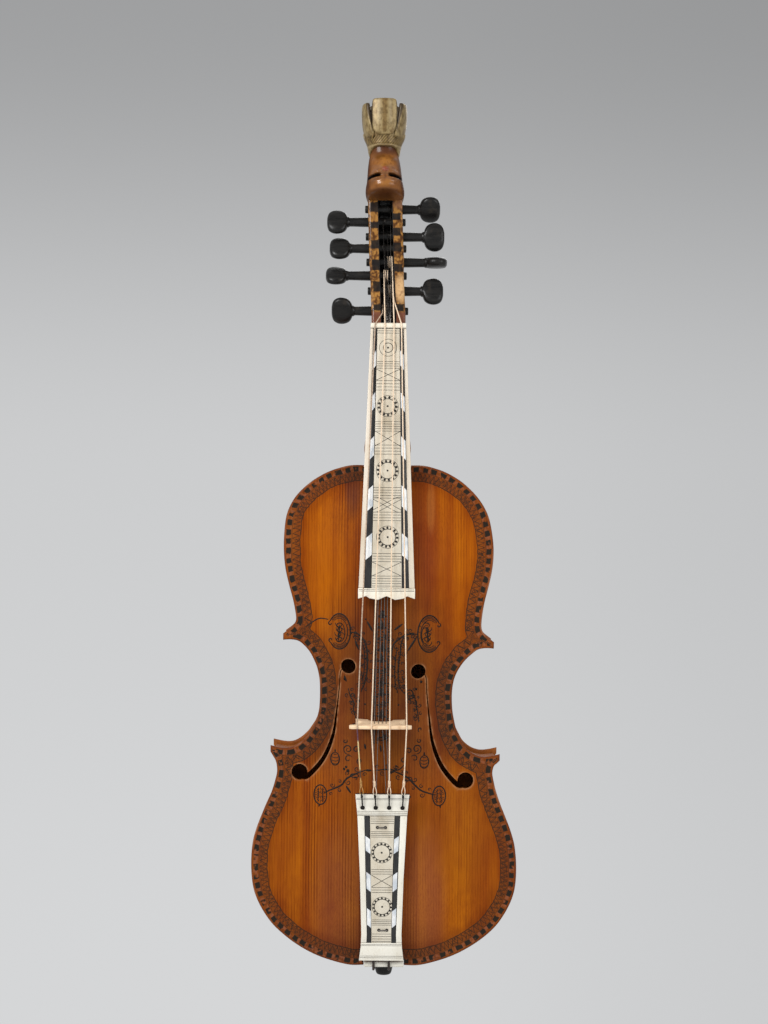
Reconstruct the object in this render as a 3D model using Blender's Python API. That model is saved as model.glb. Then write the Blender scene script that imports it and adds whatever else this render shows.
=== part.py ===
"""Hardanger fiddle, hung upright by its head: +Z towards the head, front towards -Y.

Every place is first written as three distances that a maker would use.
across: to the treble side of the centre line (the viewer's right)
rise:   in front of the plane where the belly meets the ribs
drop:   below the nut, towards the tail
"""

import math

import bmesh
import bpy
from mathutils import Vector, geometry

# The hanging point: the narrow place under the crown, in the middle of the head's depth
HANGER_DROP = -0.1260
HANGER_RISE = -0.0210

# Body, in shares of its length where the outline only follows its length
BODY_TOP = 0.0984
BODY_LENGTH = 0.3550
UPPER_HALF = 0.0746
WAIST_HALF = 0.0469
LOWER_HALF = 0.0942
UPPER_CORNER_HALF = 0.0750
LOWER_CORNER_HALF = 0.0815
CORNER_EDGE = 0.0045
TREBLE_CORNER_DROP = 0.0052
BODY_SWAY = 0.0018
END_FLAT_HALF = 0.0250
RIB_HEIGHT = 0.0320
RIB_THICKNESS = 0.0013
PLATE_THICKNESS = 0.0035
PLATE_OVERHANG = 0.0027
BELLY_ARCH = 0.0150
BACK_ARCH = 0.0125
ARCH_BORDER = 0.0085
PLATE_MESH = 0.0090

# Neck, pegbox and head, carved from one piece
NECK_FRONT_RISE = 0.0045
NECK_FRONT_SLOPE = 0.0204
NECK_THICKNESS = 0.0190
NECK_HALF_AT_NUT = 0.0118
NECK_HALF_AT_HEEL = 0.0165
BUTTON_HALF = 0.0105
BUTTON_LENGTH = 0.0120
PEGBOX_HALF = (0.0125, 0.0121)
FLAT_FRONT = 14
TROUGH_HALF = 0.0050
TROUGH_START = -0.0021
TROUGH_END = -0.0942
TROUGH_FLOOR = 0.0044
HEAD_SIDE_LEAN = -0.0040

# Strings, from the nut to the bridge
STRING_LENGTH = 0.2795
PLAYING_DIAMETER = 0.0009
SYMPATHETIC_DIAMETER = 0.0005
PLAYING_RISE_AT_NUT = 0.0127
PLAYING_RISE_AT_BRIDGE = 0.0460
SYMPATHETIC_RISE_AT_NUT = 0.0073
SYMPATHETIC_RISE_AT_BRIDGE = 0.0310
PLAYING_CLEAR = 0.0016
SYMPATHETIC_CLEAR = 0.0018
WINDING_TURNS = 2.25
WINDING_POINTS = 12
WINDING_GAP = 0.00055

# Nut, fingerboard and its facing
NUT_THICKNESS = 0.0039
NUT_HALF = 0.0126
NUT_WINDOW_HEIGHT = 0.0024
BOARD_END = 0.1926
BOARD_TRIM = 0.0080
BOARD_FRONT_AT_NUT = 0.0112
BOARD_FRONT_AT_END = 0.0315
BOARD_HALF_AT_NUT = 0.0125
BOARD_HALF_AT_END = 0.0198
BOARD_CAMBER_RADIUS = 0.1200
BOARD_UNDERSIDE_AT_END = 0.0225
BOARD_CENTRE_SHARE = (0.636, 0.545)
BOARD_BAND_SHARE = (0.832, 0.790)
TUNNEL_HALF_AT_NUT = 0.0055
TUNNEL_HALF_AT_END = 0.0092
TUNNEL_HEADROOM = 0.0011
FACING_THICKNESS = 0.0012

# Bridge and sound holes
BRIDGE_ACROSS = -0.0035
BRIDGE_TOP_HALF = 0.0213
BRIDGE_FOOT_OUTER = 0.0176
BRIDGE_FOOT_INNER = 0.0088
BRIDGE_THICKNESS_AT_FEET = 0.0044
BRIDGE_THICKNESS_AT_TOP = 0.0024
BRIDGE_CREST_RADIUS = 0.1500
BRIDGE_WINDOW_HEIGHT = 0.0042
EYE_UPPER = (0.0247, -0.0386)
EYE_LOWER = (0.0589, 0.0370)
EYE_SHIFT_ACROSS = -0.0019
EYE_UPPER_RADIUS = 0.0052
EYE_LOWER_RADIUS = 0.0057
EYE_SIDES = 20
SLOT_WIDTH_TOP = 0.0013
SLOT_WIDTH_BOTTOM = 0.0040

# Tailpiece, its fittings and the tail end
TAILPIECE_LENGTH = 0.1194
TAILPIECE_TO_SADDLE = 0.0022
TAILPIECE_ACROSS = -0.0018
TAILPIECE_TOP_HALF = 0.0187
TAILPIECE_WAIST_HALF = 0.0141
TAILPIECE_FOOT_HALF = 0.0157
TAILPIECE_FRONT_AT_TOP = 0.0315
TAILPIECE_FRONT_AT_FOOT = 0.0155
TAILPIECE_CORE = 0.0040
TAIL_CENTRE_SHARE = 0.50
TAIL_BAND_SHARE = 0.715
TAILPIECE_TOP_BLOCK = 0.0149
TAILPIECE_FOOT_BLOCK = 0.0128
STRING_HOLE_DROP = 0.0094
STRING_HOLE_RADIUS = 0.0016
LOOP_DIAMETER = 0.0007
KNOT_TO_HOLE = 0.0180
STAPLE_WIRE = 0.0009
STAPLE_SPAN = 0.0056
STAPLE_BEND = 0.0006
STAPLE_ARM = 0.0040
TAIL_GUT_DIAMETER = 0.0018
TAIL_GUT_HALF = 0.0054
TAIL_GUT_DEPTH = 0.0080
SADDLE_HALF = 0.0140
SADDLE_DEPTH = 0.0039
SADDLE_RISE = 0.0100
BUTTON_SHAFT_RADIUS = 0.0035
BUTTON_NECK_RADIUS = 0.0030
BUTTON_HEAD_RADIUS = 0.00635
BUTTON_FACE_RADIUS = 0.0045
BUTTON_HEAD_LENGTH = 0.0076
BUTTON_NECK_LENGTH = 0.0062

# Pegs
PEG_RADIUS_AT_HEAD = 0.0035
PEG_RADIUS_AT_TIP = 0.0028
PEG_HOLE_CLEARANCE = 0.0004
PEG_HEAD_HALF_WIDTH = 0.0102
PEG_HEAD_HALF_THICKNESS = 0.0040
PEG_HEAD_LENGTH = 0.0155
PEG_TIP_PROUD = 0.0022
PEG_SIDES = 12

# Inside the body
BLOCK_DEPTH = 0.0160
NECK_BLOCK_HALF = 0.0220
END_BLOCK_HALF = 0.0210
CORNER_BLOCK_LEG = 0.0150
BASS_BAR_THICKNESS = 0.0050
BASS_BAR_HEIGHT = 0.0080
BASS_BAR_ACROSS = -0.0150
SOUND_POST_RADIUS = 0.0030
SOUND_POST_BEHIND_BRIDGE = 0.0060

SIDES = ((-1, "bass"), (1, "treble"))

# Clearance that touching pieces keep
GAP = 0.0003
# Allowance under the faceted arching for what stands against it
ARCH_FIT = 0.0008
# Width under which a cut leaves no sliver
SLIVER = 0.00006
# How far a cutter runs past what it cuts
CUT_MARGIN = 0.0100

BODY_BOTTOM = BODY_TOP + BODY_LENGTH
TAILPIECE_FOOT = BODY_BOTTOM - SADDLE_DEPTH - GAP - TAILPIECE_TO_SADDLE
TAILPIECE_TOP = TAILPIECE_FOOT - TAILPIECE_LENGTH
TAIL_SLOPE = (TAILPIECE_FRONT_AT_TOP - TAILPIECE_FRONT_AT_FOOT) / TAILPIECE_LENGTH

# Each peg: name, side of its head, drop, rise, shank outside the cheek, turn of the head in degrees
PEGS = (
    ("peg_bass_1", -1, -0.0795, -0.0285, 0.0145, 32),
    ("peg_bass_2", -1, -0.0594, -0.0230, 0.0130, 41),
    ("peg_bass_3", -1, -0.0389, -0.0172, 0.0165, 53),
    ("peg_bass_4", -1, -0.0124, -0.0080, 0.0130, -36),
    ("peg_treble_1", 1, -0.0889, -0.0288, 0.0120, -41),
    ("peg_treble_2", 1, -0.0685, -0.0262, 0.0145, 0),
    ("peg_treble_3", 1, -0.0490, -0.0200, 0.0156, 88),
    ("peg_treble_4", 1, -0.0273, -0.0128, 0.0124, 22),
)

# Each playing string: place at the nut, at the bridge, at its hole, its peg, start and way of its winding
PLAYING_STRINGS = (
    ("string_1_low", -0.0095, -0.0160, -0.0137, "peg_bass_4", -0.0045, 1),
    ("string_2", -0.0025, -0.0062, -0.0046, "peg_bass_3", -0.0036, 1),
    ("string_3", 0.0039, 0.0063, 0.0047, "peg_treble_3", 0.0022, -1),
    ("string_4_high", 0.0092, 0.0180, 0.0140, "peg_treble_4", 0.0028, -1),
)
# Where an outer playing string bends over the inner edge of its cheek: across, rise and drop
CHEEK_CROSSINGS = {"string_1_low": (-0.0043, 0.0042, -0.0096), "string_4_high": (0.0038, 0.0011, -0.0186)}
# Each sympathetic string: place at the nut, at the bridge, its peg, start and way of its winding
SYMPATHETIC_STRINGS = (
    ("sympathetic_string_1", -0.0012, -0.0043, "peg_bass_1", -0.0046, 1),
    ("sympathetic_string_2", -0.0003, -0.0015, "peg_bass_2", -0.0026, -1),
    ("sympathetic_string_3", 0.0006, 0.0013, "peg_treble_2", -0.0012, 1),
    ("sympathetic_string_4", 0.0015, 0.0038, "peg_treble_1", 0.0010, -1),
)

# Front edge of the pegbox as (drop, rise), and its depth at each of those places but the last
PEGBOX_FRONT = ((-0.0944, -0.0208), (-0.0790, -0.0190), (-0.0680, -0.0165), (-0.0590, -0.0140),
                (-0.0490, -0.0110), (-0.0390, -0.0070), (-0.0270, -0.0020), (-0.0120, 0.0030), (0.0, 0.0045))
PEGBOX_DEPTH = (0.0184, 0.0197, 0.0199, 0.0192, 0.0194, 0.0206, 0.0212, 0.0215)


def place(across, rise, drop):
    """World point for a place on the fiddle."""
    return Vector((across, HANGER_RISE - rise, HANGER_DROP - drop))


def between(value, start, end):
    """Share of the way from start to end, held to 0 and 1."""
    return min(max((value - start) / (end - start), 0.0), 1.0)


def mix(a, b, share):
    return a + (b - a) * share


def read_line(points, value):
    """Height at value of a line through (value, height) points, in rising order."""
    for (x0, y0), (x1, y1) in zip(points, points[1:]):
        if value <= x1:
            return mix(y0, y1, between(value, x0, x1))
    return points[-1][1]


def smooth_line(points, steps):
    """Points of a smooth curve through the given 2D points."""
    ends = [points[0]] + list(points) + [points[-1]]
    line = []
    for p0, p1, p2, p3 in zip(ends, ends[1:], ends[2:], ends[3:]):
        for step in range(steps):
            t = step / steps
            line.append(tuple(
                0.5 * (2 * b + (c - a) * t + (2 * a - 5 * b + 4 * c - d) * t ** 2
                       + (3 * b - a - 3 * c + d) * t ** 3)
                for a, b, c, d in zip(p0, p1, p2, p3)))
    return line + [tuple(points[-1])]


def head_lean(drop):
    """The pegbox and the head lean to the bass side above the nut."""
    return HEAD_SIDE_LEAN * between(-drop, 0.010, 0.125) ** 0.8 if drop < -0.010 else 0.0


def finish(name, colour, roughness, metallic=0.0):
    material = bpy.data.materials.new(name)
    material.use_nodes = True
    shader = material.node_tree.nodes["Principled BSDF"]
    shader.inputs["Base Color"].default_value = (*colour, 1.0)
    shader.inputs["Roughness"].default_value = roughness
    shader.inputs["Metallic"].default_value = metallic
    material.diffuse_color = (*colour, 1.0)
    return material


def link(name, data, material):
    obj = bpy.data.objects.new(name, data)
    bpy.context.scene.collection.objects.link(obj)
    data.materials.append(material)
    return obj


def solid(name, points, faces, material, smooth_angle=35):
    """A closed mesh object with its faces pointing out."""
    mesh = bpy.data.meshes.new(name)
    mesh.from_pydata([tuple(point) for point in points], [], faces)
    work = bmesh.new()
    work.from_mesh(mesh)
    bmesh.ops.recalc_face_normals(work, faces=work.faces)
    work.to_mesh(mesh)
    work.free()
    mesh.shade_smooth()
    mesh.set_sharp_from_angle(angle=math.radians(smooth_angle))
    return link(name, mesh, material)


def loft(name, rings, material, smooth_angle=35):
    """A solid through rings with the same number of points, closed by a cap at each end."""
    count = len(rings[0])
    points = [point for ring in rings for point in ring]
    faces = [list(range(count)), list(range(len(points) - count, len(points)))]
    for start in range(0, len(points) - count, count):
        for i in range(count):
            j = (i + 1) % count
            faces.append([start + i, start + j, start + count + j, start + count + i])
    return solid(name, points, faces, material, smooth_angle)


def sheet_solid(name, front, back, material):
    """A solid between two grids of points with the same rows and columns."""
    rows, columns = len(front), len(front[0])
    points = [point for grid in (front, back) for row in grid for point in row]

    def at(side, row, column):
        return (side * rows + row) * columns + column

    faces = []
    for side in (0, 1):
        for row in range(rows - 1):
            for column in range(columns - 1):
                faces.append([at(side, row, column), at(side, row, column + 1),
                              at(side, row + 1, column + 1), at(side, row + 1, column)])
    rim = [(0, column) for column in range(columns)]
    rim += [(row, columns - 1) for row in range(1, rows)]
    rim += [(rows - 1, column) for column in range(columns - 2, -1, -1)]
    rim += [(row, 0) for row in range(rows - 2, 0, -1)]
    for here, after in zip(rim, rim[1:] + rim[:1]):
        faces.append([at(0, *here), at(0, *after), at(1, *after), at(1, *here)])
    return solid(name, points, faces, material)


def as_tool(obj):
    """Hides a solid that only takes material away."""
    obj.hide_render = True
    obj.display_type = "WIRE"
    return obj


def cutter(name, rings):
    return as_tool(loft(name, rings, FINISH["cutter"]))


def box_cutter(name, lows, highs):
    """A hidden box between two corners given as (across, rise, drop)."""
    corners = ((lows[0], lows[1]), (highs[0], lows[1]), (highs[0], highs[1]), (lows[0], highs[1]))
    return cutter(name, [[place(a, r, drop) for a, r in corners] for drop in (lows[2], highs[2])])


def cut(obj, tool):
    modifier = obj.modifiers.new("cut " + tool.name, "BOOLEAN")
    modifier.operation = "DIFFERENCE"
    modifier.solver = "EXACT"
    modifier.object = tool


def close_slivers(obj):
    """Draws together points that the cuts left closer than a hair."""
    weld = obj.modifiers.new("close slivers", "WELD")
    weld.merge_threshold = SLIVER


def join_cutters(name, tools):
    """One hidden cutter from several that don't touch each other."""
    points, faces = [], []
    for tool in tools:
        start = len(points)
        points += [vertex.co.copy() for vertex in tool.data.vertices]
        faces += [[start + index for index in polygon.vertices] for polygon in tool.data.polygons]
        bpy.data.objects.remove(tool)
    return as_tool(solid(name, points, faces, FINISH["cutter"]))


def circle(centre, radius, sides, phase=0.0):
    """Points round a centre in any two directions."""
    turns = [phase + math.tau * i / sides for i in range(sides)]
    return [(centre[0] + radius * math.cos(turn), centre[1] + radius * math.sin(turn)) for turn in turns]


def disc_ring(centre, radius, drop, sides, phase=0.0):
    """A ring across the drop direction, centred on (across, rise)."""
    return [place(a, r, drop) for a, r in circle(centre, radius, sides, phase)]


def hole_through(name, centre, radius, rises, sides):
    """A round way from front to back at (across, drop), for a cutter."""
    return loft(name, [[place(a, rise, d) for a, d in circle(centre, radius, sides)] for rise in rises],
                FINISH["cutter"])


def tube(name, points, diameter, material, radii=None, sides=1):
    """A round cord along points, with closed ends."""
    curve = bpy.data.curves.new(name, "CURVE")
    curve.dimensions = "3D"
    curve.bevel_depth = diameter / 2
    curve.bevel_resolution = sides
    curve.use_fill_caps = True
    spline = curve.splines.new("POLY")
    spline.points.add(len(points) - 1)
    for index, point in enumerate(points):
        spline.points[index].co = (*point, 1.0)
        spline.points[index].radius = radii[index] if radii else 1.0
    spline.use_smooth = True
    return link(name, curve, material)


# Outline of the body

# Each curve: share of the body's length, share of the half width, share of the treble corners' drop
UPPER_CURVE = (
    (0.0055, 0.455, 0), (0.0137, 0.563, 0), (0.0256, 0.666, 0), (0.0377, 0.746, 0), (0.0560, 0.838, 0),
    (0.0760, 0.908, 0), (0.1010, 0.962, 0), (0.1337, 0.990, 0), (0.1700, 1.0, 0), (0.2057, 0.987, 0),
    (0.2400, 0.952, 0), (0.2700, 0.914, 0), (0.2940, 0.891, 0.3), (0.3080, 0.883, 0.8), (0.3160, 0.893, 1),
    (0.3260, 0.932, 1))
WAIST_CURVE = (
    (0.3500, 1.480, 1), (0.3530, 1.361, 1), (0.3630, 1.263, 1), (0.3745, 1.185, 0.9), (0.3885, 1.122, 0.7),
    (0.4062, 1.060, 0.5), (0.4286, 1.017, 0.2), (0.4560, 1.0, 0), (0.4860, 1.008, 0), (0.5050, 1.038, 0.3),
    (0.5211, 1.082, 0.7), (0.5360, 1.152, 1), (0.5460, 1.208, 1.15), (0.5583, 1.312, 1.1),
    (0.5655, 1.412, 1), (0.5672, 1.509, 1), (0.5655, 1.622, 1))
LOWER_CURVE = (
    (0.5830, 0.846, 0.8), (0.5950, 0.822, 0.4), (0.6130, 0.812, 0.1), (0.6300, 0.823, 0),
    (0.6500, 0.843, 0), (0.6750, 0.877, 0), (0.7000, 0.917, 0), (0.7300, 0.960, 0), (0.7600, 0.989, 0),
    (0.7980, 1.0, 0), (0.8350, 0.993, 0), (0.8620, 0.970, 0), (0.8900, 0.921, 0), (0.9180, 0.849, 0),
    (0.9400, 0.763, 0), (0.9590, 0.666, 0), (0.9760, 0.553, 0), (0.9890, 0.430, 0))
UPPER_CORNER = 0.3381
LOWER_CORNER = 0.5622


def sway(drop):
    """How far the middle of the body lies to the treble side at a drop, as the hand-made outline does."""
    share = (drop - BODY_TOP) / BODY_LENGTH
    stations = ((0.0, 0.0), (0.06, -0.2), (0.16, 0.75), (0.27, 1.0), (0.35, 1.0), (0.45, 0.1),
                (0.60, -0.1), (0.71, -0.6), (0.80, -0.3), (0.94, 0.2), (1.0, 0.0))
    return BODY_SWAY * read_line(stations, share)


def half_outline(side):
    """(drop, half width) points of the upper, waist and lower stretch of one side, from top to tail."""
    shift = TREBLE_CORNER_DROP if side > 0 else 0.0

    def at(share, half, moved=0.0):
        drop = BODY_TOP + share * BODY_LENGTH + moved
        return (drop, half + side * sway(drop))

    def stretch(points, width):
        return [at(share, width * portion, shift * follow) for share, portion, follow in points]

    upper = [(BODY_TOP, END_FLAT_HALF)] + stretch(UPPER_CURVE, UPPER_HALF)
    upper.append(at(UPPER_CORNER, UPPER_CORNER_HALF, shift))
    waist = [at(UPPER_CORNER, UPPER_CORNER_HALF, shift + CORNER_EDGE)] + stretch(WAIST_CURVE, WAIST_HALF)
    waist.append(at(LOWER_CORNER, LOWER_CORNER_HALF, shift))
    lower = [at(LOWER_CORNER, LOWER_CORNER_HALF, shift + CORNER_EDGE)] + stretch(LOWER_CURVE, LOWER_HALF)
    lower.append((BODY_BOTTOM, END_FLAT_HALF))
    return upper, waist, lower


def body_outline():
    """The closed line round the plates as (across, drop), down the treble side and up the bass side."""
    treble = [(half, drop) for part in half_outline(1) for drop, half in part]
    bass = [(-half, drop) for part in half_outline(-1) for drop, half in part]
    return treble + bass[::-1]


def arch_half(drop):
    """Half width of the arched field at a drop, smooth past the corners."""
    share = (drop - BODY_TOP) / BODY_LENGTH
    stations = ((0.0, 0.0), (0.035, UPPER_HALF * 0.62), (0.10, UPPER_HALF * 0.90),
                (0.19, UPPER_HALF * 0.98), (0.30, UPPER_HALF * 0.88), (0.40, WAIST_HALF * 1.08),
                (0.47, WAIST_HALF * 1.02), (0.56, WAIST_HALF * 1.28), (0.66, LOWER_HALF * 0.86),
                (0.79, LOWER_HALF), (0.88, LOWER_HALF * 0.93), (0.96, LOWER_HALF * 0.66), (1.0, 0.0))
    return max(read_line(stations, share) - ARCH_BORDER, 0.004)


def arch(across, drop, height):
    """Height of the arching over the flat edge."""
    along = (drop - BODY_TOP - ARCH_BORDER) / (BODY_LENGTH - 2 * ARCH_BORDER)
    if along <= 0 or along >= 1:
        return 0.0
    reach = min(abs(across - sway(drop)) / arch_half(drop), 1.0)
    return height * (1 - (2 * along - 1) ** 4) * (0.5 + 0.5 * math.cos(math.pi * reach))


def belly_front(across, drop):
    return PLATE_THICKNESS + arch(across, drop, BELLY_ARCH)


def back_inside(across, drop):
    return -RIB_HEIGHT - arch(across, drop, BACK_ARCH)


def holds(outline, point):
    """Whether a closed line goes round a point."""
    x, y = point
    inside = False
    for (x1, y1), (x2, y2) in zip(outline, outline[1:] + outline[:1]):
        if (y1 > y) != (y2 > y) and x < x1 + (y - y1) / (y2 - y1) * (x2 - x1):
            inside = not inside
    return inside


def clear_of(line, point, reach):
    """Whether a point lies at least reach from a closed line."""
    spot = Vector(point)
    for start, end in zip(line, line[1:] + line[:1]):
        nearest, share = geometry.intersect_point_line(spot, Vector(start), Vector(end))
        nearest = Vector(start) if share < 0 else Vector(end) if share > 1 else nearest.to_2d()
        if (spot - nearest).length < reach:
            return False
    return True


def inner_points(lines):
    """A staggered grid of (across, drop) points inside the first closed line, clear of every line."""
    points = []
    columns = int(LOWER_HALF / PLATE_MESH)
    for row in range(int(BODY_LENGTH / PLATE_MESH) + 1):
        for column in range(-columns, columns + 1):
            spot = ((column + 0.5 * (row % 2)) * PLATE_MESH, BODY_TOP + (row + 0.5) * PLATE_MESH)
            if holds(lines[0], spot) and all(clear_of(line, spot, PLATE_MESH * 0.45) for line in lines):
                points.append(spot)
    return points


def flat_mesh(outline, holes):
    """Points as (across, drop) and triangles that fill a closed line and leave its holes open."""
    points, edges = [], []
    for line in [outline] + holes:
        start = len(points)
        points += line
        edges += [(start + index, start + (index + 1) % len(line)) for index in range(len(line))]
    points += inner_points([outline] + holes)
    in_mm = [Vector(point) * 1000 for point in points]
    spots, _, triangles, *_ = geometry.delaunay_2d_cdt(in_mm, edges, [], 0, 1e-5)
    kept = []
    for triangle in triangles:
        middle = sum((spots[index] for index in triangle), Vector((0, 0))) / 3000
        if holds(outline, middle) and not any(holds(hole, middle) for hole in holes):
            kept.append(list(triangle))
    used = sorted({index for triangle in kept for index in triangle})
    order = {old: new for new, old in enumerate(used)}
    return [tuple(spots[index] / 1000) for index in used], [[order[index] for index in t] for t in kept]


def plate(name, outline, holes, front_rise, material):
    """A carved plate inside a closed outline and open at its holes, under a surface of (across, drop)."""
    spots, triangles = flat_mesh(outline, holes)
    count = len(spots)
    points = [place(a, front_rise(a, d), d) for a, d in spots]
    points += [place(a, front_rise(a, d) - PLATE_THICKNESS, d) for a, d in spots]
    sides = {pair for triangle in triangles for pair in zip(triangle, triangle[1:] + triangle[:1])}
    walls = [[b, a, a + count, b + count] for a, b in sorted(sides) if (b, a) not in sides]
    behind = [[index + count for index in triangle[::-1]] for triangle in triangles]
    return solid(name, points, triangles + behind + walls, material)


def offset_line(points, distance):
    """A 2D line moved sideways by distance."""
    moved = []
    for index, point in enumerate(points):
        before = points[max(index - 1, 0)]
        after = points[min(index + 1, len(points) - 1)]
        dx, dy = after[0] - before[0], after[1] - before[1]
        length = math.hypot(dx, dy)
        moved.append((point[0] - dy / length * distance, point[1] + dx / length * distance))
    return moved


def crossing(first, second):
    """Where two 2D lines cross: the point and the segment of each."""
    for i in range(len(first) - 1, 0, -1):
        for j in range(len(second) - 1):
            (x1, y1), (x2, y2) = first[i - 1], first[i]
            (x3, y3), (x4, y4) = second[j], second[j + 1]
            below = (x1 - x2) * (y3 - y4) - (y1 - y2) * (x3 - x4)
            if abs(below) < 1e-15:
                continue
            t = ((x1 - x3) * (y3 - y4) - (y1 - y3) * (x3 - x4)) / below
            s = ((x1 - x3) * (y1 - y2) - (y1 - y3) * (x1 - x2)) / below
            if 0 <= t <= 1 and 0 <= s <= 1:
                return (mix(x1, x2, t), mix(y1, y2, t)), i, j
    raise ValueError("the inset outlines don't meet at a corner")


def beyond(before, end, distance):
    """The point past the end of a stretch, straight on."""
    share = 1 + distance / math.dist(before, end)
    return mix(before[0], end[0], share), mix(before[1], end[1], share)


def inset_parts(side, distance):
    """The three stretches of one side moved in by distance and trimmed to each other, as (across, drop)."""
    parts = []
    for part in half_outline(side):
        line = [(half, drop) for drop, half in part]
        if part[0][0] == BODY_TOP:
            line = [(0.0, BODY_TOP)] + line
        if abs(part[-1][0] - BODY_BOTTOM) < 1e-9:
            line = line + [(0.0, BODY_BOTTOM)]
        parts.append(offset_line(line, distance))
    for first in (0, 1):
        parts[first].append(beyond(*parts[first][-2:], CORNER_EDGE))
        parts[first + 1].insert(0, beyond(parts[first + 1][1], parts[first + 1][0], CORNER_EDGE))
        point, i, j = crossing(parts[first], parts[first + 1])
        parts[first] = parts[first][:i] + [point]
        parts[first + 1] = [point] + parts[first + 1][j + 1:]
    return parts


def line_length(points):
    return sum(math.dist(a, b) for a, b in zip(points, points[1:]))


def walk_line(points, distance):
    """The point at a distance along a line."""
    for a, b in zip(points, points[1:]):
        step = math.dist(a, b)
        if distance <= step:
            return mix(a[0], b[0], distance / step), mix(a[1], b[1], distance / step)
        distance -= step
    return points[-1]


def resample(points, count, trim):
    """Evenly spaced points along a line, short of its ends by a trim."""
    length = line_length(points) - 2 * trim
    return [walk_line(points, trim + length * index / (count - 1)) for index in range(count)]


def first_stretch(points, length, count):
    """Evenly spaced points along the start of a line."""
    return [walk_line(points, length * index / (count - 1)) for index in range(count)]


def rib(name, side, part, count):
    """One of the three ribs of a side, bent along the outline."""
    outer = resample(inset_parts(side, PLATE_OVERHANG)[part], count, GAP / 2)
    inner = resample(inset_parts(side, PLATE_OVERHANG + RIB_THICKNESS)[part], count, GAP / 2)
    rings = [[place(side * a, -GAP, d), place(side * a, -RIB_HEIGHT + GAP, d),
              place(side * b, -RIB_HEIGHT + GAP, e), place(side * b, -GAP, e)]
             for (a, d), (b, e) in zip(outer, inner)]
    return loft(name, rings, FINISH["maple"], 30)


def inner_block(name, outline):
    """A block that fills the height of the ribs over an outline of (across, drop)."""
    rings = [[place(a, rise, d) for a, d in outline] for rise in (-GAP, -RIB_HEIGHT + GAP)]
    return loft(name, rings, FINISH["spruce_inside"])


# Body

def make_body():
    heel = NECK_HALF_AT_HEEL + GAP
    heel_end = BODY_TOP + PLATE_OVERHANG - GAP
    saddle = SADDLE_HALF + GAP
    saddle_start = BODY_BOTTOM - SADDLE_DEPTH - GAP
    above, below = BODY_TOP - CUT_MARGIN, BODY_BOTTOM + CUT_MARGIN
    heel_way = [(-heel, above), (heel, above), (heel, heel_end), (-heel, heel_end)]
    saddle_way = [(-saddle, saddle_start), (saddle, saddle_start), (saddle, below), (-saddle, below)]
    holes = [heel_way, saddle_way] + sound_hole(-1) + sound_hole(1)
    plate("belly", body_outline(), holes, belly_front, FINISH["spruce"])
    button = [(-BUTTON_HALF, BODY_TOP)]
    button += [(-BUTTON_HALF * math.cos(turn), BODY_TOP - BUTTON_LENGTH * math.sin(turn))
               for turn in (math.pi * step / 10 for step in range(1, 10))]
    button += [(BUTTON_HALF, BODY_TOP)]
    plate("back", body_outline() + button, [], back_inside, FINISH["maple"])
    make_ribs()
    make_blocks()
    make_bass_bar()
    make_sound_post()


def slot_line(side):
    """Middle of the slot of one sound hole, from the upper eye to the lower one, as (across, drop)."""
    lower_shift = TREBLE_CORNER_DROP if side > 0 else 0.0
    start = (EYE_UPPER[0], STRING_LENGTH + EYE_UPPER[1] + lower_shift * 0.6)
    end = (EYE_LOWER[0], STRING_LENGTH + EYE_LOWER[1] + lower_shift)
    reach = (end[0] - start[0], end[1] - start[1])
    bends = ((0.0, 0.0), (0.155, 0.045), (0.185, 0.20), (0.235, 0.42), (0.315, 0.66), (0.52, 0.88),
             (0.86, 1.045), (1.0, 1.0))
    return smooth_line([(start[0] + reach[0] * x, start[1] + reach[1] * y) for x, y in bends], 3)


def sound_hole(side):
    """The outlines of one sound hole: a slot that widens downwards and two round eyes."""
    middle = slot_line(side)
    last = len(middle) - 1
    widths = [mix(SLOT_WIDTH_TOP, SLOT_WIDTH_BOTTOM, index / last) for index in range(last + 1)]
    inner = [offset_line(middle, width / 2)[index] for index, width in enumerate(widths)]
    outer = [offset_line(middle, -width / 2)[index] for index, width in enumerate(widths)]
    shapes = [inner + outer[::-1]]
    shapes.append(circle(middle[0], EYE_UPPER_RADIUS, EYE_SIDES))
    shapes.append(circle(middle[-1], EYE_LOWER_RADIUS, EYE_SIDES))
    return [[(EYE_SHIFT_ACROSS + side * a, d) for a, d in shape] for shape in shapes]


def make_ribs():
    shaft = cutter("cut_button_shaft", [
        disc_ring((0.0, -RIB_HEIGHT / 2), BUTTON_SHAFT_RADIUS + GAP, drop, 16)
        for drop in (BODY_BOTTOM - BLOCK_DEPTH - 2 * CUT_MARGIN, BODY_BOTTOM + CUT_MARGIN)])
    for side, hand in SIDES:
        rib("rib_upper_" + hand, side, 0, 20)
        rib("rib_waist_" + hand, side, 1, 16)
        cut(rib("rib_lower_" + hand, side, 2, 22), shaft)


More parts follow.
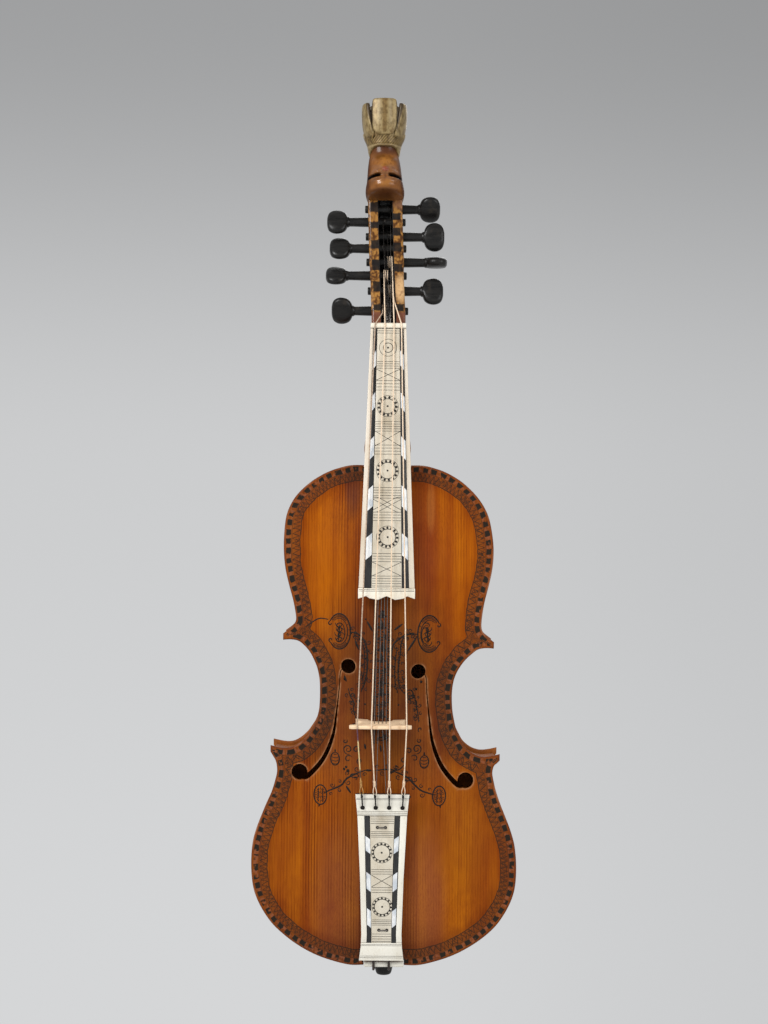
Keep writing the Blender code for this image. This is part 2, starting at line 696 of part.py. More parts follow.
def make_blocks():
    inset = PLATE_OVERHANG + RIB_THICKNESS + 2 * GAP
    for name, top, half in (("neck_block", True, NECK_BLOCK_HALF), ("end_block", False, END_BLOCK_HALF)):
        edge = []
        for share in (-1.0, -0.75, -0.5, -0.25, 0.0, 0.25, 0.5, 0.75, 1.0):
            side = -1 if share < 0 else 1
            line = inset_parts(side, inset)[0] if top else inset_parts(side, inset)[2][::-1]
            edge.append((half * share, read_line(line, abs(half * share))))
        inner = max(d for _, d in edge) + BLOCK_DEPTH if top else min(d for _, d in edge) - BLOCK_DEPTH
        edge += [(edge[-1][0], inner), (edge[0][0], inner)]
        obj = inner_block(name, edge)
        if not top:
            cut(obj, bpy.data.objects["cut_button_shaft"])
    for side, hand in SIDES:
        parts = inset_parts(side, inset)
        for name, first in (("upper", 0), ("lower", 1)):
            leg = first_stretch(parts[first][::-1], CORNER_BLOCK_LEG, 5)
            other = first_stretch(parts[first + 1], CORNER_BLOCK_LEG, 5)
            inner_block(f"corner_block_{name}_{hand}", [(side * a, d) for a, d in leg[::-1] + other[1:]])


def make_bass_bar():
    start, end = BODY_TOP + BODY_LENGTH * 0.17, BODY_TOP + BODY_LENGTH * 0.85
    steps = 12
    left, right = BASS_BAR_ACROSS - BASS_BAR_THICKNESS / 2, BASS_BAR_ACROSS + BASS_BAR_THICKNESS / 2
    rings = []
    for step in range(steps + 1):
        drop = mix(start, end, step / steps)
        fade = math.sin(math.pi * mix(0.08, 0.92, step / steps))
        high = [arch(across, drop, BELLY_ARCH) - ARCH_FIT for across in (left, right)]
        low = min(high) - BASS_BAR_HEIGHT * fade
        rings.append([place(left, high[0], drop), place(right, high[1], drop), place(right, low, drop),
                      place(left, low, drop)])
    loft("bass_bar", rings, FINISH["spruce_inside"])


def make_sound_post():
    across = BRIDGE_ACROSS + (BRIDGE_FOOT_OUTER + BRIDGE_FOOT_INNER) / 2
    drop = STRING_LENGTH + SOUND_POST_BEHIND_BRIDGE
    rim = circle((across, drop), SOUND_POST_RADIUS, 12)
    front = [place(a, arch(a, d, BELLY_ARCH) - ARCH_FIT, d) for a, d in rim]
    back = [place(a, back_inside(a, d) + ARCH_FIT, d) for a, d in rim]
    loft("sound_post", [front, back], FINISH["spruce_inside"])


# Neck, pegbox, head and crown

def neck_front(drop):
    return read_line(PEGBOX_FRONT, drop) if drop < 0 else NECK_FRONT_RISE + NECK_FRONT_SLOPE * drop


def neck_sections():
    """(drop, half width, front rise, back rise, squareness of front and of back) down the whole piece."""
    heel_end = BODY_TOP + PLATE_OVERHANG - GAP
    heel_back = -RIB_HEIGHT + GAP
    neck_back = NECK_FRONT_RISE - NECK_THICKNESS
    sections = [
        (-0.1292, 0.0104, -0.0100, -0.0300, 2.2, 2.2), (-0.1255, 0.0106, -0.0096, -0.0308, 2.3, 2.3),
        (-0.1215, 0.0111, -0.0062, -0.0328, 2.4, 2.4), (-0.1170, 0.0117, -0.0022, -0.0345, 2.5, 2.5),
        (-0.1130, 0.0121, 0.0020, -0.0356, 2.5, 2.6), (-0.1095, 0.0123, 0.0028, -0.0362, 2.5, 2.6),
        (-0.1080, 0.0123, 0.0016, -0.0364, 2.5, 2.6), (-0.1072, 0.0120, -0.0042, -0.0365, 2.5, 2.6),
        (-0.1060, 0.0121, -0.0042, -0.0367, 2.5, 2.6), (-0.1052, 0.0128, 0.0002, -0.0368, 2.5, 2.6),
        (-0.1015, 0.0137, 0.0018, -0.0376, 2.5, 2.8), (-0.0985, 0.0139, 0.0006, -0.0384, 2.6, 3.0),
        (-0.0962, 0.0135, -0.0050, -0.0389, 3.0, 3.2), (-0.0950, 0.0131, -0.0130, -0.0391, 5.0, 3.6)]
    for (drop, rise), depth in zip(PEGBOX_FRONT[:-1], PEGBOX_DEPTH):
        sections.append((drop, PEGBOX_HALF[drop > -0.045], rise, rise - depth, FLAT_FRONT, 5))
    sections += [(-0.0030, PEGBOX_HALF[1], NECK_FRONT_RISE, neck_back - 0.0005, FLAT_FRONT, 3.0),
                 (0.0060, NECK_HALF_AT_NUT, neck_front(0.0060), neck_back, FLAT_FRONT, 2.3)]
    for share in (0.25, 0.5, 0.72):
        drop = mix(0.0060, heel_end, share)
        sections.append((drop, mix(NECK_HALF_AT_NUT, NECK_HALF_AT_HEEL, share), neck_front(drop),
                         neck_back - 0.0010 * share, FLAT_FRONT, 2.2))
    for before_end, depth, narrow in ((0.0150, 0.22, 1.0), (0.0095, 0.52, 0.98), (0.0045, 0.84, 0.96),
                                      (0.0, 1.0, 0.95)):
        drop = heel_end - before_end
        sections.append((drop, NECK_HALF_AT_HEEL * narrow, neck_front(drop),
                         mix(neck_back - 0.001, heel_back, depth), FLAT_FRONT, mix(2.2, 2.6, depth)))
    return sections


def neck_ring(drop, half, front, back, square_front, square_back, sides=16):
    middle, reach = (front + back) / 2, (front - back) / 2
    ring = []
    for i in range(sides):
        turn = math.tau * i / sides
        c, s = math.cos(turn), math.sin(turn)
        power = 2 / (square_front if s > 0 else square_back)
        ring.append(place(head_lean(drop) + half * math.copysign(abs(c) ** power, c),
                          middle + reach * math.copysign(abs(s) ** power, s), drop))
    return ring


def make_neck():
    rings = [neck_ring(*section) for section in neck_sections()]
    neck = loft("neck_and_head", rings, FINISH["neck_wood"], 40)
    trough_rings = []
    top = 2 * CUT_MARGIN
    for drop in (TROUGH_END, -0.079, -0.068, -0.049, -0.027, -0.012, TROUGH_START):
        floor = neck_back_at(drop) + TROUGH_FLOOR
        left, right = head_lean(drop) - TROUGH_HALF, head_lean(drop) + TROUGH_HALF
        trough_rings.append([place(left, floor, drop), place(right, floor, drop), place(right, top, drop),
                             place(left, top, drop)])
    cut(neck, cutter("cut_trough", trough_rings))
    cut(neck, join_cutters("cut_peg_holes", [peg_hole(*peg[:4]) for peg in PEGS]))


def neck_back_at(drop):
    return read_line([(section[0], section[3]) for section in neck_sections()], drop)


def cheek(drop):
    """Half width of the pegbox at a drop."""
    return read_line([(section[0], section[1]) for section in neck_sections()], drop)


def axis_ring(centre_drop, centre_rise, across, half_width, half_thickness, turn):
    """A ring across a peg's axis, turned about it."""
    ring = []
    for i in range(PEG_SIDES):
        angle = math.tau * i / PEG_SIDES
        p, q = half_width * math.cos(angle), half_thickness * math.sin(angle)
        drop = centre_drop + p * math.cos(turn) - q * math.sin(turn)
        rise = centre_rise + p * math.sin(turn) + q * math.cos(turn)
        ring.append(place(across, rise, drop))
    return ring


def peg_hole(name, side, drop, rise):
    """Tapered way through both cheeks."""
    reach = cheek(drop) + CUT_MARGIN / 2
    rings = []
    for across, radius in ((head_lean(drop) + side * reach, PEG_RADIUS_AT_HEAD),
                           (head_lean(drop) - side * reach, PEG_RADIUS_AT_TIP)):
        hole = (radius + PEG_HOLE_CLEARANCE) / math.cos(math.pi / PEG_SIDES)
        rings.append(axis_ring(drop, rise, across, hole, hole, 0.0))
    return loft("hole_" + name, rings, FINISH["cutter"])


def make_peg(name, side, drop, rise, shank, turn):
    """A turned shank that spreads into a flat oval head; its origin lies on the axis."""
    centre = head_lean(drop)
    cheek_face = centre + side * cheek(drop)
    tip = centre - side * (cheek(drop) + PEG_TIP_PROUD)
    neck = cheek_face + side * shank
    wide, thick = PEG_HEAD_HALF_WIDTH, PEG_HEAD_HALF_THICKNESS
    taper = mix(PEG_RADIUS_AT_HEAD, PEG_RADIUS_AT_TIP, 0.1)
    profile = [
        (tip, PEG_RADIUS_AT_TIP * 0.8, PEG_RADIUS_AT_TIP * 0.8),
        (tip + side * 0.0006, PEG_RADIUS_AT_TIP, PEG_RADIUS_AT_TIP),
        (cheek_face, PEG_RADIUS_AT_HEAD, PEG_RADIUS_AT_HEAD),
        (neck - side * 0.0015, taper * 0.94, taper * 0.94),
        (neck, taper * 1.10, taper * 1.02),
        (neck + side * PEG_HEAD_LENGTH * 0.12, wide * 0.66, thick * 0.98),
        (neck + side * PEG_HEAD_LENGTH * 0.34, wide * 0.95, thick),
        (neck + side * PEG_HEAD_LENGTH * 0.55, wide, thick),
        (neck + side * PEG_HEAD_LENGTH * 0.78, wide * 0.90, thick * 0.98),
        (neck + side * PEG_HEAD_LENGTH * 0.93, wide * 0.66, thick * 0.85),
        (neck + side * PEG_HEAD_LENGTH, wide * 0.40, thick * 0.55)]
    angle = math.radians(turn)
    rings = [axis_ring(drop, rise, across, a, b, angle) for across, a, b in profile]
    peg = loft(name, rings, FINISH["black_wood"], 40)
    origin = place(cheek_face, rise, drop)
    for vertex in peg.data.vertices:
        vertex.co -= origin
    peg.location = origin


def make_crown():
    """Four petals rising from a band, hollow between them."""
    profile = ((-0.1295, 0.0118), (-0.1305, 0.0126), (-0.1335, 0.0130), (-0.1422, 0.0154), (-0.1440, 0.0158),
               (-0.1540, 0.0156), (-0.1620, 0.0162), (-0.1650, 0.0150))
    lean, middle = head_lean(-0.145), HANGER_RISE + 0.0012
    rings = [disc_ring((lean, middle), radius, drop, 24, math.pi / 24) for drop, radius in profile]
    crown = loft("crown", rings, FINISH["gilt"], 40)
    cup = ((-0.1415, 0.0060), (-0.1450, 0.0092), (-0.1560, 0.0108), (-0.1660, 0.0122))
    cut(crown, cutter("cut_crown_cup", [disc_ring((lean, middle), radius, drop, 24, math.pi / 24)
                                        for drop, radius in cup]))
    notches = []
    for index in range(4):
        turn = math.pi / 4 + math.pi / 2 * index
        out, along = Vector((math.cos(turn), math.sin(turn))), Vector((-math.sin(turn), math.cos(turn)))
        rings = []
        for reach in (0.0070, 0.0220):
            ring = []
            for drop, half in ((-0.1425, 0.0006), (-0.1425, -0.0006), (-0.1680, -0.0036), (-0.1680, 0.0036)):
                spot = Vector((lean, middle)) + out * reach + along * half * reach / 0.0130
                ring.append(place(spot.x, spot.y, drop))
            rings.append(ring)
        notches.append(loft(f"notch_{index}", rings, FINISH["cutter"]))
    cut(crown, join_cutters("cut_crown_notches", notches))


# Nut and fingerboard

def board_share(drop):
    return between(drop, 0.0, BOARD_END)


def board_half(drop):
    return mix(BOARD_HALF_AT_NUT, BOARD_HALF_AT_END, board_share(drop))


def board_front(across, drop):
    middle = mix(BOARD_FRONT_AT_NUT, BOARD_FRONT_AT_END, board_share(drop))
    return middle - across ** 2 / (2 * BOARD_CAMBER_RADIUS)


def sympathetic_rise(drop):
    return mix(SYMPATHETIC_RISE_AT_NUT, SYMPATHETIC_RISE_AT_BRIDGE, drop / STRING_LENGTH)


def make_nut():
    low, high = -NUT_THICKNESS / 2, NUT_THICKNESS / 2
    crest = PLAYING_RISE_AT_NUT - PLAYING_DIAMETER / 2 - GAP
    outline = [(low, NECK_FRONT_RISE + GAP), (high, NECK_FRONT_RISE + GAP + NECK_FRONT_SLOPE * high),
               (high, crest - 0.0008), (high - 0.0008, crest), (low + 0.0012, crest), (low, crest - 0.0016)]
    rings = [[place(across, rise, drop) for drop, rise in outline] for across in (-NUT_HALF, NUT_HALF)]
    nut = loft("nut", rings, FINISH["bone"])
    window = SYMPATHETIC_STRINGS[-1][1] + 0.0016
    sill = SYMPATHETIC_RISE_AT_NUT - SYMPATHETIC_DIAMETER / 2 - GAP - 0.0003
    cut(nut, box_cutter("cut_nut_window", (-window, sill, low - CUT_MARGIN),
                        (window, sill + NUT_WINDOW_HEIGHT, high + CUT_MARGIN)))


def facing_strip(name, left, right, pieces, material):
    """A thin strip of the facing between two edges of (drop, across) points."""
    front, back = [], []
    for (drop, from_across), (_, to_across) in zip(left, right):
        line = [mix(from_across, to_across, piece / pieces) for piece in range(pieces + 1)]
        front.append([place(a, board_front(a, drop), drop) for a in line])
        back.append([place(a, board_front(a, drop) - FACING_THICKNESS, drop) for a in line])
    return sheet_solid(name, front, back, material)


def make_fingerboard():
    start = NUT_THICKNESS / 2 + GAP
    end = BOARD_END - BOARD_TRIM - GAP
    heel = BODY_TOP - 0.002
    sink = FACING_THICKNESS + GAP
    columns = [-1.0, -0.6, -0.2, 0.2, 0.6, 1.0]
    front, back = [], []
    for drop in (start, mix(start, heel, 0.5), heel, mix(heel, end, 0.5), end):
        on_neck = NECK_FRONT_RISE + NECK_FRONT_SLOPE * min(drop, heel) + GAP
        under = mix(on_neck, BOARD_UNDERSIDE_AT_END, between(drop, heel, end))
        line = [c * board_half(drop) for c in columns]
        front.append([place(across, board_front(across, drop) - sink, drop) for across in line])
        back.append([place(across, under, drop) for across in line])
    board = sheet_solid("fingerboard", front, back, FINISH["black_wood"])
    tunnel = []
    for drop in (start - CUT_MARGIN, BOARD_END + CUT_MARGIN):
        half = mix(TUNNEL_HALF_AT_NUT, TUNNEL_HALF_AT_END, board_share(drop))
        ceiling = sympathetic_rise(drop) + TUNNEL_HEADROOM
        tunnel.append([place(-half, -CUT_MARGIN, drop), place(half, -CUT_MARGIN, drop),
                       place(half, ceiling, drop), place(-half, ceiling, drop)])
    tunnel = cutter("cut_string_tunnel", tunnel)
    cut(board, tunnel)

    def edge(shares, side, inset):
        return [(drop, side * (mix(*shares, board_share(drop)) * board_half(drop) + inset))
                for drop in (start, mix(start, end, 0.5), end)]

    outer = (1.0, 1.0)
    facing_strip("fingerboard_centre_strip", edge(BOARD_CENTRE_SHARE, -1, -GAP / 2),
                 edge(BOARD_CENTRE_SHARE, 1, -GAP / 2), 6, FINISH["bone"])
    for side, hand in SIDES:
        facing_strip("fingerboard_band_" + hand, edge(BOARD_CENTRE_SHARE, side, GAP / 2),
                     edge(BOARD_BAND_SHARE, side, -GAP / 2), 2, FINISH["horn"])
        facing_strip("fingerboard_edge_" + hand, edge(BOARD_BAND_SHARE, side, GAP / 2),
                     edge(outer, side, 0.0), 2, FINISH["bone"])
    make_end_trim(tunnel)


def make_end_trim(tunnel):
    """The block across the end of the board, with its three round lobes."""
    start = BOARD_END - BOARD_TRIM
    half = board_half(BOARD_END)
    cusp = 0.0026
    lobe = ((0.30, 0.0), (0.60, 0.0010), (0.72, cusp), (1.0, 0.0006))
    foot = [(-half * share, lift) for share, lift in lobe[::-1]] + [(0.0, cusp)]
    foot += [(half * share, lift) for share, lift in lobe]
    under = BOARD_UNDERSIDE_AT_END + GAP
    rings = []
    for across, lift in foot:
        bottom = BOARD_END - lift
        rings.append([place(across, board_front(across, start), start),
                      place(across, board_front(across, bottom), bottom),
                      place(across, under, bottom), place(across, under, start)])
    trim = loft("fingerboard_end_trim", rings, FINISH["bone"])
    cut(trim, tunnel)


# Bridge

def make_bridge():
    drop = STRING_LENGTH
    crest = PLAYING_RISE_AT_BRIDGE - PLAYING_DIAMETER / 2 - GAP

    def foot(side, reach):
        across = BRIDGE_ACROSS + side * reach
        return (across, belly_front(across, drop) + GAP)

    def top(share):
        across = BRIDGE_TOP_HALF * share
        return (BRIDGE_ACROSS + across, crest - across ** 2 / (2 * BRIDGE_CREST_RADIUS))

    base = belly_front(BRIDGE_ACROSS, drop)

    def outer_side(side):
        shape = ((0.95, 0.10), (0.74, 0.30), (0.78, 0.55), (0.92, 0.74))
        points = [(side * BRIDGE_FOOT_OUTER * reach, mix(base, crest, share)) for reach, share in shape]
        points += [(side * BRIDGE_TOP_HALF, crest - 0.0046), (side * BRIDGE_TOP_HALF * 1.01, crest - 0.0026)]
        return [(BRIDGE_ACROSS + across, rise) for across, rise in points]

    arch_of_feet = ((-0.90, 0.0035), (-0.55, 0.0062), (0.0, 0.0074), (0.55, 0.0062), (0.90, 0.0035))
    outline = [foot(-1, BRIDGE_FOOT_OUTER), foot(-1, BRIDGE_FOOT_INNER)]
    outline += [(BRIDGE_ACROSS + BRIDGE_FOOT_INNER * share, base + lift) for share, lift in arch_of_feet]
    outline += [foot(1, BRIDGE_FOOT_INNER), foot(1, BRIDGE_FOOT_OUTER)] + outer_side(1)
    outline += [top(share) for share in (0.93, 0.62, 0.31, 0.0, -0.31, -0.62, -0.93)] + outer_side(-1)[::-1]
    rings = []
    for face in (-1, 1):
        ring = []
        for across, rise in outline:
            thickness = mix(BRIDGE_THICKNESS_AT_FEET, BRIDGE_THICKNESS_AT_TOP, between(rise, base, crest))
            ring.append(place(across, rise, drop + face * thickness / 2))
        rings.append(ring)
    bridge = loft("bridge", rings, FINISH["pale_maple"])
    window = SYMPATHETIC_STRINGS[-1][2] + 0.0022
    sill = SYMPATHETIC_RISE_AT_BRIDGE - SYMPATHETIC_DIAMETER / 2 - GAP
    cut(bridge, box_cutter("cut_bridge_window", (BRIDGE_ACROSS - window, sill, drop - CUT_MARGIN),
                           (BRIDGE_ACROSS + window, sill + BRIDGE_WINDOW_HEIGHT, drop + CUT_MARGIN)))
    close_slivers(bridge)


# Tailpiece and tail end

def tail_share(drop):
    return between(drop, TAILPIECE_TOP, TAILPIECE_FOOT)


def tail_front(drop):
    return mix(TAILPIECE_FRONT_AT_TOP, TAILPIECE_FRONT_AT_FOOT, tail_share(drop))


def tail_half(drop):
    stations = ((0.0, TAILPIECE_TOP_HALF), (0.14, mix(TAILPIECE_TOP_HALF, TAILPIECE_WAIST_HALF, 0.34)),
                (0.5, mix(TAILPIECE_TOP_HALF, TAILPIECE_WAIST_HALF, 0.76)), (0.84, TAILPIECE_WAIST_HALF),
                (0.92, mix(TAILPIECE_WAIST_HALF, TAILPIECE_FOOT_HALF, 0.25)), (1.0, TAILPIECE_FOOT_HALF))
    return read_line(stations, tail_share(drop))


def tail_piece(name, drops, shares, insets, front_down, thickness, material):
    """A flat piece of the tailpiece between two edges, each a share of the half width moved by an inset."""
    front, back = [], []
    for drop in drops:
        rise = tail_front(drop) - front_down
        edges = [TAILPIECE_ACROSS + tail_half(drop) * share + inset for share, inset in zip(shares, insets)]
        front.append([place(across, rise, drop) for across in edges])
        back.append([place(across, rise - thickness, drop) for across in edges])
    return sheet_solid(name, front, back, material)


def make_tailpiece():
    shares = (0.0, 0.14, 0.3, 0.5, 0.7, 0.84, 0.92, 1.0)
    stations = [TAILPIECE_TOP + TAILPIECE_LENGTH * share for share in shares]
    block_end = TAILPIECE_TOP + TAILPIECE_TOP_BLOCK
    foot_start = TAILPIECE_FOOT - TAILPIECE_FOOT_BLOCK
    field = [block_end + GAP] + [drop for drop in stations if block_end + 0.002 < drop < foot_start - 0.002]
    field += [foot_start - GAP]
    whole, flush = (-1.0, 1.0), (0.0, 0.0)
    core = tail_piece("tailpiece", stations, whole, flush, FACING_THICKNESS + GAP, TAILPIECE_CORE,
                      FINISH["black_wood"])
    top = tail_piece("tailpiece_top_block", [TAILPIECE_TOP, block_end], whole, flush, 0.0,
                     FACING_THICKNESS, FINISH["bone"])
    tail_piece("tailpiece_foot_block", [foot_start, stations[-2], TAILPIECE_FOOT], whole, flush, 0.0,
               FACING_THICKNESS, FINISH["bone"])
    strip = tail_piece("tailpiece_centre_strip", field, (-TAIL_CENTRE_SHARE, TAIL_CENTRE_SHARE),
                       (GAP / 2, -GAP / 2), 0.0, FACING_THICKNESS, FINISH["bone"])
    for side, hand in SIDES:
        tail_piece("tailpiece_band_" + hand, field, (side * TAIL_CENTRE_SHARE, side * TAIL_BAND_SHARE),
                   (side * GAP / 2, -side * GAP / 2), 0.0, FACING_THICKNESS, FINISH["horn"])
        tail_piece("tailpiece_edge_" + hand, field, (side * TAIL_BAND_SHARE, side), (side * GAP / 2, 0.0),
                   0.0, FACING_THICKNESS, FINISH["bone"])
    hole_drop = TAILPIECE_TOP + STRING_HOLE_DROP
    through = (tail_front(TAILPIECE_TOP) + CUT_MARGIN, tail_front(TAILPIECE_TOP) - 2 * CUT_MARGIN)
    holes = join_cutters("cut_string_holes", [
        hole_through("hole_" + name, (TAILPIECE_ACROSS + at_hole, hole_drop), STRING_HOLE_RADIUS, through, 10)
        for name, _, _, at_hole, *_ in PLAYING_STRINGS])
    cut(core, holes)
    cut(top, holes)
    make_staples(core, strip, foot_start)
    make_gut_holes(core)


def staple_places(foot_start):
    """(name, across, drop) of each wire staple."""
    return (("staple_upper", TAILPIECE_ACROSS - 0.0005, TAILPIECE_TOP + TAILPIECE_TOP_BLOCK + 0.0085),
            ("staple_lower", TAILPIECE_ACROSS + 0.0010, foot_start - 0.0094))


def staple_behind(drop):
    """Rise of the staples' arms behind the tailpiece."""
    return tail_front(drop) - FACING_THICKNESS - TAILPIECE_CORE - STAPLE_WIRE / 2 - 2 * GAP


def make_staples(core, strip, foot_start):
    tools = []
    for name, across, drop in staple_places(foot_start):
        front = tail_front(drop) + STAPLE_WIRE / 2 + GAP
        behind = staple_behind(drop)
        left, right = across - STAPLE_SPAN / 2, across + STAPLE_SPAN / 2
        bend = STAPLE_BEND
        route = [(left - STAPLE_ARM, behind), (left - bend, behind), (left, behind + bend),
                 (left, front - bend), (left + bend, front), (right - bend, front), (right, front - bend),
                 (right, behind + bend), (right + bend, behind), (right + STAPLE_ARM, behind)]
        tube(name, [place(a, rise, drop) for a, rise in route], STAPLE_WIRE, FINISH["wire"])
        for leg in (left, right):
            tools.append(hole_through(f"staple_hole_{len(tools)}", (leg, drop), STAPLE_WIRE / 2 + 2 * GAP,
                                      (front + CUT_MARGIN, behind - CUT_MARGIN), 8))
    holes = join_cutters("cut_staple_holes", tools)
    cut(core, holes)
    cut(strip, holes)


def gut_exit(side):
    """Where a leg of the tail gut leaves the tailpiece."""
    rise = tail_front(TAILPIECE_FOOT) - FACING_THICKNESS - GAP - TAILPIECE_CORE / 2
    return (TAILPIECE_ACROSS + side * TAIL_GUT_HALF, rise)


def make_gut_holes(core):
    tools = []
    for side in (-1, 1):
        across, rise = gut_exit(side)
        rings = [disc_ring((across, rise + TAIL_SLOPE * back), TAIL_GUT_DIAMETER / 2 + GAP,
                           TAILPIECE_FOOT - back, 10) for back in (TAIL_GUT_DEPTH + 0.0020, -CUT_MARGIN / 2)]
        tools.append(loft(f"gut_hole_{side}", rings, FINISH["cutter"]))
    cut(core, join_cutters("cut_gut_holes", tools))


def make_saddle():
    start = BODY_BOTTOM - SADDLE_DEPTH
    outline = [(start, 0.0), (BODY_BOTTOM, 0.0), (BODY_BOTTOM, SADDLE_RISE - 0.0016),
               (BODY_BOTTOM - 0.0008, SADDLE_RISE - 0.0004), (BODY_BOTTOM - 0.0020, SADDLE_RISE),
               (start, SADDLE_RISE - 0.0006)]
    rings = [[place(across, rise, drop) for drop, rise in outline] for across in (-SADDLE_HALF, SADDLE_HALF)]
    loft("saddle", rings, FINISH["bone"])


def make_end_button():
    rib_face = BODY_BOTTOM - PLATE_OVERHANG
    shaft_end = rib_face - RIB_THICKNESS - BLOCK_DEPTH
    head = rib_face + BUTTON_NECK_LENGTH
    profile = ((shaft_end, BUTTON_SHAFT_RADIUS * 0.85), (rib_face, BUTTON_SHAFT_RADIUS * 0.98),
               (rib_face + 0.0006, BUTTON_NECK_RADIUS), (head, BUTTON_NECK_RADIUS),
               (head + 0.0008, BUTTON_HEAD_RADIUS * 0.92), (head + 0.0030, BUTTON_HEAD_RADIUS),
               (head + 0.0056, BUTTON_HEAD_RADIUS * 0.93), (head + BUTTON_HEAD_LENGTH, BUTTON_FACE_RADIUS))
    loft("end_button", [disc_ring((0.0, -RIB_HEIGHT / 2), radius, drop, 20) for drop, radius in profile],
         FINISH["black_wood"])


def make_tail_gut():
    """One piece: out of the tailpiece, over the saddle, round the button's neck and back."""
    radius = TAIL_GUT_DIAMETER / 2
    over = BODY_BOTTOM + radius + GAP
    loop = BUTTON_NECK_RADIUS + GAP + radius
    middle = -RIB_HEIGHT / 2
    crest = SADDLE_RISE + radius + GAP

    def leg(side):
        across, rise = gut_exit(side)
        half_way = (mix(across, side * loop, 0.55), mix(crest, middle, 0.5), over)
        return [(across, rise + TAIL_SLOPE * TAIL_GUT_DEPTH, TAILPIECE_FOOT - TAIL_GUT_DEPTH),
                (across, rise, TAILPIECE_FOOT + 0.0004), (across, crest + 0.0002, BODY_BOTTOM - 0.0034),
                (across, crest, BODY_BOTTOM - 0.0012), (across, crest - 0.0009, over - 0.0004),
                (across, crest - 0.0030, over), half_way, (side * loop, middle + 0.0010, over + 0.0002)]

    bend = [(loop * math.cos(t), middle - loop * math.sin(t), over + 0.0002)
            for t in (math.pi * (1 - step / 8) for step in range(1, 8))]
    route = leg(-1) + bend + leg(1)[::-1]
    tube("tail_gut", [place(*point) for point in route], TAIL_GUT_DIAMETER, FINISH["gut_dark"], sides=2)


# Strings

def taut_route(start, peg_name, radius, clear):
    """(rise, drop) points of a string from the nut over nearer pegs to its peg, and its landing angle."""
    pegs = {peg[0]: peg for peg in PEGS}
    target = pegs[peg_name]
    wrap = PEG_RADIUS_AT_HEAD + GAP + radius
    points = [start]
    while True:
        rise, drop = points[-1]
        angle = 0.0
        for _ in range(20):
            end_rise = target[3] + wrap * math.cos(angle)
            end_drop = target[2] - wrap * math.sin(angle)
            angle = math.atan2(rise - end_rise, drop - end_drop)
        steepest = None
        for peg in PEGS:
            if not target[2] + 0.004 < peg[2] < drop - 0.002:
                continue
            top = peg[3] + PEG_RADIUS_AT_HEAD + clear
            on_line = mix(rise, end_rise, (peg[2] - drop) / (end_drop - drop))
            slope = (rise - top) / (drop - peg[2])
            if top > on_line and (steepest is None or slope < steepest[0]):
                steepest = (slope, top, peg[2])
        if steepest is None:
            return points + [(end_rise, end_drop)], angle
        points.append((steepest[1], steepest[2]))


def winding(peg_name, start_across, way, angle, diameter):
    """Turns of a string round its peg, as a helix worked out from the peg's own place."""
    peg = {row[0]: row for row in PEGS}[peg_name]
    wrap = PEG_RADIUS_AT_HEAD + GAP + diameter / 2
    pitch = diameter + WINDING_GAP
    steps = round(WINDING_TURNS * WINDING_POINTS)
    turns = []
    for step in range(1, steps + 1):
        turn = angle + math.tau * step / WINDING_POINTS
        turns.append(place(start_across + way * pitch * step / WINDING_POINTS, peg[3] + wrap * math.cos(turn),
                           peg[2] - wrap * math.sin(turn)))
    return turns


def head_side_points(nut_across, route, start_across):
    """The stretch from the nut to the peg with its sideways run spread over the drop."""
    first, last = route[0][1], route[-1][1]
    return [place(mix(nut_across, start_across, (drop - first) / (last - first)), rise, drop)
            for rise, drop in route[1:]]


def least_gap(points, diameter):
    """Least gap between turns that lie apart along the string, face to face."""
    lengths = [0.0]
    for a, b in zip(points, points[1:]):
        lengths.append(lengths[-1] + (b - a).length)
    least = 1.0
    for i, a in enumerate(points):
        for j in range(i + 1, len(points)):
            if lengths[j] - lengths[i] > 0.010:
                least = min(least, (points[j] - a).length - diameter)
    return least


def make_playing_strings():
    for name, at_nut, at_bridge, at_hole, peg, wound_from, way in PLAYING_STRINGS:
        radius = PLAYING_DIAMETER / 2
        start = CHEEK_CROSSINGS.get(name, (at_nut, PLAYING_RISE_AT_NUT, -NUT_THICKNESS / 2 + 0.0008))
        route, angle = taut_route(start[1:], peg, radius, PLAYING_CLEAR)
        hole_drop = TAILPIECE_TOP + STRING_HOLE_DROP
        hole = place(TAILPIECE_ACROSS + at_hole, tail_front(hole_drop) + 0.0012, hole_drop)
        across = BRIDGE_ACROSS + at_bridge
        dip = at_bridge ** 2 / (2 * BRIDGE_CREST_RADIUS)
        crest = place(across, PLAYING_RISE_AT_BRIDGE - dip, STRING_LENGTH)
        toward = (crest - hole).normalized()
        knot = hole + toward * KNOT_TO_HOLE
        tail = [knot + toward * along for along in (-0.0020, -0.0012, 0.0, 0.0010, 0.0020)]
        radii = [0.8, 2.1, 2.4, 2.1, 1.0]
        nut = [place(at_nut, PLAYING_RISE_AT_NUT, NUT_THICKNESS / 2 - 0.0010),
               place(at_nut, PLAYING_RISE_AT_NUT, -NUT_THICKNESS / 2 + 0.0012)]
        turns = winding(peg, wound_from, way, angle, PLAYING_DIAMETER)
        if name in CHEEK_CROSSINGS:
            nut.append(place(*start))
        points = tail + [crest] + nut + head_side_points(start[0], route, wound_from) + turns
        tube(name, points, PLAYING_DIAMETER, FINISH["gut"], radii + [1.0] * (len(points) - len(radii)))
        print(name, "least gap between turns, mm:", round(1000 * least_gap(turns, PLAYING_DIAMETER), 2))
        make_loop(name, knot, toward, hole)


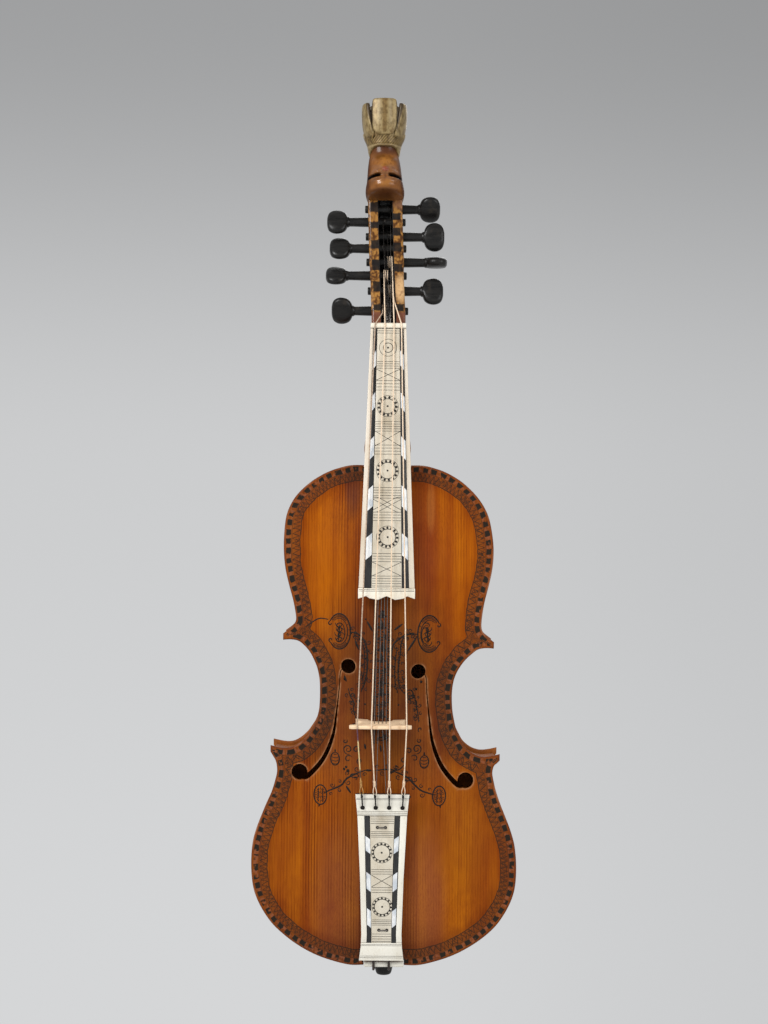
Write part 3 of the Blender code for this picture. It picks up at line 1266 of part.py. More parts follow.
def make_loop(name, knot, toward, hole):
    """The cord that holds the string: out of the hole, round behind the knot and back."""
    side = Vector((1.0, 0.0, 0.0))
    spread = 0.0013
    lead = knot + toward * 0.0021
    deep = hole + Vector((0.0, 0.0034, 0.0))
    legs = []
    for way in (-1, 1):
        out = side * way
        legs.append([deep + out * 0.0008, hole + out * 0.0008 + Vector((0.0, 0.0006, 0.0)),
                     hole + toward * 0.0016 + out * 0.0010, knot - toward * 0.0030 + out * spread * 1.25,
                     knot + toward * 0.0006 + out * spread * 1.45])
    bend = [lead + Vector((0.0, 0.0012, 0.0)) - toward * 0.0004 - side * 0.0011,
            lead + Vector((0.0, 0.0015, 0.0)),
            lead + Vector((0.0, 0.0012, 0.0)) - toward * 0.0004 + side * 0.0011]
    tube(name.replace("string", "tail_loop"), legs[0] + bend + legs[1][::-1], LOOP_DIAMETER, FINISH["cord"])


def make_sympathetic_strings():
    block_end = TAILPIECE_TOP + TAILPIECE_TOP_BLOCK
    foot_start = TAILPIECE_FOOT - TAILPIECE_FOOT_BLOCK
    _, hook_across, hook_drop = staple_places(foot_start)[0]
    behind = staple_behind(hook_drop)
    radius = SYMPATHETIC_DIAMETER / 2
    hooks = (-0.0062, -0.0044, 0.0044, 0.0062)
    for (name, at_nut, at_bridge, peg, wound_from, way), hook in zip(SYMPATHETIC_STRINGS, hooks):
        start = (SYMPATHETIC_RISE_AT_NUT, -NUT_THICKNESS / 2)
        route, angle = taut_route(start, peg, radius, SYMPATHETIC_CLEAR)
        under = behind - STAPLE_WIRE / 2 - radius - GAP
        across = hook_across + hook
        tail = [place(across, behind - 0.0002, hook_drop + STAPLE_WIRE / 2 + GAP + radius),
                place(across, under + 0.0001, hook_drop + 0.0004), place(across, under, hook_drop - 0.0004)]
        bridge = [place(BRIDGE_ACROSS + at_bridge, SYMPATHETIC_RISE_AT_BRIDGE, STRING_LENGTH)]
        nut = [place(at_nut, SYMPATHETIC_RISE_AT_NUT, NUT_THICKNESS / 2),
               place(at_nut, SYMPATHETIC_RISE_AT_NUT, -NUT_THICKNESS / 2)]
        turns = winding(peg, wound_from, way, angle, SYMPATHETIC_DIAMETER)
        points = tail + bridge + nut + head_side_points(at_nut, route, wound_from) + turns
        tube(name, points, SYMPATHETIC_DIAMETER, FINISH["wire"])
        print(name, "least gap between turns, mm:", round(1000 * least_gap(turns, SYMPATHETIC_DIAMETER), 2))


def clear_scene():
    for obj in list(bpy.data.objects):
        bpy.data.objects.remove(obj)


clear_scene()
FINISH = {
    "spruce": finish("varnished_spruce", (0.42, 0.15, 0.03), 0.35),
    "maple": finish("varnished_maple", (0.40, 0.14, 0.035), 0.35),
    "neck_wood": finish("stained_maple", (0.30, 0.10, 0.03), 0.35),
    "spruce_inside": finish("bare_spruce", (0.60, 0.42, 0.22), 0.7),
    "pale_maple": finish("bare_maple", (0.70, 0.48, 0.30), 0.55),
    "black_wood": finish("blackened_wood", (0.012, 0.011, 0.012), 0.4),
    "bone": finish("bone", (0.78, 0.74, 0.64), 0.4),
    "horn": finish("black_horn", (0.015, 0.014, 0.015), 0.25),
    "gilt": finish("gilt_paint", (0.45, 0.33, 0.12), 0.35, 0.6),
    "gut": finish("gut", (0.62, 0.52, 0.36), 0.4),
    "gut_dark": finish("dark_gut", (0.06, 0.035, 0.02), 0.5),
    "cord": finish("black_cord", (0.03, 0.025, 0.02), 0.7),
    "wire": finish("steel_wire", (0.45, 0.43, 0.40), 0.3, 1.0),
    "cutter": finish("cutter", (0.5, 0.5, 0.5), 0.5),
}
make_body()
make_neck()
make_crown()
for each_peg in PEGS:
    make_peg(*each_peg)
make_nut()
make_fingerboard()
make_bridge()
make_tailpiece()
make_saddle()
make_end_button()
make_tail_gut()
make_playing_strings()
make_sympathetic_strings()
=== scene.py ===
"""Hardanger fiddle: the visual model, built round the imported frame.

Every place is first written as three distances that a maker would use.
across: to the treble side of the centre line (the viewer's right)
rise:   in front of the plane where the belly meets the ribs
drop:   below the nut, towards the tail
"""
import math

import bmesh
import bpy
import numpy as np
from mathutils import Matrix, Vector, geometry
from mathutils.bvhtree import BVHTree


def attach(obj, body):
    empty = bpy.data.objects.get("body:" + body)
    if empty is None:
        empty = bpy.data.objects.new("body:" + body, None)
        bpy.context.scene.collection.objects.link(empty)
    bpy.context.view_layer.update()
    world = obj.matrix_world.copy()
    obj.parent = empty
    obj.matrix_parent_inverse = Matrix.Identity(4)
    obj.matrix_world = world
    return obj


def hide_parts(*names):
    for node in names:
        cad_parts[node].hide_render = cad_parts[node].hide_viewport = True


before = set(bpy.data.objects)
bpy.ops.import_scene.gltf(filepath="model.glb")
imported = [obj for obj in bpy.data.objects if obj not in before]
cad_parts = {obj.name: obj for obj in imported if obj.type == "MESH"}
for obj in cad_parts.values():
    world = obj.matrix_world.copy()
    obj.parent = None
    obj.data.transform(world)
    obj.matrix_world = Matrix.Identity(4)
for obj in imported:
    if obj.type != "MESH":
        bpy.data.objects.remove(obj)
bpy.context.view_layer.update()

bl_info = {
    "name": "Hardanger Fiddle",
    "version": (1, 0, 0),
    "blender": (4, 5, 0),
    "location": "View3D > Sidebar > Fiddle",
    "description": "Builds the carved, inlaid and inked pieces of a hardanger fiddle",
    "category": "Object",
}

# The hanging point
HANGER_DROP = -0.1260
HANGER_RISE = -0.0210

# Body
BODY_TOP = 0.0984
BODY_LENGTH = 0.3550
BODY_BOTTOM = BODY_TOP + BODY_LENGTH
UPPER_HALF = 0.0746
WAIST_HALF = 0.0469
LOWER_HALF = 0.0942
UPPER_CORNER_HALF = 0.0750
LOWER_CORNER_HALF = 0.0815
CORNER_EDGE = 0.0045
TREBLE_CORNER_DROP = 0.0052
BODY_SWAY = 0.0018
END_FLAT_HALF = 0.0250
RIB_HEIGHT = 0.0320
RIB_THICKNESS = 0.0013
PLATE_THICKNESS = 0.0035
PLATE_OVERHANG = 0.0027
BELLY_ARCH = 0.0150
BACK_ARCH = 0.0125
ARCH_BORDER = 0.0085
EDGE_ROUND = 0.0014
EDGE_HOLLOW = 0.0005
WING_SINK = 0.0016
WING_SINK_REACH = 0.0130

# Neck, pegbox and head
NECK_FRONT_RISE = 0.0045
NECK_FRONT_SLOPE = 0.0204
NECK_THICKNESS = 0.0190
NECK_HALF_AT_NUT = 0.0118
NECK_HALF_AT_HEEL = 0.0165
BUTTON_HALF = 0.0105
BUTTON_LENGTH = 0.0120
PEGBOX_HALF = (0.0125, 0.0121)
FLAT_FRONT = 14
TROUGH_HALF = 0.0050
TROUGH_START = -0.0021
TROUGH_END = -0.0942
TROUGH_FLOOR = 0.0044
HEAD_SIDE_LEAN = -0.0040
MOUTH_DROP = -0.1088
MOUTH_FALL = 0.0016

# Strings
STRING_LENGTH = 0.2795
PLAYING_DIAMETER = 0.0009
SYMPATHETIC_DIAMETER = 0.0005
PLAYING_RISE_AT_NUT = 0.0127
PLAYING_RISE_AT_BRIDGE = 0.0460
SYMPATHETIC_RISE_AT_NUT = 0.0073
SYMPATHETIC_RISE_AT_BRIDGE = 0.0310
PLAYING_CLEAR = 0.0016
SYMPATHETIC_CLEAR = 0.0018
WINDING_TURNS = 2.25
WINDING_POINTS = 24
WINDING_GAP = 0.00055

# Nut, fingerboard and its facing
NUT_THICKNESS = 0.0039
BOARD_END = 0.1926
BOARD_TRIM = 0.0080
BOARD_FRONT_AT_NUT = 0.0112
BOARD_FRONT_AT_END = 0.0315
BOARD_HALF_AT_NUT = 0.0125
BOARD_HALF_AT_END = 0.0198
BOARD_CAMBER_RADIUS = 0.1200
BOARD_CENTRE_SHARE = (0.636, 0.545)
BOARD_BAND_SHARE = (0.832, 0.790)
FACING_THICKNESS = 0.0012

# Bridge and sound holes
BRIDGE_ACROSS = -0.0035
BRIDGE_CREST_RADIUS = 0.1500
EYE_UPPER = (0.0247, -0.0386)
EYE_LOWER = (0.0589, 0.0370)
EYE_SHIFT_ACROSS = -0.0019
EYE_UPPER_RADIUS = 0.0052
EYE_LOWER_RADIUS = 0.0057
SLOT_WIDTH_TOP = 0.0006
SLOT_WIDTH_BOTTOM = 0.0040

# Tailpiece and tail end
TAILPIECE_LENGTH = 0.1194
TAILPIECE_TO_SADDLE = 0.0022
TAILPIECE_ACROSS = -0.0018
TAILPIECE_TOP_HALF = 0.0187
TAILPIECE_WAIST_HALF = 0.0141
TAILPIECE_FOOT_HALF = 0.0157
TAILPIECE_FRONT_AT_TOP = 0.0315
TAILPIECE_FRONT_AT_FOOT = 0.0155
TAILPIECE_CORE = 0.0040
TAIL_CENTRE_SHARE = 0.50
TAIL_BAND_SHARE = 0.715
TAILPIECE_TOP_BLOCK = 0.0149
TAILPIECE_FOOT_BLOCK = 0.0128
STRING_HOLE_DROP = 0.0094
LOOP_DIAMETER = 0.0007
KNOT_TO_HOLE = 0.0180
STAPLE_WIRE = 0.0009
STAPLE_SPAN = 0.0056
STAPLE_BEND = 0.0006
STAPLE_ARM = 0.0040
TAIL_GUT_DIAMETER = 0.0018
TAIL_GUT_HALF = 0.0054
TAIL_GUT_DEPTH = 0.0080
SADDLE_HALF = 0.0140
SADDLE_DEPTH = 0.0039
SADDLE_RISE = 0.0100
BUTTON_SHAFT_RADIUS = 0.0035
BUTTON_NECK_RADIUS = 0.0030
BUTTON_HEAD_RADIUS = 0.00635
BUTTON_FACE_RADIUS = 0.0045
BUTTON_HEAD_LENGTH = 0.0076
BUTTON_NECK_LENGTH = 0.0062

# Pegs
PEG_RADIUS_AT_HEAD = 0.0035
PEG_RADIUS_AT_TIP = 0.0028
PEG_HEAD_HALF_WIDTH = 0.0102
PEG_HEAD_HALF_THICKNESS = 0.0040
PEG_HEAD_LENGTH = 0.0155
PEG_TIP_PROUD = 0.0022

BLOCK_DEPTH = 0.0160
GAP = 0.0003
# Height of inked, engraved and inlaid work over what carries it
INK_LIFT = 0.00005

TAILPIECE_FOOT = BODY_BOTTOM - SADDLE_DEPTH - GAP - TAILPIECE_TO_SADDLE
TAILPIECE_TOP = TAILPIECE_FOOT - TAILPIECE_LENGTH
TAIL_SLOPE = (TAILPIECE_FRONT_AT_TOP - TAILPIECE_FRONT_AT_FOOT) / TAILPIECE_LENGTH

SIDES = ((-1, "bass"), (1, "treble"))

# Each peg: name, side of its head, drop, rise, shank outside the cheek, turn of the head in degrees
PEGS = (
    ("peg_bass_1", -1, -0.0795, -0.0285, 0.0145, 32),
    ("peg_bass_2", -1, -0.0594, -0.0230, 0.0130, 41),
    ("peg_bass_3", -1, -0.0389, -0.0172, 0.0165, 53),
    ("peg_bass_4", -1, -0.0124, -0.0080, 0.0130, -36),
    ("peg_treble_1", 1, -0.0889, -0.0288, 0.0120, -41),
    ("peg_treble_2", 1, -0.0685, -0.0262, 0.0145, 0),
    ("peg_treble_3", 1, -0.0490, -0.0200, 0.0156, 88),
    ("peg_treble_4", 1, -0.0273, -0.0128, 0.0124, 22),
)
# Each playing string: place at the nut, at the bridge, at its hole, its peg, start and way of its winding
PLAYING_STRINGS = (
    ("string_1_low", -0.0095, -0.0160, -0.0137, "peg_bass_4", -0.0045, 1),
    ("string_2", -0.0025, -0.0062, -0.0046, "peg_bass_3", -0.0036, 1),
    ("string_3", 0.0039, 0.0063, 0.0047, "peg_treble_3", 0.0022, -1),
    ("string_4_high", 0.0092, 0.0180, 0.0140, "peg_treble_4", 0.0028, -1),
)
# Where an outer playing string bends over the inner edge of its cheek: across, rise and drop
CHEEK_CROSSINGS = {"string_1_low": (-0.0043, 0.0042, -0.0096), "string_4_high": (0.0038, 0.0011, -0.0186)}
# Each sympathetic string: place at the nut, at the bridge, its peg, start and way of its winding, its hook
SYMPATHETIC_STRINGS = (
    ("sympathetic_string_1", -0.0012, -0.0043, "peg_bass_1", -0.0046, 1, -0.0062),
    ("sympathetic_string_2", -0.0003, -0.0015, "peg_bass_2", -0.0026, -1, -0.0044),
    ("sympathetic_string_3", 0.0006, 0.0013, "peg_treble_2", -0.0012, 1, 0.0044),
    ("sympathetic_string_4", 0.0015, 0.0038, "peg_treble_1", 0.0010, -1, 0.0062),
)
# Front edge of the pegbox as (drop, rise), and its depth at each of those places but the last
PEGBOX_FRONT = ((-0.0944, -0.0208), (-0.0790, -0.0190), (-0.0680, -0.0165), (-0.0590, -0.0140),
                (-0.0490, -0.0110), (-0.0390, -0.0070), (-0.0270, -0.0020), (-0.0120, 0.0030), (0.0, 0.0045))
PEGBOX_DEPTH = (0.0184, 0.0197, 0.0199, 0.0192, 0.0194, 0.0206, 0.0212, 0.0215)

# Each curve of the outline: share of the body's length, of the half width, of the treble corners' drop
UPPER_CURVE = (
    (0.0055, 0.455, 0), (0.0137, 0.563, 0), (0.0256, 0.666, 0), (0.0377, 0.746, 0), (0.0560, 0.838, 0),
    (0.0760, 0.908, 0), (0.1010, 0.962, 0), (0.1337, 0.990, 0), (0.1700, 1.0, 0), (0.2057, 0.987, 0),
    (0.2400, 0.952, 0), (0.2700, 0.914, 0), (0.2940, 0.891, 0.3), (0.3080, 0.883, 0.8), (0.3160, 0.893, 1),
    (0.3260, 0.932, 1))
WAIST_CURVE = (
    (0.3500, 1.480, 1), (0.3530, 1.361, 1), (0.3630, 1.263, 1), (0.3745, 1.185, 0.9), (0.3885, 1.122, 0.7),
    (0.4062, 1.060, 0.5), (0.4286, 1.017, 0.2), (0.4560, 1.0, 0), (0.4860, 1.008, 0), (0.5050, 1.038, 0.3),
    (0.5211, 1.082, 0.7), (0.5360, 1.152, 1), (0.5460, 1.208, 1.15), (0.5583, 1.312, 1.1),
    (0.5655, 1.412, 1), (0.5672, 1.509, 1), (0.5655, 1.622, 1))
LOWER_CURVE = (
    (0.5830, 0.846, 0.8), (0.5950, 0.822, 0.4), (0.6130, 0.812, 0.1), (0.6300, 0.823, 0),
    (0.6500, 0.843, 0), (0.6750, 0.877, 0), (0.7000, 0.917, 0), (0.7300, 0.960, 0), (0.7600, 0.989, 0),
    (0.7980, 1.0, 0), (0.8350, 0.993, 0), (0.8620, 0.970, 0), (0.8900, 0.921, 0), (0.9180, 0.849, 0),
    (0.9400, 0.763, 0), (0.9590, 0.666, 0), (0.9760, 0.553, 0), (0.9890, 0.430, 0))
UPPER_CORNER = 0.3381
LOWER_CORNER = 0.5622


def place(across, rise, drop):
    """A point of the fiddle in the frame."""
    return Vector((across, HANGER_RISE - rise, HANGER_DROP - drop))


def height_of(drop):
    """The frame's Z of a drop."""
    return HANGER_DROP - drop


def between(value, start, end):
    """Share of the way from start to end, held to 0 and 1."""
    return min(max((value - start) / (end - start), 0.0), 1.0)


def mix(a, b, share):
    return a + (b - a) * share


def read_line(points, value):
    """Height at value of a line through (value, height) points, in rising order."""
    xs, ys = zip(*points)
    return float(np.interp(value, xs, ys))


def smooth_line(points, steps):
    """Points of a smooth curve through the given points, of any number of coordinates."""
    ends = [points[0]] + list(points) + [points[-1]]
    line = []
    for p0, p1, p2, p3 in zip(ends, ends[1:], ends[2:], ends[3:]):
        for step in range(steps):
            t = step / steps
            line.append(tuple(
                0.5 * (2 * b + (c - a) * t + (2 * a - 5 * b + 4 * c - d) * t ** 2
                       + (3 * b - a - 3 * c + d) * t ** 3)
                for a, b, c, d in zip(p0, p1, p2, p3)))
    return line + [tuple(points[-1])]


def resample(points, spacing, least=2):
    """Evenly spaced points along a line, about a spacing apart."""
    line = np.array(points, float)
    run = np.concatenate([[0.0], np.cumsum(np.linalg.norm(np.diff(line, axis=0), axis=1))])
    count = max(int(round(run[-1] / spacing)) + 1, least)
    spots = np.linspace(0.0, run[-1], count)
    return np.stack([np.interp(spots, run, line[:, axis]) for axis in range(line.shape[1])], axis=1)


def circle(centre, radius, sides):
    """Points round a centre in any two directions."""
    turns = [math.tau * i / sides for i in range(sides)]
    return [(centre[0] + radius * math.cos(turn), centre[1] + radius * math.sin(turn)) for turn in turns]


def head_lean(drop):
    """The pegbox and the head lean to the bass side above the nut."""
    return HEAD_SIDE_LEAN * between(-drop, 0.010, 0.125) ** 0.8 if drop < -0.010 else 0.0


# Mesh work

def add_piece(name, mesh, materials, nodes=(), body="fiddle"):
    """Puts a mesh in the scene as a piece that rides on a body."""
    for material in materials:
        mesh.materials.append(material)
    piece = bpy.data.objects.new(name, mesh)
    bpy.context.scene.collection.objects.link(piece)
    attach(piece, body)
    if nodes:
        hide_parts(*nodes)
    return piece


def mesh_of(name, points, faces, sharp=40, outward=True):
    mesh = bpy.data.meshes.new(name)
    mesh.from_pydata([tuple(point) for point in points], [], faces)
    if outward:
        work = bmesh.new()
        work.from_mesh(mesh)
        bmesh.ops.recalc_face_normals(work, faces=work.faces)
        work.to_mesh(mesh)
        work.free()
    mesh.shade_smooth()
    mesh.set_sharp_from_angle(angle=math.radians(sharp))
    return mesh


def loft_parts(rings, capped=True, start=0):
    """Points and faces of a skin through rings with the same number of points."""
    count = len(rings[0])
    points = [point for ring in rings for point in ring]
    faces = []
    if capped:
        faces += [[start + i for i in range(count)], [start + len(points) - count + i for i in range(count)]]
    for first in range(0, len(points) - count, count):
        for i in range(count):
            j = (i + 1) % count
            faces.append([start + first + i, start + first + j, start + first + count + j,
                          start + first + count + i])
    return points, faces


def joined(parts):
    """One list of points and one of faces from several (points, faces)."""
    points, faces = [], []
    for more_points, more_faces in parts:
        start = len(points)
        points += list(more_points)
        faces += [[start + index for index in face] for face in more_faces]
    return points, faces


def tube_parts(route, radius, sides=10, radii=None):
    """A round cord along a route, with closed ends."""
    line = [Vector(point) for point in route]
    rings = []
    across = None
    for index, point in enumerate(line):
        ahead = (line[min(index + 1, len(line) - 1)] - line[max(index - 1, 0)]).normalized()
        if across is None:
            across = ahead.orthogonal().normalized()
        across = (across - ahead * across.dot(ahead)).normalized()
        up = ahead.cross(across)
        reach = radius * (radii[index] if radii else 1.0)
        rings.append([point + (across * math.cos(math.tau * i / sides) + up * math.sin(math.tau * i / sides)) * reach
                      for i in range(sides)])
    return loft_parts(rings)


def rounded(route, steps=4):
    """A route with its bends drawn as smooth curves."""
    return [Vector(point) for point in smooth_line([tuple(point) for point in route], steps)]


def softened(name, node, width, materials, segments=2, angle=25):
    """A copy of a CAD piece with its sharp edges rounded."""
    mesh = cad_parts[node].data.copy()
    mesh.name = name
    mesh.materials.clear()
    work = bmesh.new()
    work.from_mesh(mesh)
    bmesh.ops.remove_doubles(work, verts=work.verts, dist=2e-6)
    bmesh.ops.dissolve_limit(work, angle_limit=math.radians(1.0), verts=work.verts, edges=work.edges)
    sharp = [edge for edge in work.edges
             if len(edge.link_faces) == 2 and edge.calc_face_angle(0.0) > math.radians(angle)]
    bmesh.ops.bevel(work, geom=sharp, offset=width, segments=segments, affect="EDGES", clamp_overlap=True,
                    profile=0.5)
    bmesh.ops.triangulate(work, faces=[face for face in work.faces if len(face.verts) > 4])
    work.to_mesh(mesh)
    work.free()
    mesh.shade_smooth()
    mesh.set_sharp_from_angle(angle=math.radians(35))
    return add_piece(name, mesh, materials, (node,))


# Outline and arching of the body

def sway(drop):
    """How far the middle of the body lies to the treble side at a drop, as the hand-made outline does."""
    share = (drop - BODY_TOP) / BODY_LENGTH
    stations = ((0.0, 0.0), (0.06, -0.2), (0.16, 0.75), (0.27, 1.0), (0.35, 1.0), (0.45, 0.1),
                (0.60, -0.1), (0.71, -0.6), (0.80, -0.3), (0.94, 0.2), (1.0, 0.0))
    return BODY_SWAY * np.interp(share, *zip(*stations))


def plain_stretches(side):
    """(half width, drop) points of the upper, waist and lower stretch of one side, from top to tail."""
    shift = TREBLE_CORNER_DROP if side > 0 else 0.0

    def at(share, half, moved=0.0):
        drop = BODY_TOP + share * BODY_LENGTH + moved
        return (half + side * float(sway(drop)), drop)

    def stretch(points, width):
        return [at(share, width * portion, shift * follow) for share, portion, follow in points]

    upper = [(0.0, BODY_TOP), (END_FLAT_HALF * 0.5, BODY_TOP), (END_FLAT_HALF, BODY_TOP)]
    upper += stretch(UPPER_CURVE, UPPER_HALF) + [at(UPPER_CORNER, UPPER_CORNER_HALF, shift)]
    waist = [at(UPPER_CORNER, UPPER_CORNER_HALF, shift + CORNER_EDGE)] + stretch(WAIST_CURVE, WAIST_HALF)
    waist.append(at(LOWER_CORNER, LOWER_CORNER_HALF, shift))
    lower = [at(LOWER_CORNER, LOWER_CORNER_HALF, shift + CORNER_EDGE)] + stretch(LOWER_CURVE, LOWER_HALF)
    lower += [(END_FLAT_HALF, BODY_BOTTOM), (END_FLAT_HALF * 0.5, BODY_BOTTOM), (0.0, BODY_BOTTOM)]
    return [upper, waist, lower]


def body_outline(spacing):
    """The closed line round the plates as (across, drop), down the treble side and up the bass side."""
    treble, bass = [], []
    for side, half in ((1, treble), (-1, bass)):
        for part in plain_stretches(side):
            half += [(side * a, d) for a, d in resample(smooth_line(part, 6), spacing)]
    line = treble + bass[::-1]
    kept = [line[0]]
    for point in line[1:]:
        if math.dist(point, kept[-1]) > spacing * 0.2:
            kept.append(point)
    return kept[:-1] if math.dist(kept[0], kept[-1]) < spacing * 0.2 else kept


ARCH_STATIONS = smooth_line((
    (0.0, 0.0), (0.035, UPPER_HALF * 0.62), (0.10, UPPER_HALF * 0.90), (0.19, UPPER_HALF * 0.98),
    (0.30, UPPER_HALF * 0.88), (0.40, WAIST_HALF * 1.08), (0.47, WAIST_HALF * 1.02), (0.56, WAIST_HALF * 1.28),
    (0.66, LOWER_HALF * 0.86), (0.79, LOWER_HALF), (0.88, LOWER_HALF * 0.93), (0.96, LOWER_HALF * 0.66),
    (1.0, 0.0)), 6)


def arch(across, drop, height):
    """Height of the arching over the flat edge."""
    along = np.clip((drop - BODY_TOP - ARCH_BORDER) / (BODY_LENGTH - 2 * ARCH_BORDER), 0.0, 1.0)
    half = np.maximum(np.interp((drop - BODY_TOP) / BODY_LENGTH, *zip(*ARCH_STATIONS)) - ARCH_BORDER, 0.004)
    reach = np.minimum(np.abs(across - sway(drop)) / half, 1.0)
    return height * (1 - (2 * along - 1) ** 4) * (0.5 + 0.5 * np.cos(np.pi * reach))


def belly_front(across, drop):
    return PLATE_THICKNESS + arch(across, drop, BELLY_ARCH)


def edge_fall(depth, reach):
    """How far a rounded edge lies under the face at a depth in from the outline."""
    share = np.clip(1 - depth / reach, 0.0, 1.0)
    return reach * (1 - np.sqrt(np.maximum(1 - share ** 2, 0.0)))


class ClosedLine:
    """A closed line that tells how far spots lie from it, and where along it."""

    def __init__(self, points):
        self.points = np.array(points, float)
        self.steps = np.roll(self.points, -1, axis=0) - self.points
        self.lengths = np.hypot(*self.steps.T)
        self.run = np.concatenate([[0.0], np.cumsum(self.lengths)])

    def nearest(self, spots):
        spots = np.asarray(spots, float)
        gaps, runs = np.empty(len(spots)), np.empty(len(spots))
        for first in range(0, len(spots), 800):
            away = spots[first:first + 800, None, :] - self.points[None]
            share = np.clip((away * self.steps).sum(2) / self.lengths ** 2, 0.0, 1.0)
            left = away - share[..., None] * self.steps
            gap = np.hypot(left[..., 0], left[..., 1])
            which = gap.argmin(1)
            rows = np.arange(len(which))
            gaps[first:first + 800] = gap[rows, which]
            runs[first:first + 800] = self.run[which] + share[rows, which] * self.lengths[which]
        return gaps, runs

    def holds(self, spots):
        """Whether the line goes round each spot."""
        spots = np.asarray(spots, float)
        inside = np.zeros(len(spots), bool)
        x, y = spots[:, 0], spots[:, 1]
        for (x1, y1), (dx, dy) in zip(self.points, self.steps):
            if dy == 0.0:
                continue
            crosses = ((y1 > y) != (y1 + dy > y)) & (x < x1 + (y - y1) / dy * dx)
            inside ^= crosses
        return inside

    def inset(self, depth):
        """Points a depth in from the line, where nothing else of it lies nearer."""
        ahead = np.roll(self.points, -1, axis=0) - np.roll(self.points, 1, axis=0)
        inward = np.stack([-ahead[:, 1], ahead[:, 0]], axis=1) / np.hypot(*ahead.T)[:, None]
        moved = self.points + inward * depth
        gaps, _ = self.nearest(moved)
        return moved[(gaps > depth * 0.97) & self.holds(moved)]


def slot_line(side):
    """Middle of the slot of one sound hole, from the upper eye to the lower one, as (across, drop)."""
    lower = TREBLE_CORNER_DROP if side > 0 else 0.0
    start = (EYE_UPPER[0], STRING_LENGTH + EYE_UPPER[1] + lower * 0.6)
    end = (EYE_LOWER[0], STRING_LENGTH + EYE_LOWER[1] + lower)
    reach = (end[0] - start[0], end[1] - start[1])
    bends = ((0.0, 0.0), (0.155, 0.045), (0.185, 0.20), (0.235, 0.42), (0.315, 0.66), (0.52, 0.88),
             (0.86, 1.045), (1.0, 1.0))
    line = smooth_line([(start[0] + reach[0] * x, start[1] + reach[1] * y) for x, y in bends], 8)
    return np.array([(EYE_SHIFT_ACROSS + side * a, d) for a, d in resample(line, 0.0012)])


def sound_hole(side):
    """The outlines of one sound hole: a slot that widens downwards and two round eyes."""
    middle = slot_line(side)
    ahead = np.gradient(middle, axis=0)
    out = np.stack([ahead[:, 1], -ahead[:, 0]], axis=1) / np.hypot(*ahead.T)[:, None]
    widths = (SLOT_WIDTH_TOP, SLOT_WIDTH_TOP * 1.3, mix(SLOT_WIDTH_TOP, SLOT_WIDTH_BOTTOM, 0.6), SLOT_WIDTH_BOTTOM)
    half = np.interp(np.linspace(0.0, 1.0, len(middle)), (0.0, 0.30, 0.62, 1.0), widths)[:, None] / 2
    slot = np.concatenate([middle + out * half, (middle - out * half)[::-1]])
    return [[tuple(point) for point in slot], circle(middle[0], EYE_UPPER_RADIUS, 48),
            circle(middle[-1], EYE_LOWER_RADIUS, 52)]


def wing_sink(across, drop):
    """How far the wing outside each slot is carved down beside it."""
    spots = np.stack([across, drop], axis=1)
    sunk = np.zeros(len(spots))
    for side, _ in SIDES:
        line = slot_line(side)
        steps = np.diff(line, axis=0)
        away = spots[:, None, :] - line[None, :-1]
        share = np.clip((away * steps).sum(2) / (steps ** 2).sum(1), 0.0, 1.0)
        left = away - share[..., None] * steps
        gap = np.hypot(left[..., 0], left[..., 1])
        which = gap.argmin(1)
        rows = np.arange(len(spots))
        turn = steps[which, 0] * left[rows, which, 1] - steps[which, 1] * left[rows, which, 0]
        along = (which + share[rows, which]) / len(steps)
        outside = (turn * side < 0) & (along > 0.0) & (along < 1.0)
        fade = np.sin(np.pi * np.clip(along, 0.0, 1.0)) ** 0.6
        sunk += outside * fade * WING_SINK * np.clip(1 - gap[rows, which] / WING_SINK_REACH, 0.0, 1.0) ** 1.5
    return sunk


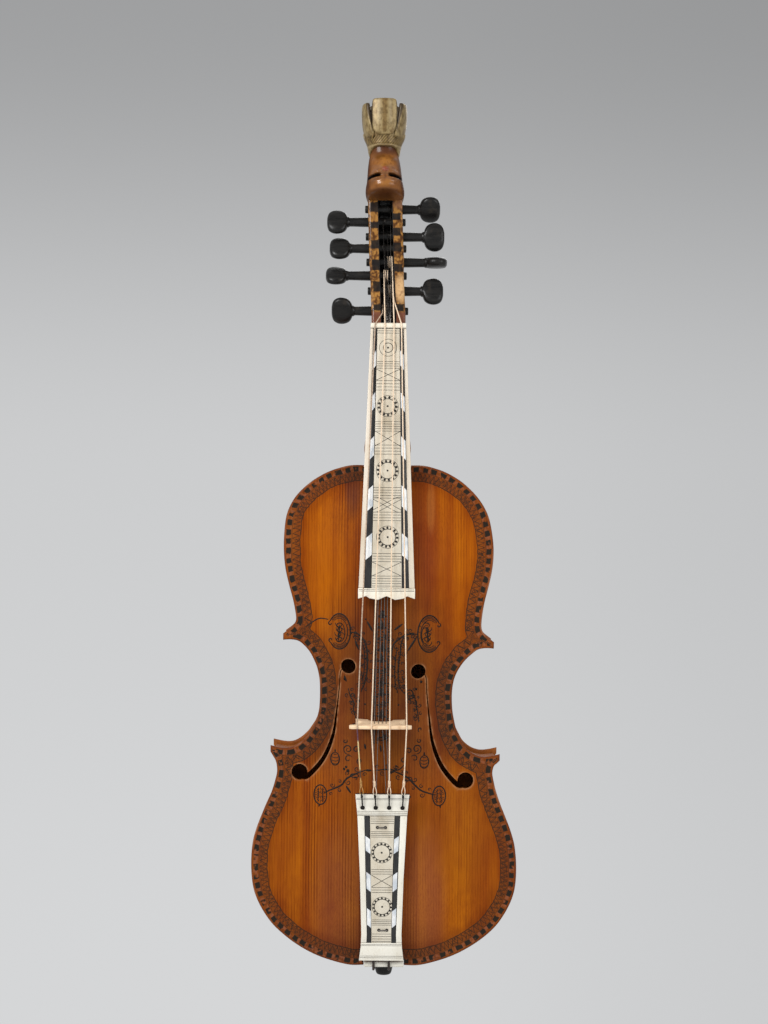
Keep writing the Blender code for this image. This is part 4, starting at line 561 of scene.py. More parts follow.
def plate(name, outline, holes, front_rise, back_rise, rings, grid, border_line, materials, nodes,
          worn=None):
    """A carved plate between two surfaces of (across, drop, depth in from the outline)."""
    edge = ClosedLine(outline)
    openings = [ClosedLine(hole) for hole in holes]
    spots = list(map(tuple, outline))
    links = [(i, (i + 1) % len(spots)) for i in range(len(spots))]
    for hole in holes:
        first = len(spots)
        spots += list(map(tuple, hole))
        links += [(first + i, first + (i + 1) % len(hole)) for i in range(len(hole))]
    loose = [edge.inset(depth) for depth in rings]
    rows = np.arange(BODY_TOP, BODY_BOTTOM, grid)
    columns = np.arange(-LOWER_HALF, LOWER_HALF, grid)
    field = np.array([(a + grid * 0.5 * (i % 2), d) for i, d in enumerate(rows) for a in columns])
    gaps, _ = edge.nearest(field)
    loose.append(field[edge.holds(field) & (gaps > max(rings) + grid * 0.4)])
    for opening in openings:
        for reach in (0.0004, 0.0010, 0.0022):
            ahead = np.roll(opening.points, -1, axis=0) - np.roll(opening.points, 1, axis=0)
            out = np.stack([ahead[:, 1], -ahead[:, 0]], axis=1) / np.hypot(*ahead.T)[:, None]
            for way in (-1, 1):
                moved = opening.points + out * reach * way
                loose.append(moved[~opening.holds(moved)])
    loose = np.concatenate(loose)
    clear = edge.holds(loose)
    for opening in openings:
        gaps, _ = opening.nearest(loose)
        clear &= ~opening.holds(loose) & (gaps > 0.00025)
    spots += [tuple(spot) for spot in loose[clear]]
    in_mm = [Vector(spot) * 1000 for spot in spots]
    made, _, triangles, *_ = geometry.delaunay_2d_cdt(in_mm, links, [], 0, 1e-4)
    flat = np.array([tuple(spot) for spot in made]) / 1000
    triangles = np.array([list(triangle) for triangle in triangles if len(triangle) == 3])
    middles = flat[triangles].mean(axis=1)
    kept = edge.holds(middles)
    for opening in openings:
        kept &= ~opening.holds(middles)
    triangles = triangles[kept]
    used, triangles = np.unique(triangles, return_inverse=True)
    flat, triangles = flat[used], triangles.reshape(-1, 3)
    around = ClosedLine(border_line)
    depth, run = around.nearest(flat)
    across, drop = flat.T
    count = len(flat)
    front = front_rise(across, drop, depth)
    back = np.minimum(back_rise(across, drop, depth), front - 0.0004)
    points = [place(*point) for point in zip(across, front, drop)]
    points += [place(*point) for point in zip(across, back, drop)]
    sides = {(int(a), int(b)) for t in triangles for a, b in ((t[0], t[1]), (t[1], t[2]), (t[2], t[0]))}
    walls = [[b, a, a + count, b + count] for a, b in sorted(sides) if (b, a) not in sides]
    faces = [[int(i) for i in t] for t in triangles] + [[int(i) + count for i in t[::-1]] for t in triangles]
    mesh = mesh_of(name, points, faces + walls)
    layer = mesh.uv_layers.new(name="border")
    whole = around.run[-1]
    for polygon in mesh.polygons:
        runs = [run[mesh.loops[i].vertex_index % count] for i in polygon.loop_indices]
        wraps = max(runs) - min(runs) > whole / 2
        for i, at in zip(polygon.loop_indices, runs):
            vertex = mesh.loops[i].vertex_index % count
            layer.data[i].uv = (at + (whole if wraps and at < whole / 2 else 0.0), depth[vertex])
    if worn is not None:
        wear = mesh.attributes.new("wear", "FLOAT", "POINT")
        shares = worn(across, drop, depth, openings)
        wear.data.foreach_set("value", np.concatenate([shares, shares * 0.0]).astype(np.float32))
    return add_piece(name, mesh, materials, nodes)


def carved_front(across, drop, depth):
    """The belly's face: its arching, a shallow hollow inside the edge and the rounded edge itself."""
    hollow = EDGE_HOLLOW * np.sin(np.pi * np.clip(depth / ARCH_BORDER, 0.0, 1.0)) ** 2
    return belly_front(across, drop) - hollow - wing_sink(across, drop) - edge_fall(depth, EDGE_ROUND)


def hole_wear(across, drop, depth, openings):
    """Share of worn varnish at the rims of the sound holes."""
    spots = np.stack([across, drop], axis=1)
    shares = np.zeros(len(spots))
    for opening in openings[2:]:
        gaps, _ = opening.nearest(spots)
        shares = np.maximum(shares, np.clip(1 - gaps / 0.0011, 0.0, 1.0))
    return shares


def make_belly(material):
    heel = NECK_HALF_AT_HEEL + GAP
    heel_end = BODY_TOP + PLATE_OVERHANG - GAP
    saddle = SADDLE_HALF + GAP
    saddle_start = BODY_BOTTOM - SADDLE_DEPTH - GAP
    above, below = BODY_TOP - 0.001, BODY_BOTTOM + 0.001
    heel_way = [(-heel, above), (heel, above), (heel, heel_end), (-heel, heel_end)]
    saddle_way = [(-saddle, saddle_start), (saddle, saddle_start), (saddle, below), (-saddle, below)]
    outline = body_outline(0.0015)
    plate("belly_carved", outline, [heel_way, saddle_way] + sound_hole(-1) + sound_hole(1), carved_front,
          lambda a, d, depth: arch(a, d, BELLY_ARCH) + edge_fall(depth, 0.0010),
          (0.0001, 0.00035, 0.00075, 0.0014, 0.0022, 0.0034, 0.0048, 0.0064, 0.0084, 0.0108, 0.0134), 0.0042,
          outline, [material], ["belly"], hole_wear)


def make_back(material):
    outline = body_outline(0.0020)
    button = [(-BUTTON_HALF * math.cos(turn), BODY_TOP - BUTTON_LENGTH * math.sin(turn))
              for turn in (math.pi * step / 24 for step in range(25))]
    start = [point for point in outline if not (abs(point[0]) <= BUTTON_HALF and point[1] < BODY_TOP + 0.001)]
    plate("back_carved", start + button, [],
          lambda a, d, depth: -RIB_HEIGHT - arch(a, d, BACK_ARCH) - edge_fall(depth, 0.0010),
          lambda a, d, depth: -RIB_HEIGHT - PLATE_THICKNESS - arch(a, d, BACK_ARCH) + edge_fall(depth, EDGE_ROUND),
          (0.0001, 0.0005, 0.0014, 0.0030, 0.0060, 0.0100), 0.0055, outline, [material], ["back"])


def offset_line(points, distance):
    """A 2D line moved sideways by distance."""
    moved = []
    for index, point in enumerate(points):
        before = points[max(index - 1, 0)]
        after = points[min(index + 1, len(points) - 1)]
        dx, dy = after[0] - before[0], after[1] - before[1]
        length = math.hypot(dx, dy)
        moved.append((point[0] - dy / length * distance, point[1] + dx / length * distance))
    return moved


def crossing(first, second):
    """Where two 2D lines cross: the point and the segment of each."""
    for i in range(len(first) - 1, 0, -1):
        for j in range(len(second) - 1):
            (x1, y1), (x2, y2) = first[i - 1], first[i]
            (x3, y3), (x4, y4) = second[j], second[j + 1]
            below = (x1 - x2) * (y3 - y4) - (y1 - y2) * (x3 - x4)
            if abs(below) < 1e-15:
                continue
            t = ((x1 - x3) * (y3 - y4) - (y1 - y3) * (x3 - x4)) / below
            s = ((x1 - x3) * (y1 - y2) - (y1 - y3) * (x1 - x2)) / below
            if 0 <= t <= 1 and 0 <= s <= 1:
                return (mix(x1, x2, t), mix(y1, y2, t)), i, j
    raise ValueError("the inset outlines don't meet at a corner")


def beyond(before, end, distance):
    """The point past the end of a stretch, straight on."""
    share = 1 + distance / math.dist(before, end)
    return mix(before[0], end[0], share), mix(before[1], end[1], share)


def inset_parts(side, distance):
    """The three stretches of one side moved in by distance and trimmed to each other, as (across, drop)."""
    parts = [offset_line(part, distance) for part in plain_stretches(side)]
    for first in (0, 1):
        parts[first].append(beyond(*parts[first][-2:], CORNER_EDGE))
        parts[first + 1].insert(0, beyond(parts[first + 1][1], parts[first + 1][0], CORNER_EDGE))
        point, i, j = crossing(parts[first], parts[first + 1])
        parts[first] = parts[first][:i] + [point]
        parts[first + 1] = [point] + parts[first + 1][j + 1:]
    return parts


def make_ribs(material):
    for side, hand in SIDES:
        for part, name, count in ((0, "upper", 110), (1, "waist", 80), (2, "lower", 130)):
            lines = []
            for distance in (PLATE_OVERHANG, PLATE_OVERHANG + RIB_THICKNESS):
                line = smooth_line(inset_parts(side, distance)[part], 5)
                run = resample(line, 0.0001)
                lines.append(run[np.linspace(2, len(run) - 3, count).astype(int)])
            rings = []
            for (a, d), (b, e) in zip(*lines):
                rings.append([place(side * a, -GAP, d), place(side * a, -RIB_HEIGHT * 0.5, d),
                              place(side * a, -RIB_HEIGHT + GAP, d), place(side * b, -RIB_HEIGHT + GAP, e),
                              place(side * b, -RIB_HEIGHT * 0.5, e), place(side * b, -GAP, e)])
            title = f"rib_{name}_{hand}"
            add_piece(title + "_bent", mesh_of(title, *loft_parts(rings)), [material], [title])


# Drawn, engraved and inlaid work

def stroke_parts(line, half, lay, top=INK_LIFT, deep=-0.0001):
    """A drawn line of a half width over the surface that lay gives for (across, drop, lift)."""
    line = np.array(line, float)
    ahead = np.gradient(line, axis=0)
    out = np.stack([-ahead[:, 1], ahead[:, 0]], axis=1) / np.hypot(*ahead.T)[:, None]
    reach = np.broadcast_to(half, len(line))[:, None]
    return loft_parts([[lay(*l, top), lay(*r, top), lay(*r, deep), lay(*l, deep)]
                       for l, r in zip(line + out * reach, line - out * reach)])


def blot_parts(outline, lay, top=INK_LIFT, deep=-0.0001):
    """A filled spot inside a closed line."""
    return loft_parts([[lay(a, d, lift) for a, d in outline] for lift in (top, deep)])


def slip_parts(spot, wide, long, lay, top=INK_LIFT, deep=-0.0004):
    """A patch over a surface; spot gives (across, drop) for two shares."""
    rings = []
    for row in range(long + 1):
        line = [spot(column / wide, row / long) for column in range(wide + 1)]
        rings.append([lay(a, d, top) for a, d in line] + [lay(a, d, deep) for a, d in line[::-1]])
    return loft_parts(rings)


def arc_line(centre, radius, start, end, steps):
    """Points of an arc; angles in turns, clockwise from the treble side as seen."""
    turns = [math.tau * mix(start, end, step / steps) for step in range(steps + 1)]
    return [(centre[0] + radius * math.cos(turn), centre[1] + radius * math.sin(turn)) for turn in turns]


def rosette_parts(centre, radius, lay, teeth, inner_share=0.72):
    """A dial of two rings with dark teeth between them and a dot in the middle."""
    inner = radius * inner_share
    parts = [stroke_parts(arc_line(centre, reach, 0.0, 1.0, 48), line, lay)
             for reach, line in ((radius, 0.00015), (inner, 0.00024))]
    for tooth in range(teeth):
        turn = (tooth + 0.15) / teeth
        middle = mix(inner, radius, 0.44)
        wide = 0.54 / teeth
        width = np.array([0.45, 1.0, 1.0, 0.45]) * (radius - inner) * 0.42
        parts.append(stroke_parts(arc_line(centre, middle, turn - wide / 2, turn + wide / 2, 3), width, lay))
    parts.append(blot_parts(circle(centre, 0.00070, 14), lay))
    return parts


def cross_parts(top, bottom, half, middle, lay, line, apart=0.0):
    """A saltire between two drops, as wide as the strip there, of two lines each way where they lie apart."""
    parts = []
    for way in (-1, 1):
        for shift in ((-apart, apart) if apart else (0.0,)):
            ends = [(middle - way * half(top), top + shift), (middle + way * half(bottom), bottom + shift)]
            ends = [(a, between(d, top, bottom) * (bottom - top) + top) for a, d in resample(ends, 0.001)]
            parts.append(stroke_parts(resample(ends, 0.002), line, lay))
    return parts


def rule_parts(start, end, count, half, middle, lay, line):
    """Lines ruled across a strip."""
    parts = []
    for index in range(count):
        drop = mix(start, end, index / max(count - 1, 1))
        reach = half(drop) * 0.985
        parts.append(stroke_parts(resample([(middle - reach, drop), (middle + reach, drop)], 0.002), line, lay))
    return parts


# Fingerboard

def board_share(drop):
    return between(drop, 0.0, BOARD_END)


def board_half(drop):
    return mix(BOARD_HALF_AT_NUT, BOARD_HALF_AT_END, board_share(drop))


def board_front(across, drop):
    middle = mix(BOARD_FRONT_AT_NUT, BOARD_FRONT_AT_END, board_share(drop))
    return middle - across ** 2 / (2 * BOARD_CAMBER_RADIUS)


def on_board(across, drop, lift):
    return place(across, board_front(across, drop) + lift, drop)


def board_edge(shares, drop):
    """Distance of a joint of the facing from the middle of the board."""
    return mix(*shares, board_share(drop)) * board_half(drop)


def slips(drops, slant, inner, outer, middle, lay):
    """Slips across the two bands of a facing, each between two drops; a slant above 0 rises to the middle."""
    parts = []
    lean = abs(slant)
    for start, end in drops:
        for side, _ in SIDES:
            def spot(u, v, start=start, end=end, side=side):
                down = u if slant > 0 else 1 - u
                drop = mix(start + lean * down, end - lean * (1 - down), v)
                reach = mix(inner(drop) + GAP / 2, outer(drop) - GAP / 2, u)
                return (middle + side * reach, drop)
            parts.append(slip_parts(spot, 4, 8, lay, 0.00004))
    return parts


# Fingerboard engraving: groups of ruled lines, saltires and rosettes, by drop
BOARD_RULES = ((0.0022, 0.0054, 3), (0.0257, 0.0304, 4), (0.0392, 0.0459, 4), (0.0682, 0.0749, 5),
               (0.0847, 0.0911, 4), (0.1145, 0.1219, 5), (0.1317, 0.1376, 4), (0.1605, 0.1661, 4),
               (0.1761, 0.1830, 5))
BOARD_CROSSES = ((0.0311, 0.0389, 0.0), (0.0749, 0.0855, 0.0), (0.1212, 0.1317, 0.0016), (0.1664, 0.1761, 0.0))
BOARD_ROSETTES = ((-0.0002, 0.0158, 0.0061, 0, 0.55), (-0.0002, 0.0573, 0.0075, 13, 0.70),
                  (0.0000, 0.1026, 0.0079, 14, 0.72), (0.0005, 0.1491, 0.0078, 15, 0.72))
BOARD_SLIPS = ((0.0176, 0.0318), (0.0474, 0.0615), (0.0784, 0.0953), (0.1128, 0.1310), (0.1463, 0.1650))


def make_board(finishes):
    softened("fingerboard_core", "fingerboard", 0.0002, [finishes["board"]])
    softened("fingerboard_centre", "fingerboard_centre_strip", 0.00012, [finishes["old_bone"]])
    for _, hand in SIDES:
        softened("fingerboard_horn_" + hand, "fingerboard_band_" + hand, 0.00010, [finishes["horn"]])
        softened("fingerboard_border_" + hand, "fingerboard_edge_" + hand, 0.00025, [finishes["edge_bone"]])
    softened("fingerboard_end", "fingerboard_end_trim", 0.00035, [finishes["bone"]])
    softened("nut_notched", "nut", 0.00035, [finishes["bone"]])
    pearl = slips(BOARD_SLIPS, 0.0034, lambda d: board_edge(BOARD_CENTRE_SHARE, d),
                  lambda d: board_edge(BOARD_BAND_SHARE, d), 0.0, on_board)
    add_piece("fingerboard_pearl", mesh_of("fingerboard_pearl", *joined(pearl)), [finishes["pearl"]])

    def half(drop):
        return board_edge(BOARD_CENTRE_SHARE, drop) - GAP

    parts = []
    for start, end, count in BOARD_RULES:
        parts += rule_parts(start, end, count, half, 0.0, on_board, 0.00015)
    for top, bottom, apart in BOARD_CROSSES:
        parts += cross_parts(top, bottom, half, 0.0, on_board, 0.00017, apart)
    for across, drop, radius, teeth, inner in BOARD_ROSETTES:
        parts += rosette_parts((across, drop), radius, on_board, teeth, inner)
    for drop in (0.1856, 0.1866):
        parts += rule_parts(drop, drop, 1, board_half, 0.0, on_board, 0.00016)
    add_piece("fingerboard_engraving", mesh_of("fingerboard_engraving", *joined(parts)), [finishes["engraved"]])


# Tailpiece

def tail_share(drop):
    return between(drop, TAILPIECE_TOP, TAILPIECE_FOOT)


def tail_front(drop):
    return mix(TAILPIECE_FRONT_AT_TOP, TAILPIECE_FRONT_AT_FOOT, tail_share(drop))


def on_tail(across, drop, lift):
    return place(across, tail_front(drop) + lift, drop)


def tail_half(drop):
    stations = ((0.0, TAILPIECE_TOP_HALF), (0.14, mix(TAILPIECE_TOP_HALF, TAILPIECE_WAIST_HALF, 0.34)),
                (0.5, mix(TAILPIECE_TOP_HALF, TAILPIECE_WAIST_HALF, 0.76)), (0.84, TAILPIECE_WAIST_HALF),
                (0.92, mix(TAILPIECE_WAIST_HALF, TAILPIECE_FOOT_HALF, 0.25)), (1.0, TAILPIECE_FOOT_HALF))
    return read_line(stations, tail_share(drop))


# Tailpiece engraving, by drop
TAIL_RULES = ((0.3434, 0.3480, 4), (0.3540, 0.3578, 4), (0.3811, 0.3843, 3), (0.3940, 0.3976, 3),
              (0.4174, 0.4211, 4), (0.4276, 0.4330, 4))
TAIL_ROSETTES = ((-0.0020, 0.3690, 0.0073), (-0.0014, 0.4079, 0.0071))
TAIL_SLIPS = ((0.3570, 0.3699), (0.3828, 0.3972), (0.4088, 0.4232))
TAIL_BLOCK_LINES = (0.3303, 0.3312, 0.3395, 0.3407, 0.3420, 0.4352, 0.4361, 0.4437, 0.4449)


def make_tail_piece(finishes):
    softened("tailpiece_core", "tailpiece", 0.0003, [finishes["board"]])
    for name in ("top_block", "foot_block"):
        softened("tailpiece_cap_" + name, "tailpiece_" + name, 0.00020, [finishes["pale_bone"]])
    softened("tailpiece_centre", "tailpiece_centre_strip", 0.00010, [finishes["old_bone"]])
    for _, hand in SIDES:
        softened("tailpiece_horn_" + hand, "tailpiece_band_" + hand, 0.00010, [finishes["horn"]])
        softened("tailpiece_border_" + hand, "tailpiece_edge_" + hand, 0.00020, [finishes["pale_bone"]])
    pearl = slips(TAIL_SLIPS, -0.0024, lambda d: TAIL_CENTRE_SHARE * tail_half(d),
                  lambda d: TAIL_BAND_SHARE * tail_half(d), TAILPIECE_ACROSS, on_tail)
    add_piece("tailpiece_pearl", mesh_of("tailpiece_pearl", *joined(pearl)), [finishes["pearl"]])

    def half(drop):
        return TAIL_CENTRE_SHARE * tail_half(drop) - GAP

    parts = []
    for start, end, count in TAIL_RULES:
        parts += rule_parts(start, end, count, half, TAILPIECE_ACROSS, on_tail, 0.00015)
    parts += cross_parts(0.3850, 0.3936, half, TAILPIECE_ACROSS, on_tail, 0.00017)
    for across, drop, radius in TAIL_ROSETTES:
        parts += rosette_parts((across, drop), radius, on_tail, 15, 0.77)
    for drop in TAIL_BLOCK_LINES:
        parts += rule_parts(drop, drop, 1, tail_half, TAILPIECE_ACROSS, on_tail, 0.00012)
    for _, across, drop in staple_places():
        for side, _ in SIDES:
            parts.append(blot_parts(circle((across + side * STAPLE_SPAN / 2, drop), 0.00115, 16), on_tail))
    add_piece("tailpiece_engraving", mesh_of("tailpiece_engraving", *joined(parts)), [finishes["engraved"]])
    make_staples(finishes["wire"])


def staple_places():
    """(name, across, drop) of each wire staple."""
    foot_start = TAILPIECE_FOOT - TAILPIECE_FOOT_BLOCK
    return (("staple_upper", TAILPIECE_ACROSS - 0.0005, TAILPIECE_TOP + TAILPIECE_TOP_BLOCK + 0.0085),
            ("staple_lower", TAILPIECE_ACROSS + 0.0010, foot_start - 0.0094))


def staple_behind(drop):
    """Rise of the staples' arms behind the tailpiece."""
    return tail_front(drop) - FACING_THICKNESS - TAILPIECE_CORE - STAPLE_WIRE / 2 - 2 * GAP


def make_staples(material):
    for name, across, drop in staple_places():
        front = tail_front(drop) + STAPLE_WIRE / 2 + GAP
        behind = staple_behind(drop)
        left, right = across - STAPLE_SPAN / 2, across + STAPLE_SPAN / 2
        bend = STAPLE_BEND
        route = [(left - STAPLE_ARM, behind), (left - bend, behind), (left, behind + bend),
                 (left, front - bend), (left + bend, front), (right - bend, front), (right, front - bend),
                 (right, behind + bend), (right + bend, behind), (right + STAPLE_ARM, behind)]
        line = rounded([place(a, rise, drop) for a, rise in route], 3)
        add_piece(name + "_wire", mesh_of(name, *tube_parts(line, STAPLE_WIRE / 2, 12)), [material], [name])


# Bridge, saddle, end button and tail gut

def make_fittings(finishes):
    softened("bridge_cut", "bridge", 0.00035, [finishes["bridge"]])
    softened("saddle_rounded", "saddle", 0.0005, [finishes["pale_bone"]], 3)
    rib_face = BODY_BOTTOM - PLATE_OVERHANG
    shaft_end = rib_face - RIB_THICKNESS - BLOCK_DEPTH
    head = rib_face + BUTTON_NECK_LENGTH
    profile = ((shaft_end, BUTTON_SHAFT_RADIUS * 0.85), (rib_face, BUTTON_SHAFT_RADIUS * 0.98),
               (rib_face + 0.0006, BUTTON_NECK_RADIUS), (head - 0.0012, BUTTON_NECK_RADIUS),
               (head, BUTTON_NECK_RADIUS * 1.10), (head + 0.0008, BUTTON_HEAD_RADIUS * 0.92),
               (head + 0.0026, BUTTON_HEAD_RADIUS), (head + 0.0050, BUTTON_HEAD_RADIUS * 0.94),
               (head + 0.0068, BUTTON_HEAD_RADIUS * 0.84), (head + BUTTON_HEAD_LENGTH, BUTTON_FACE_RADIUS),
               (head + BUTTON_HEAD_LENGTH + 0.0002, BUTTON_FACE_RADIUS * 0.5))
    rings = [[place(reach * math.cos(math.tau * i / 40), -RIB_HEIGHT / 2 + reach * math.sin(math.tau * i / 40), drop)
              for i in range(40)] for drop, reach in smooth_line(profile, 5)]
    add_piece("end_button_turned", mesh_of("end_button", *loft_parts(rings), sharp=50), [finishes["black"]],
              ["end_button"])
    route = [place(*point) for point in tail_gut_route()]
    add_piece("tail_gut_bent", mesh_of("tail_gut", *tube_parts(rounded(route, 4), TAIL_GUT_DIAMETER / 2, 14)),
              [finishes["dark_gut"]], ["tail_gut"])


def gut_exit(side):
    """Where a leg of the tail gut leaves the tailpiece."""
    rise = tail_front(TAILPIECE_FOOT) - FACING_THICKNESS - GAP - TAILPIECE_CORE / 2
    return (TAILPIECE_ACROSS + side * TAIL_GUT_HALF, rise)


def tail_gut_route():
    """Out of the tailpiece, over the saddle, round the button's neck and back, as (across, rise, drop)."""
    radius = TAIL_GUT_DIAMETER / 2
    over = BODY_BOTTOM + radius + GAP
    loop = BUTTON_NECK_RADIUS + GAP + radius
    middle = -RIB_HEIGHT / 2
    crest = SADDLE_RISE + radius + GAP

    def leg(side):
        across, rise = gut_exit(side)
        half_way = (mix(across, side * loop, 0.55), mix(crest, middle, 0.5), over)
        return [(across, rise + TAIL_SLOPE * TAIL_GUT_DEPTH, TAILPIECE_FOOT - TAIL_GUT_DEPTH),
                (across, rise, TAILPIECE_FOOT + 0.0004), (across, crest + 0.0002, BODY_BOTTOM - 0.0034),
                (across, crest, BODY_BOTTOM - 0.0012), (across, crest - 0.0009, over - 0.0004),
                (across, crest - 0.0030, over), half_way, (side * loop, middle + 0.0010, over + 0.0002)]

    bend = [(loop * math.cos(t), middle - loop * math.sin(t), over + 0.0002)
            for t in (math.pi * (1 - step / 8) for step in range(1, 8))]
    return leg(-1) + bend + leg(1)[::-1]


# Strings

def taut_route(start, peg_name, radius, clear):
    """(rise, drop) points of a string from the nut over nearer pegs to its peg, and its landing angle."""
    pegs = {peg[0]: peg for peg in PEGS}
    target = pegs[peg_name]
    wrap = PEG_RADIUS_AT_HEAD + GAP + radius
    points = [start]
    while True:
        rise, drop = points[-1]
        angle = 0.0
        for _ in range(20):
            end_rise = target[3] + wrap * math.cos(angle)
            end_drop = target[2] - wrap * math.sin(angle)
            angle = math.atan2(rise - end_rise, drop - end_drop)
        steepest = None
        for peg in PEGS:
            if not target[2] + 0.004 < peg[2] < drop - 0.002:
                continue
            top = peg[3] + PEG_RADIUS_AT_HEAD + clear
            on_line = mix(rise, end_rise, (peg[2] - drop) / (end_drop - drop))
            slope = (rise - top) / (drop - peg[2])
            if top > on_line and (steepest is None or slope < steepest[0]):
                steepest = (slope, top, peg[2])
        if steepest is None:
            return points + [(end_rise, end_drop)], angle
        points.append((steepest[1], steepest[2]))


def winding(peg_name, start_across, way, angle, diameter):
    """Turns of a string round its peg."""
    peg = {row[0]: row for row in PEGS}[peg_name]
    wrap = PEG_RADIUS_AT_HEAD + GAP + diameter / 2
    pitch = diameter + WINDING_GAP
    turns = []
    for step in range(1, round(WINDING_TURNS * WINDING_POINTS) + 1):
        turn = angle + math.tau * step / WINDING_POINTS
        turns.append(place(start_across + way * pitch * step / WINDING_POINTS, peg[3] + wrap * math.cos(turn),
                           peg[2] - wrap * math.sin(turn)))
    return turns


def head_side_points(nut_across, route, start_across):
    """The stretch from the nut to the peg with its sideways run spread over the drop."""
    first, last = route[0][1], route[-1][1]
    return [place(mix(nut_across, start_across, (drop - first) / (last - first)), rise, drop)
            for rise, drop in route[1:]]


def twist_parts(start, end, radius, turns, strand, sides=8):
    """Two strands twisted round each other between two points."""
    ahead = (end - start).normalized()
    out = ahead.orthogonal().normalized()
    up = ahead.cross(out)
    parts = []
    for phase in (0.0, math.pi):
        route = []
        for step in range(int(turns * 10) + 1):
            share = step / int(turns * 10)
            turn = phase + math.tau * turns * share
            route.append(start.lerp(end, share) + (out * math.cos(turn) + up * math.sin(turn)) * radius)
        parts.append(tube_parts(route, strand, sides))
    return parts


def coil_parts(start, end, radius, turns, strand):
    """A strand wound as a tight coil about the line between two points."""
    ahead = (end - start).normalized()
    out = ahead.orthogonal().normalized()
    up = ahead.cross(out)
    count = int(turns * 12)
    route = [start.lerp(end, step / count) + (out * math.cos(math.tau * turns * step / count)
                                              + up * math.sin(math.tau * turns * step / count)) * radius
             for step in range(count + 1)]
    return tube_parts(route, strand, 8)


def make_playing_strings(finishes):
    for name, at_nut, at_bridge, at_hole, peg, wound_from, way in PLAYING_STRINGS:
        radius = PLAYING_DIAMETER / 2
        start = CHEEK_CROSSINGS.get(name, (at_nut, PLAYING_RISE_AT_NUT, -NUT_THICKNESS / 2 + 0.0008))
        route, angle = taut_route(start[1:], peg, radius, PLAYING_CLEAR)
        hole_drop = TAILPIECE_TOP + STRING_HOLE_DROP
        hole = place(TAILPIECE_ACROSS + at_hole, tail_front(hole_drop) + 0.0012, hole_drop)
        dip = at_bridge ** 2 / (2 * BRIDGE_CREST_RADIUS)
        crest = place(BRIDGE_ACROSS + at_bridge, PLAYING_RISE_AT_BRIDGE - dip, STRING_LENGTH)
        toward = (crest - hole).normalized()
        knot = hole + toward * KNOT_TO_HOLE
        nut = [place(at_nut, PLAYING_RISE_AT_NUT, NUT_THICKNESS / 2 - 0.0010),
               place(at_nut, PLAYING_RISE_AT_NUT, -NUT_THICKNESS / 2 + 0.0012)]
        tail = [knot - toward * 0.0015, knot, knot + toward * 0.004]
        turns = winding(peg, wound_from, way, angle, PLAYING_DIAMETER)
        if name in CHEEK_CROSSINGS:
            nut.append(place(*start))
        points = tail + [crest] + nut + head_side_points(start[0], route, wound_from) + turns
        parts = [tube_parts(points, radius, 12)]
        parts.append(coil_parts(knot - toward * 0.0020, knot + toward * 0.0022, radius * 1.5, 4.5, radius * 0.72))
        side = Vector((1.0, 0.0, 0.0))
        fork = knot - toward * 0.0068
        eye = [knot - toward * 0.0016 - side * 0.0002, knot - toward * 0.0040 - side * 0.0009,
               fork - side * 0.0011, fork - toward * 0.0010, fork + side * 0.0011,
               knot - toward * 0.0040 + side * 0.0009, knot - toward * 0.0016 + side * 0.0002]
        parts.append(tube_parts(rounded(eye, 5), radius * 0.72, 10))
        mesh = mesh_of(name, *joined(parts), sharp=60)
        add_piece(name + "_laid", mesh, [finishes["low_string" if name.endswith("low") else "gut"]], [name])
        deep = hole + Vector((0.0, 0.0030, 0.0))
        ring = fork - toward * 0.0006
        loop = [ring + Vector((0.0, 0.0009, 0.0)) - toward * 0.0010, ring + Vector((0.0, 0.0006, 0.0)) + toward * 0.0007,
                ring + Vector((0.0, -0.0006, 0.0)) + toward * 0.0007,
                ring + Vector((0.0, -0.0009, 0.0)) - toward * 0.0010, ring - toward * 0.0024]
        cord = twist_parts(ring - toward * 0.0014, hole + toward * 0.0006, LOOP_DIAMETER * 0.36, 4.0,
                           LOOP_DIAMETER * 0.46)
        cord.append(tube_parts(rounded(loop, 4), LOOP_DIAMETER * 0.5, 10))
        cord.append(tube_parts(rounded([hole + toward * 0.0010, hole - toward * 0.0001, deep], 4),
                               LOOP_DIAMETER * 0.85, 10))
        cord.append(coil_parts(ring - toward * 0.0012, ring - toward * 0.0030, LOOP_DIAMETER * 0.85, 2.5,
                               LOOP_DIAMETER * 0.42))
        cord.append(blot_parts(circle((TAILPIECE_ACROSS + at_hole, hole_drop), 0.00130, 20), on_tail, -0.0004, -0.0030))
        loop_name = name.replace("string", "tail_loop")
        add_piece(loop_name + "_tied", mesh_of(loop_name, *joined(cord), sharp=60), [finishes["cord"]],
                  [loop_name])


def make_sympathetic_strings(material):
    _, hook_across, hook_drop = staple_places()[0]
    behind = staple_behind(hook_drop)
    radius = SYMPATHETIC_DIAMETER / 2
    for name, at_nut, at_bridge, peg, wound_from, way, hook in SYMPATHETIC_STRINGS:
        route, angle = taut_route((SYMPATHETIC_RISE_AT_NUT, -NUT_THICKNESS / 2), peg, radius, SYMPATHETIC_CLEAR)
        under = behind - STAPLE_WIRE / 2 - radius - GAP
        across = hook_across + hook
        tail = [place(across, behind - 0.0002, hook_drop + STAPLE_WIRE / 2 + GAP + radius),
                place(across, under + 0.0001, hook_drop + 0.0004), place(across, under, hook_drop - 0.0004)]
        bridge = [place(BRIDGE_ACROSS + at_bridge, SYMPATHETIC_RISE_AT_BRIDGE, STRING_LENGTH)]
        nut = [place(at_nut, SYMPATHETIC_RISE_AT_NUT, NUT_THICKNESS / 2),
               place(at_nut, SYMPATHETIC_RISE_AT_NUT, -NUT_THICKNESS / 2)]
        turns = winding(peg, wound_from, way, angle, SYMPATHETIC_DIAMETER)
        points = tail + bridge + nut + head_side_points(at_nut, route, wound_from) + turns
        add_piece(name + "_drawn", mesh_of(name, *tube_parts(points, radius, 10), sharp=60), [material], [name])


# Neck, pegbox and head

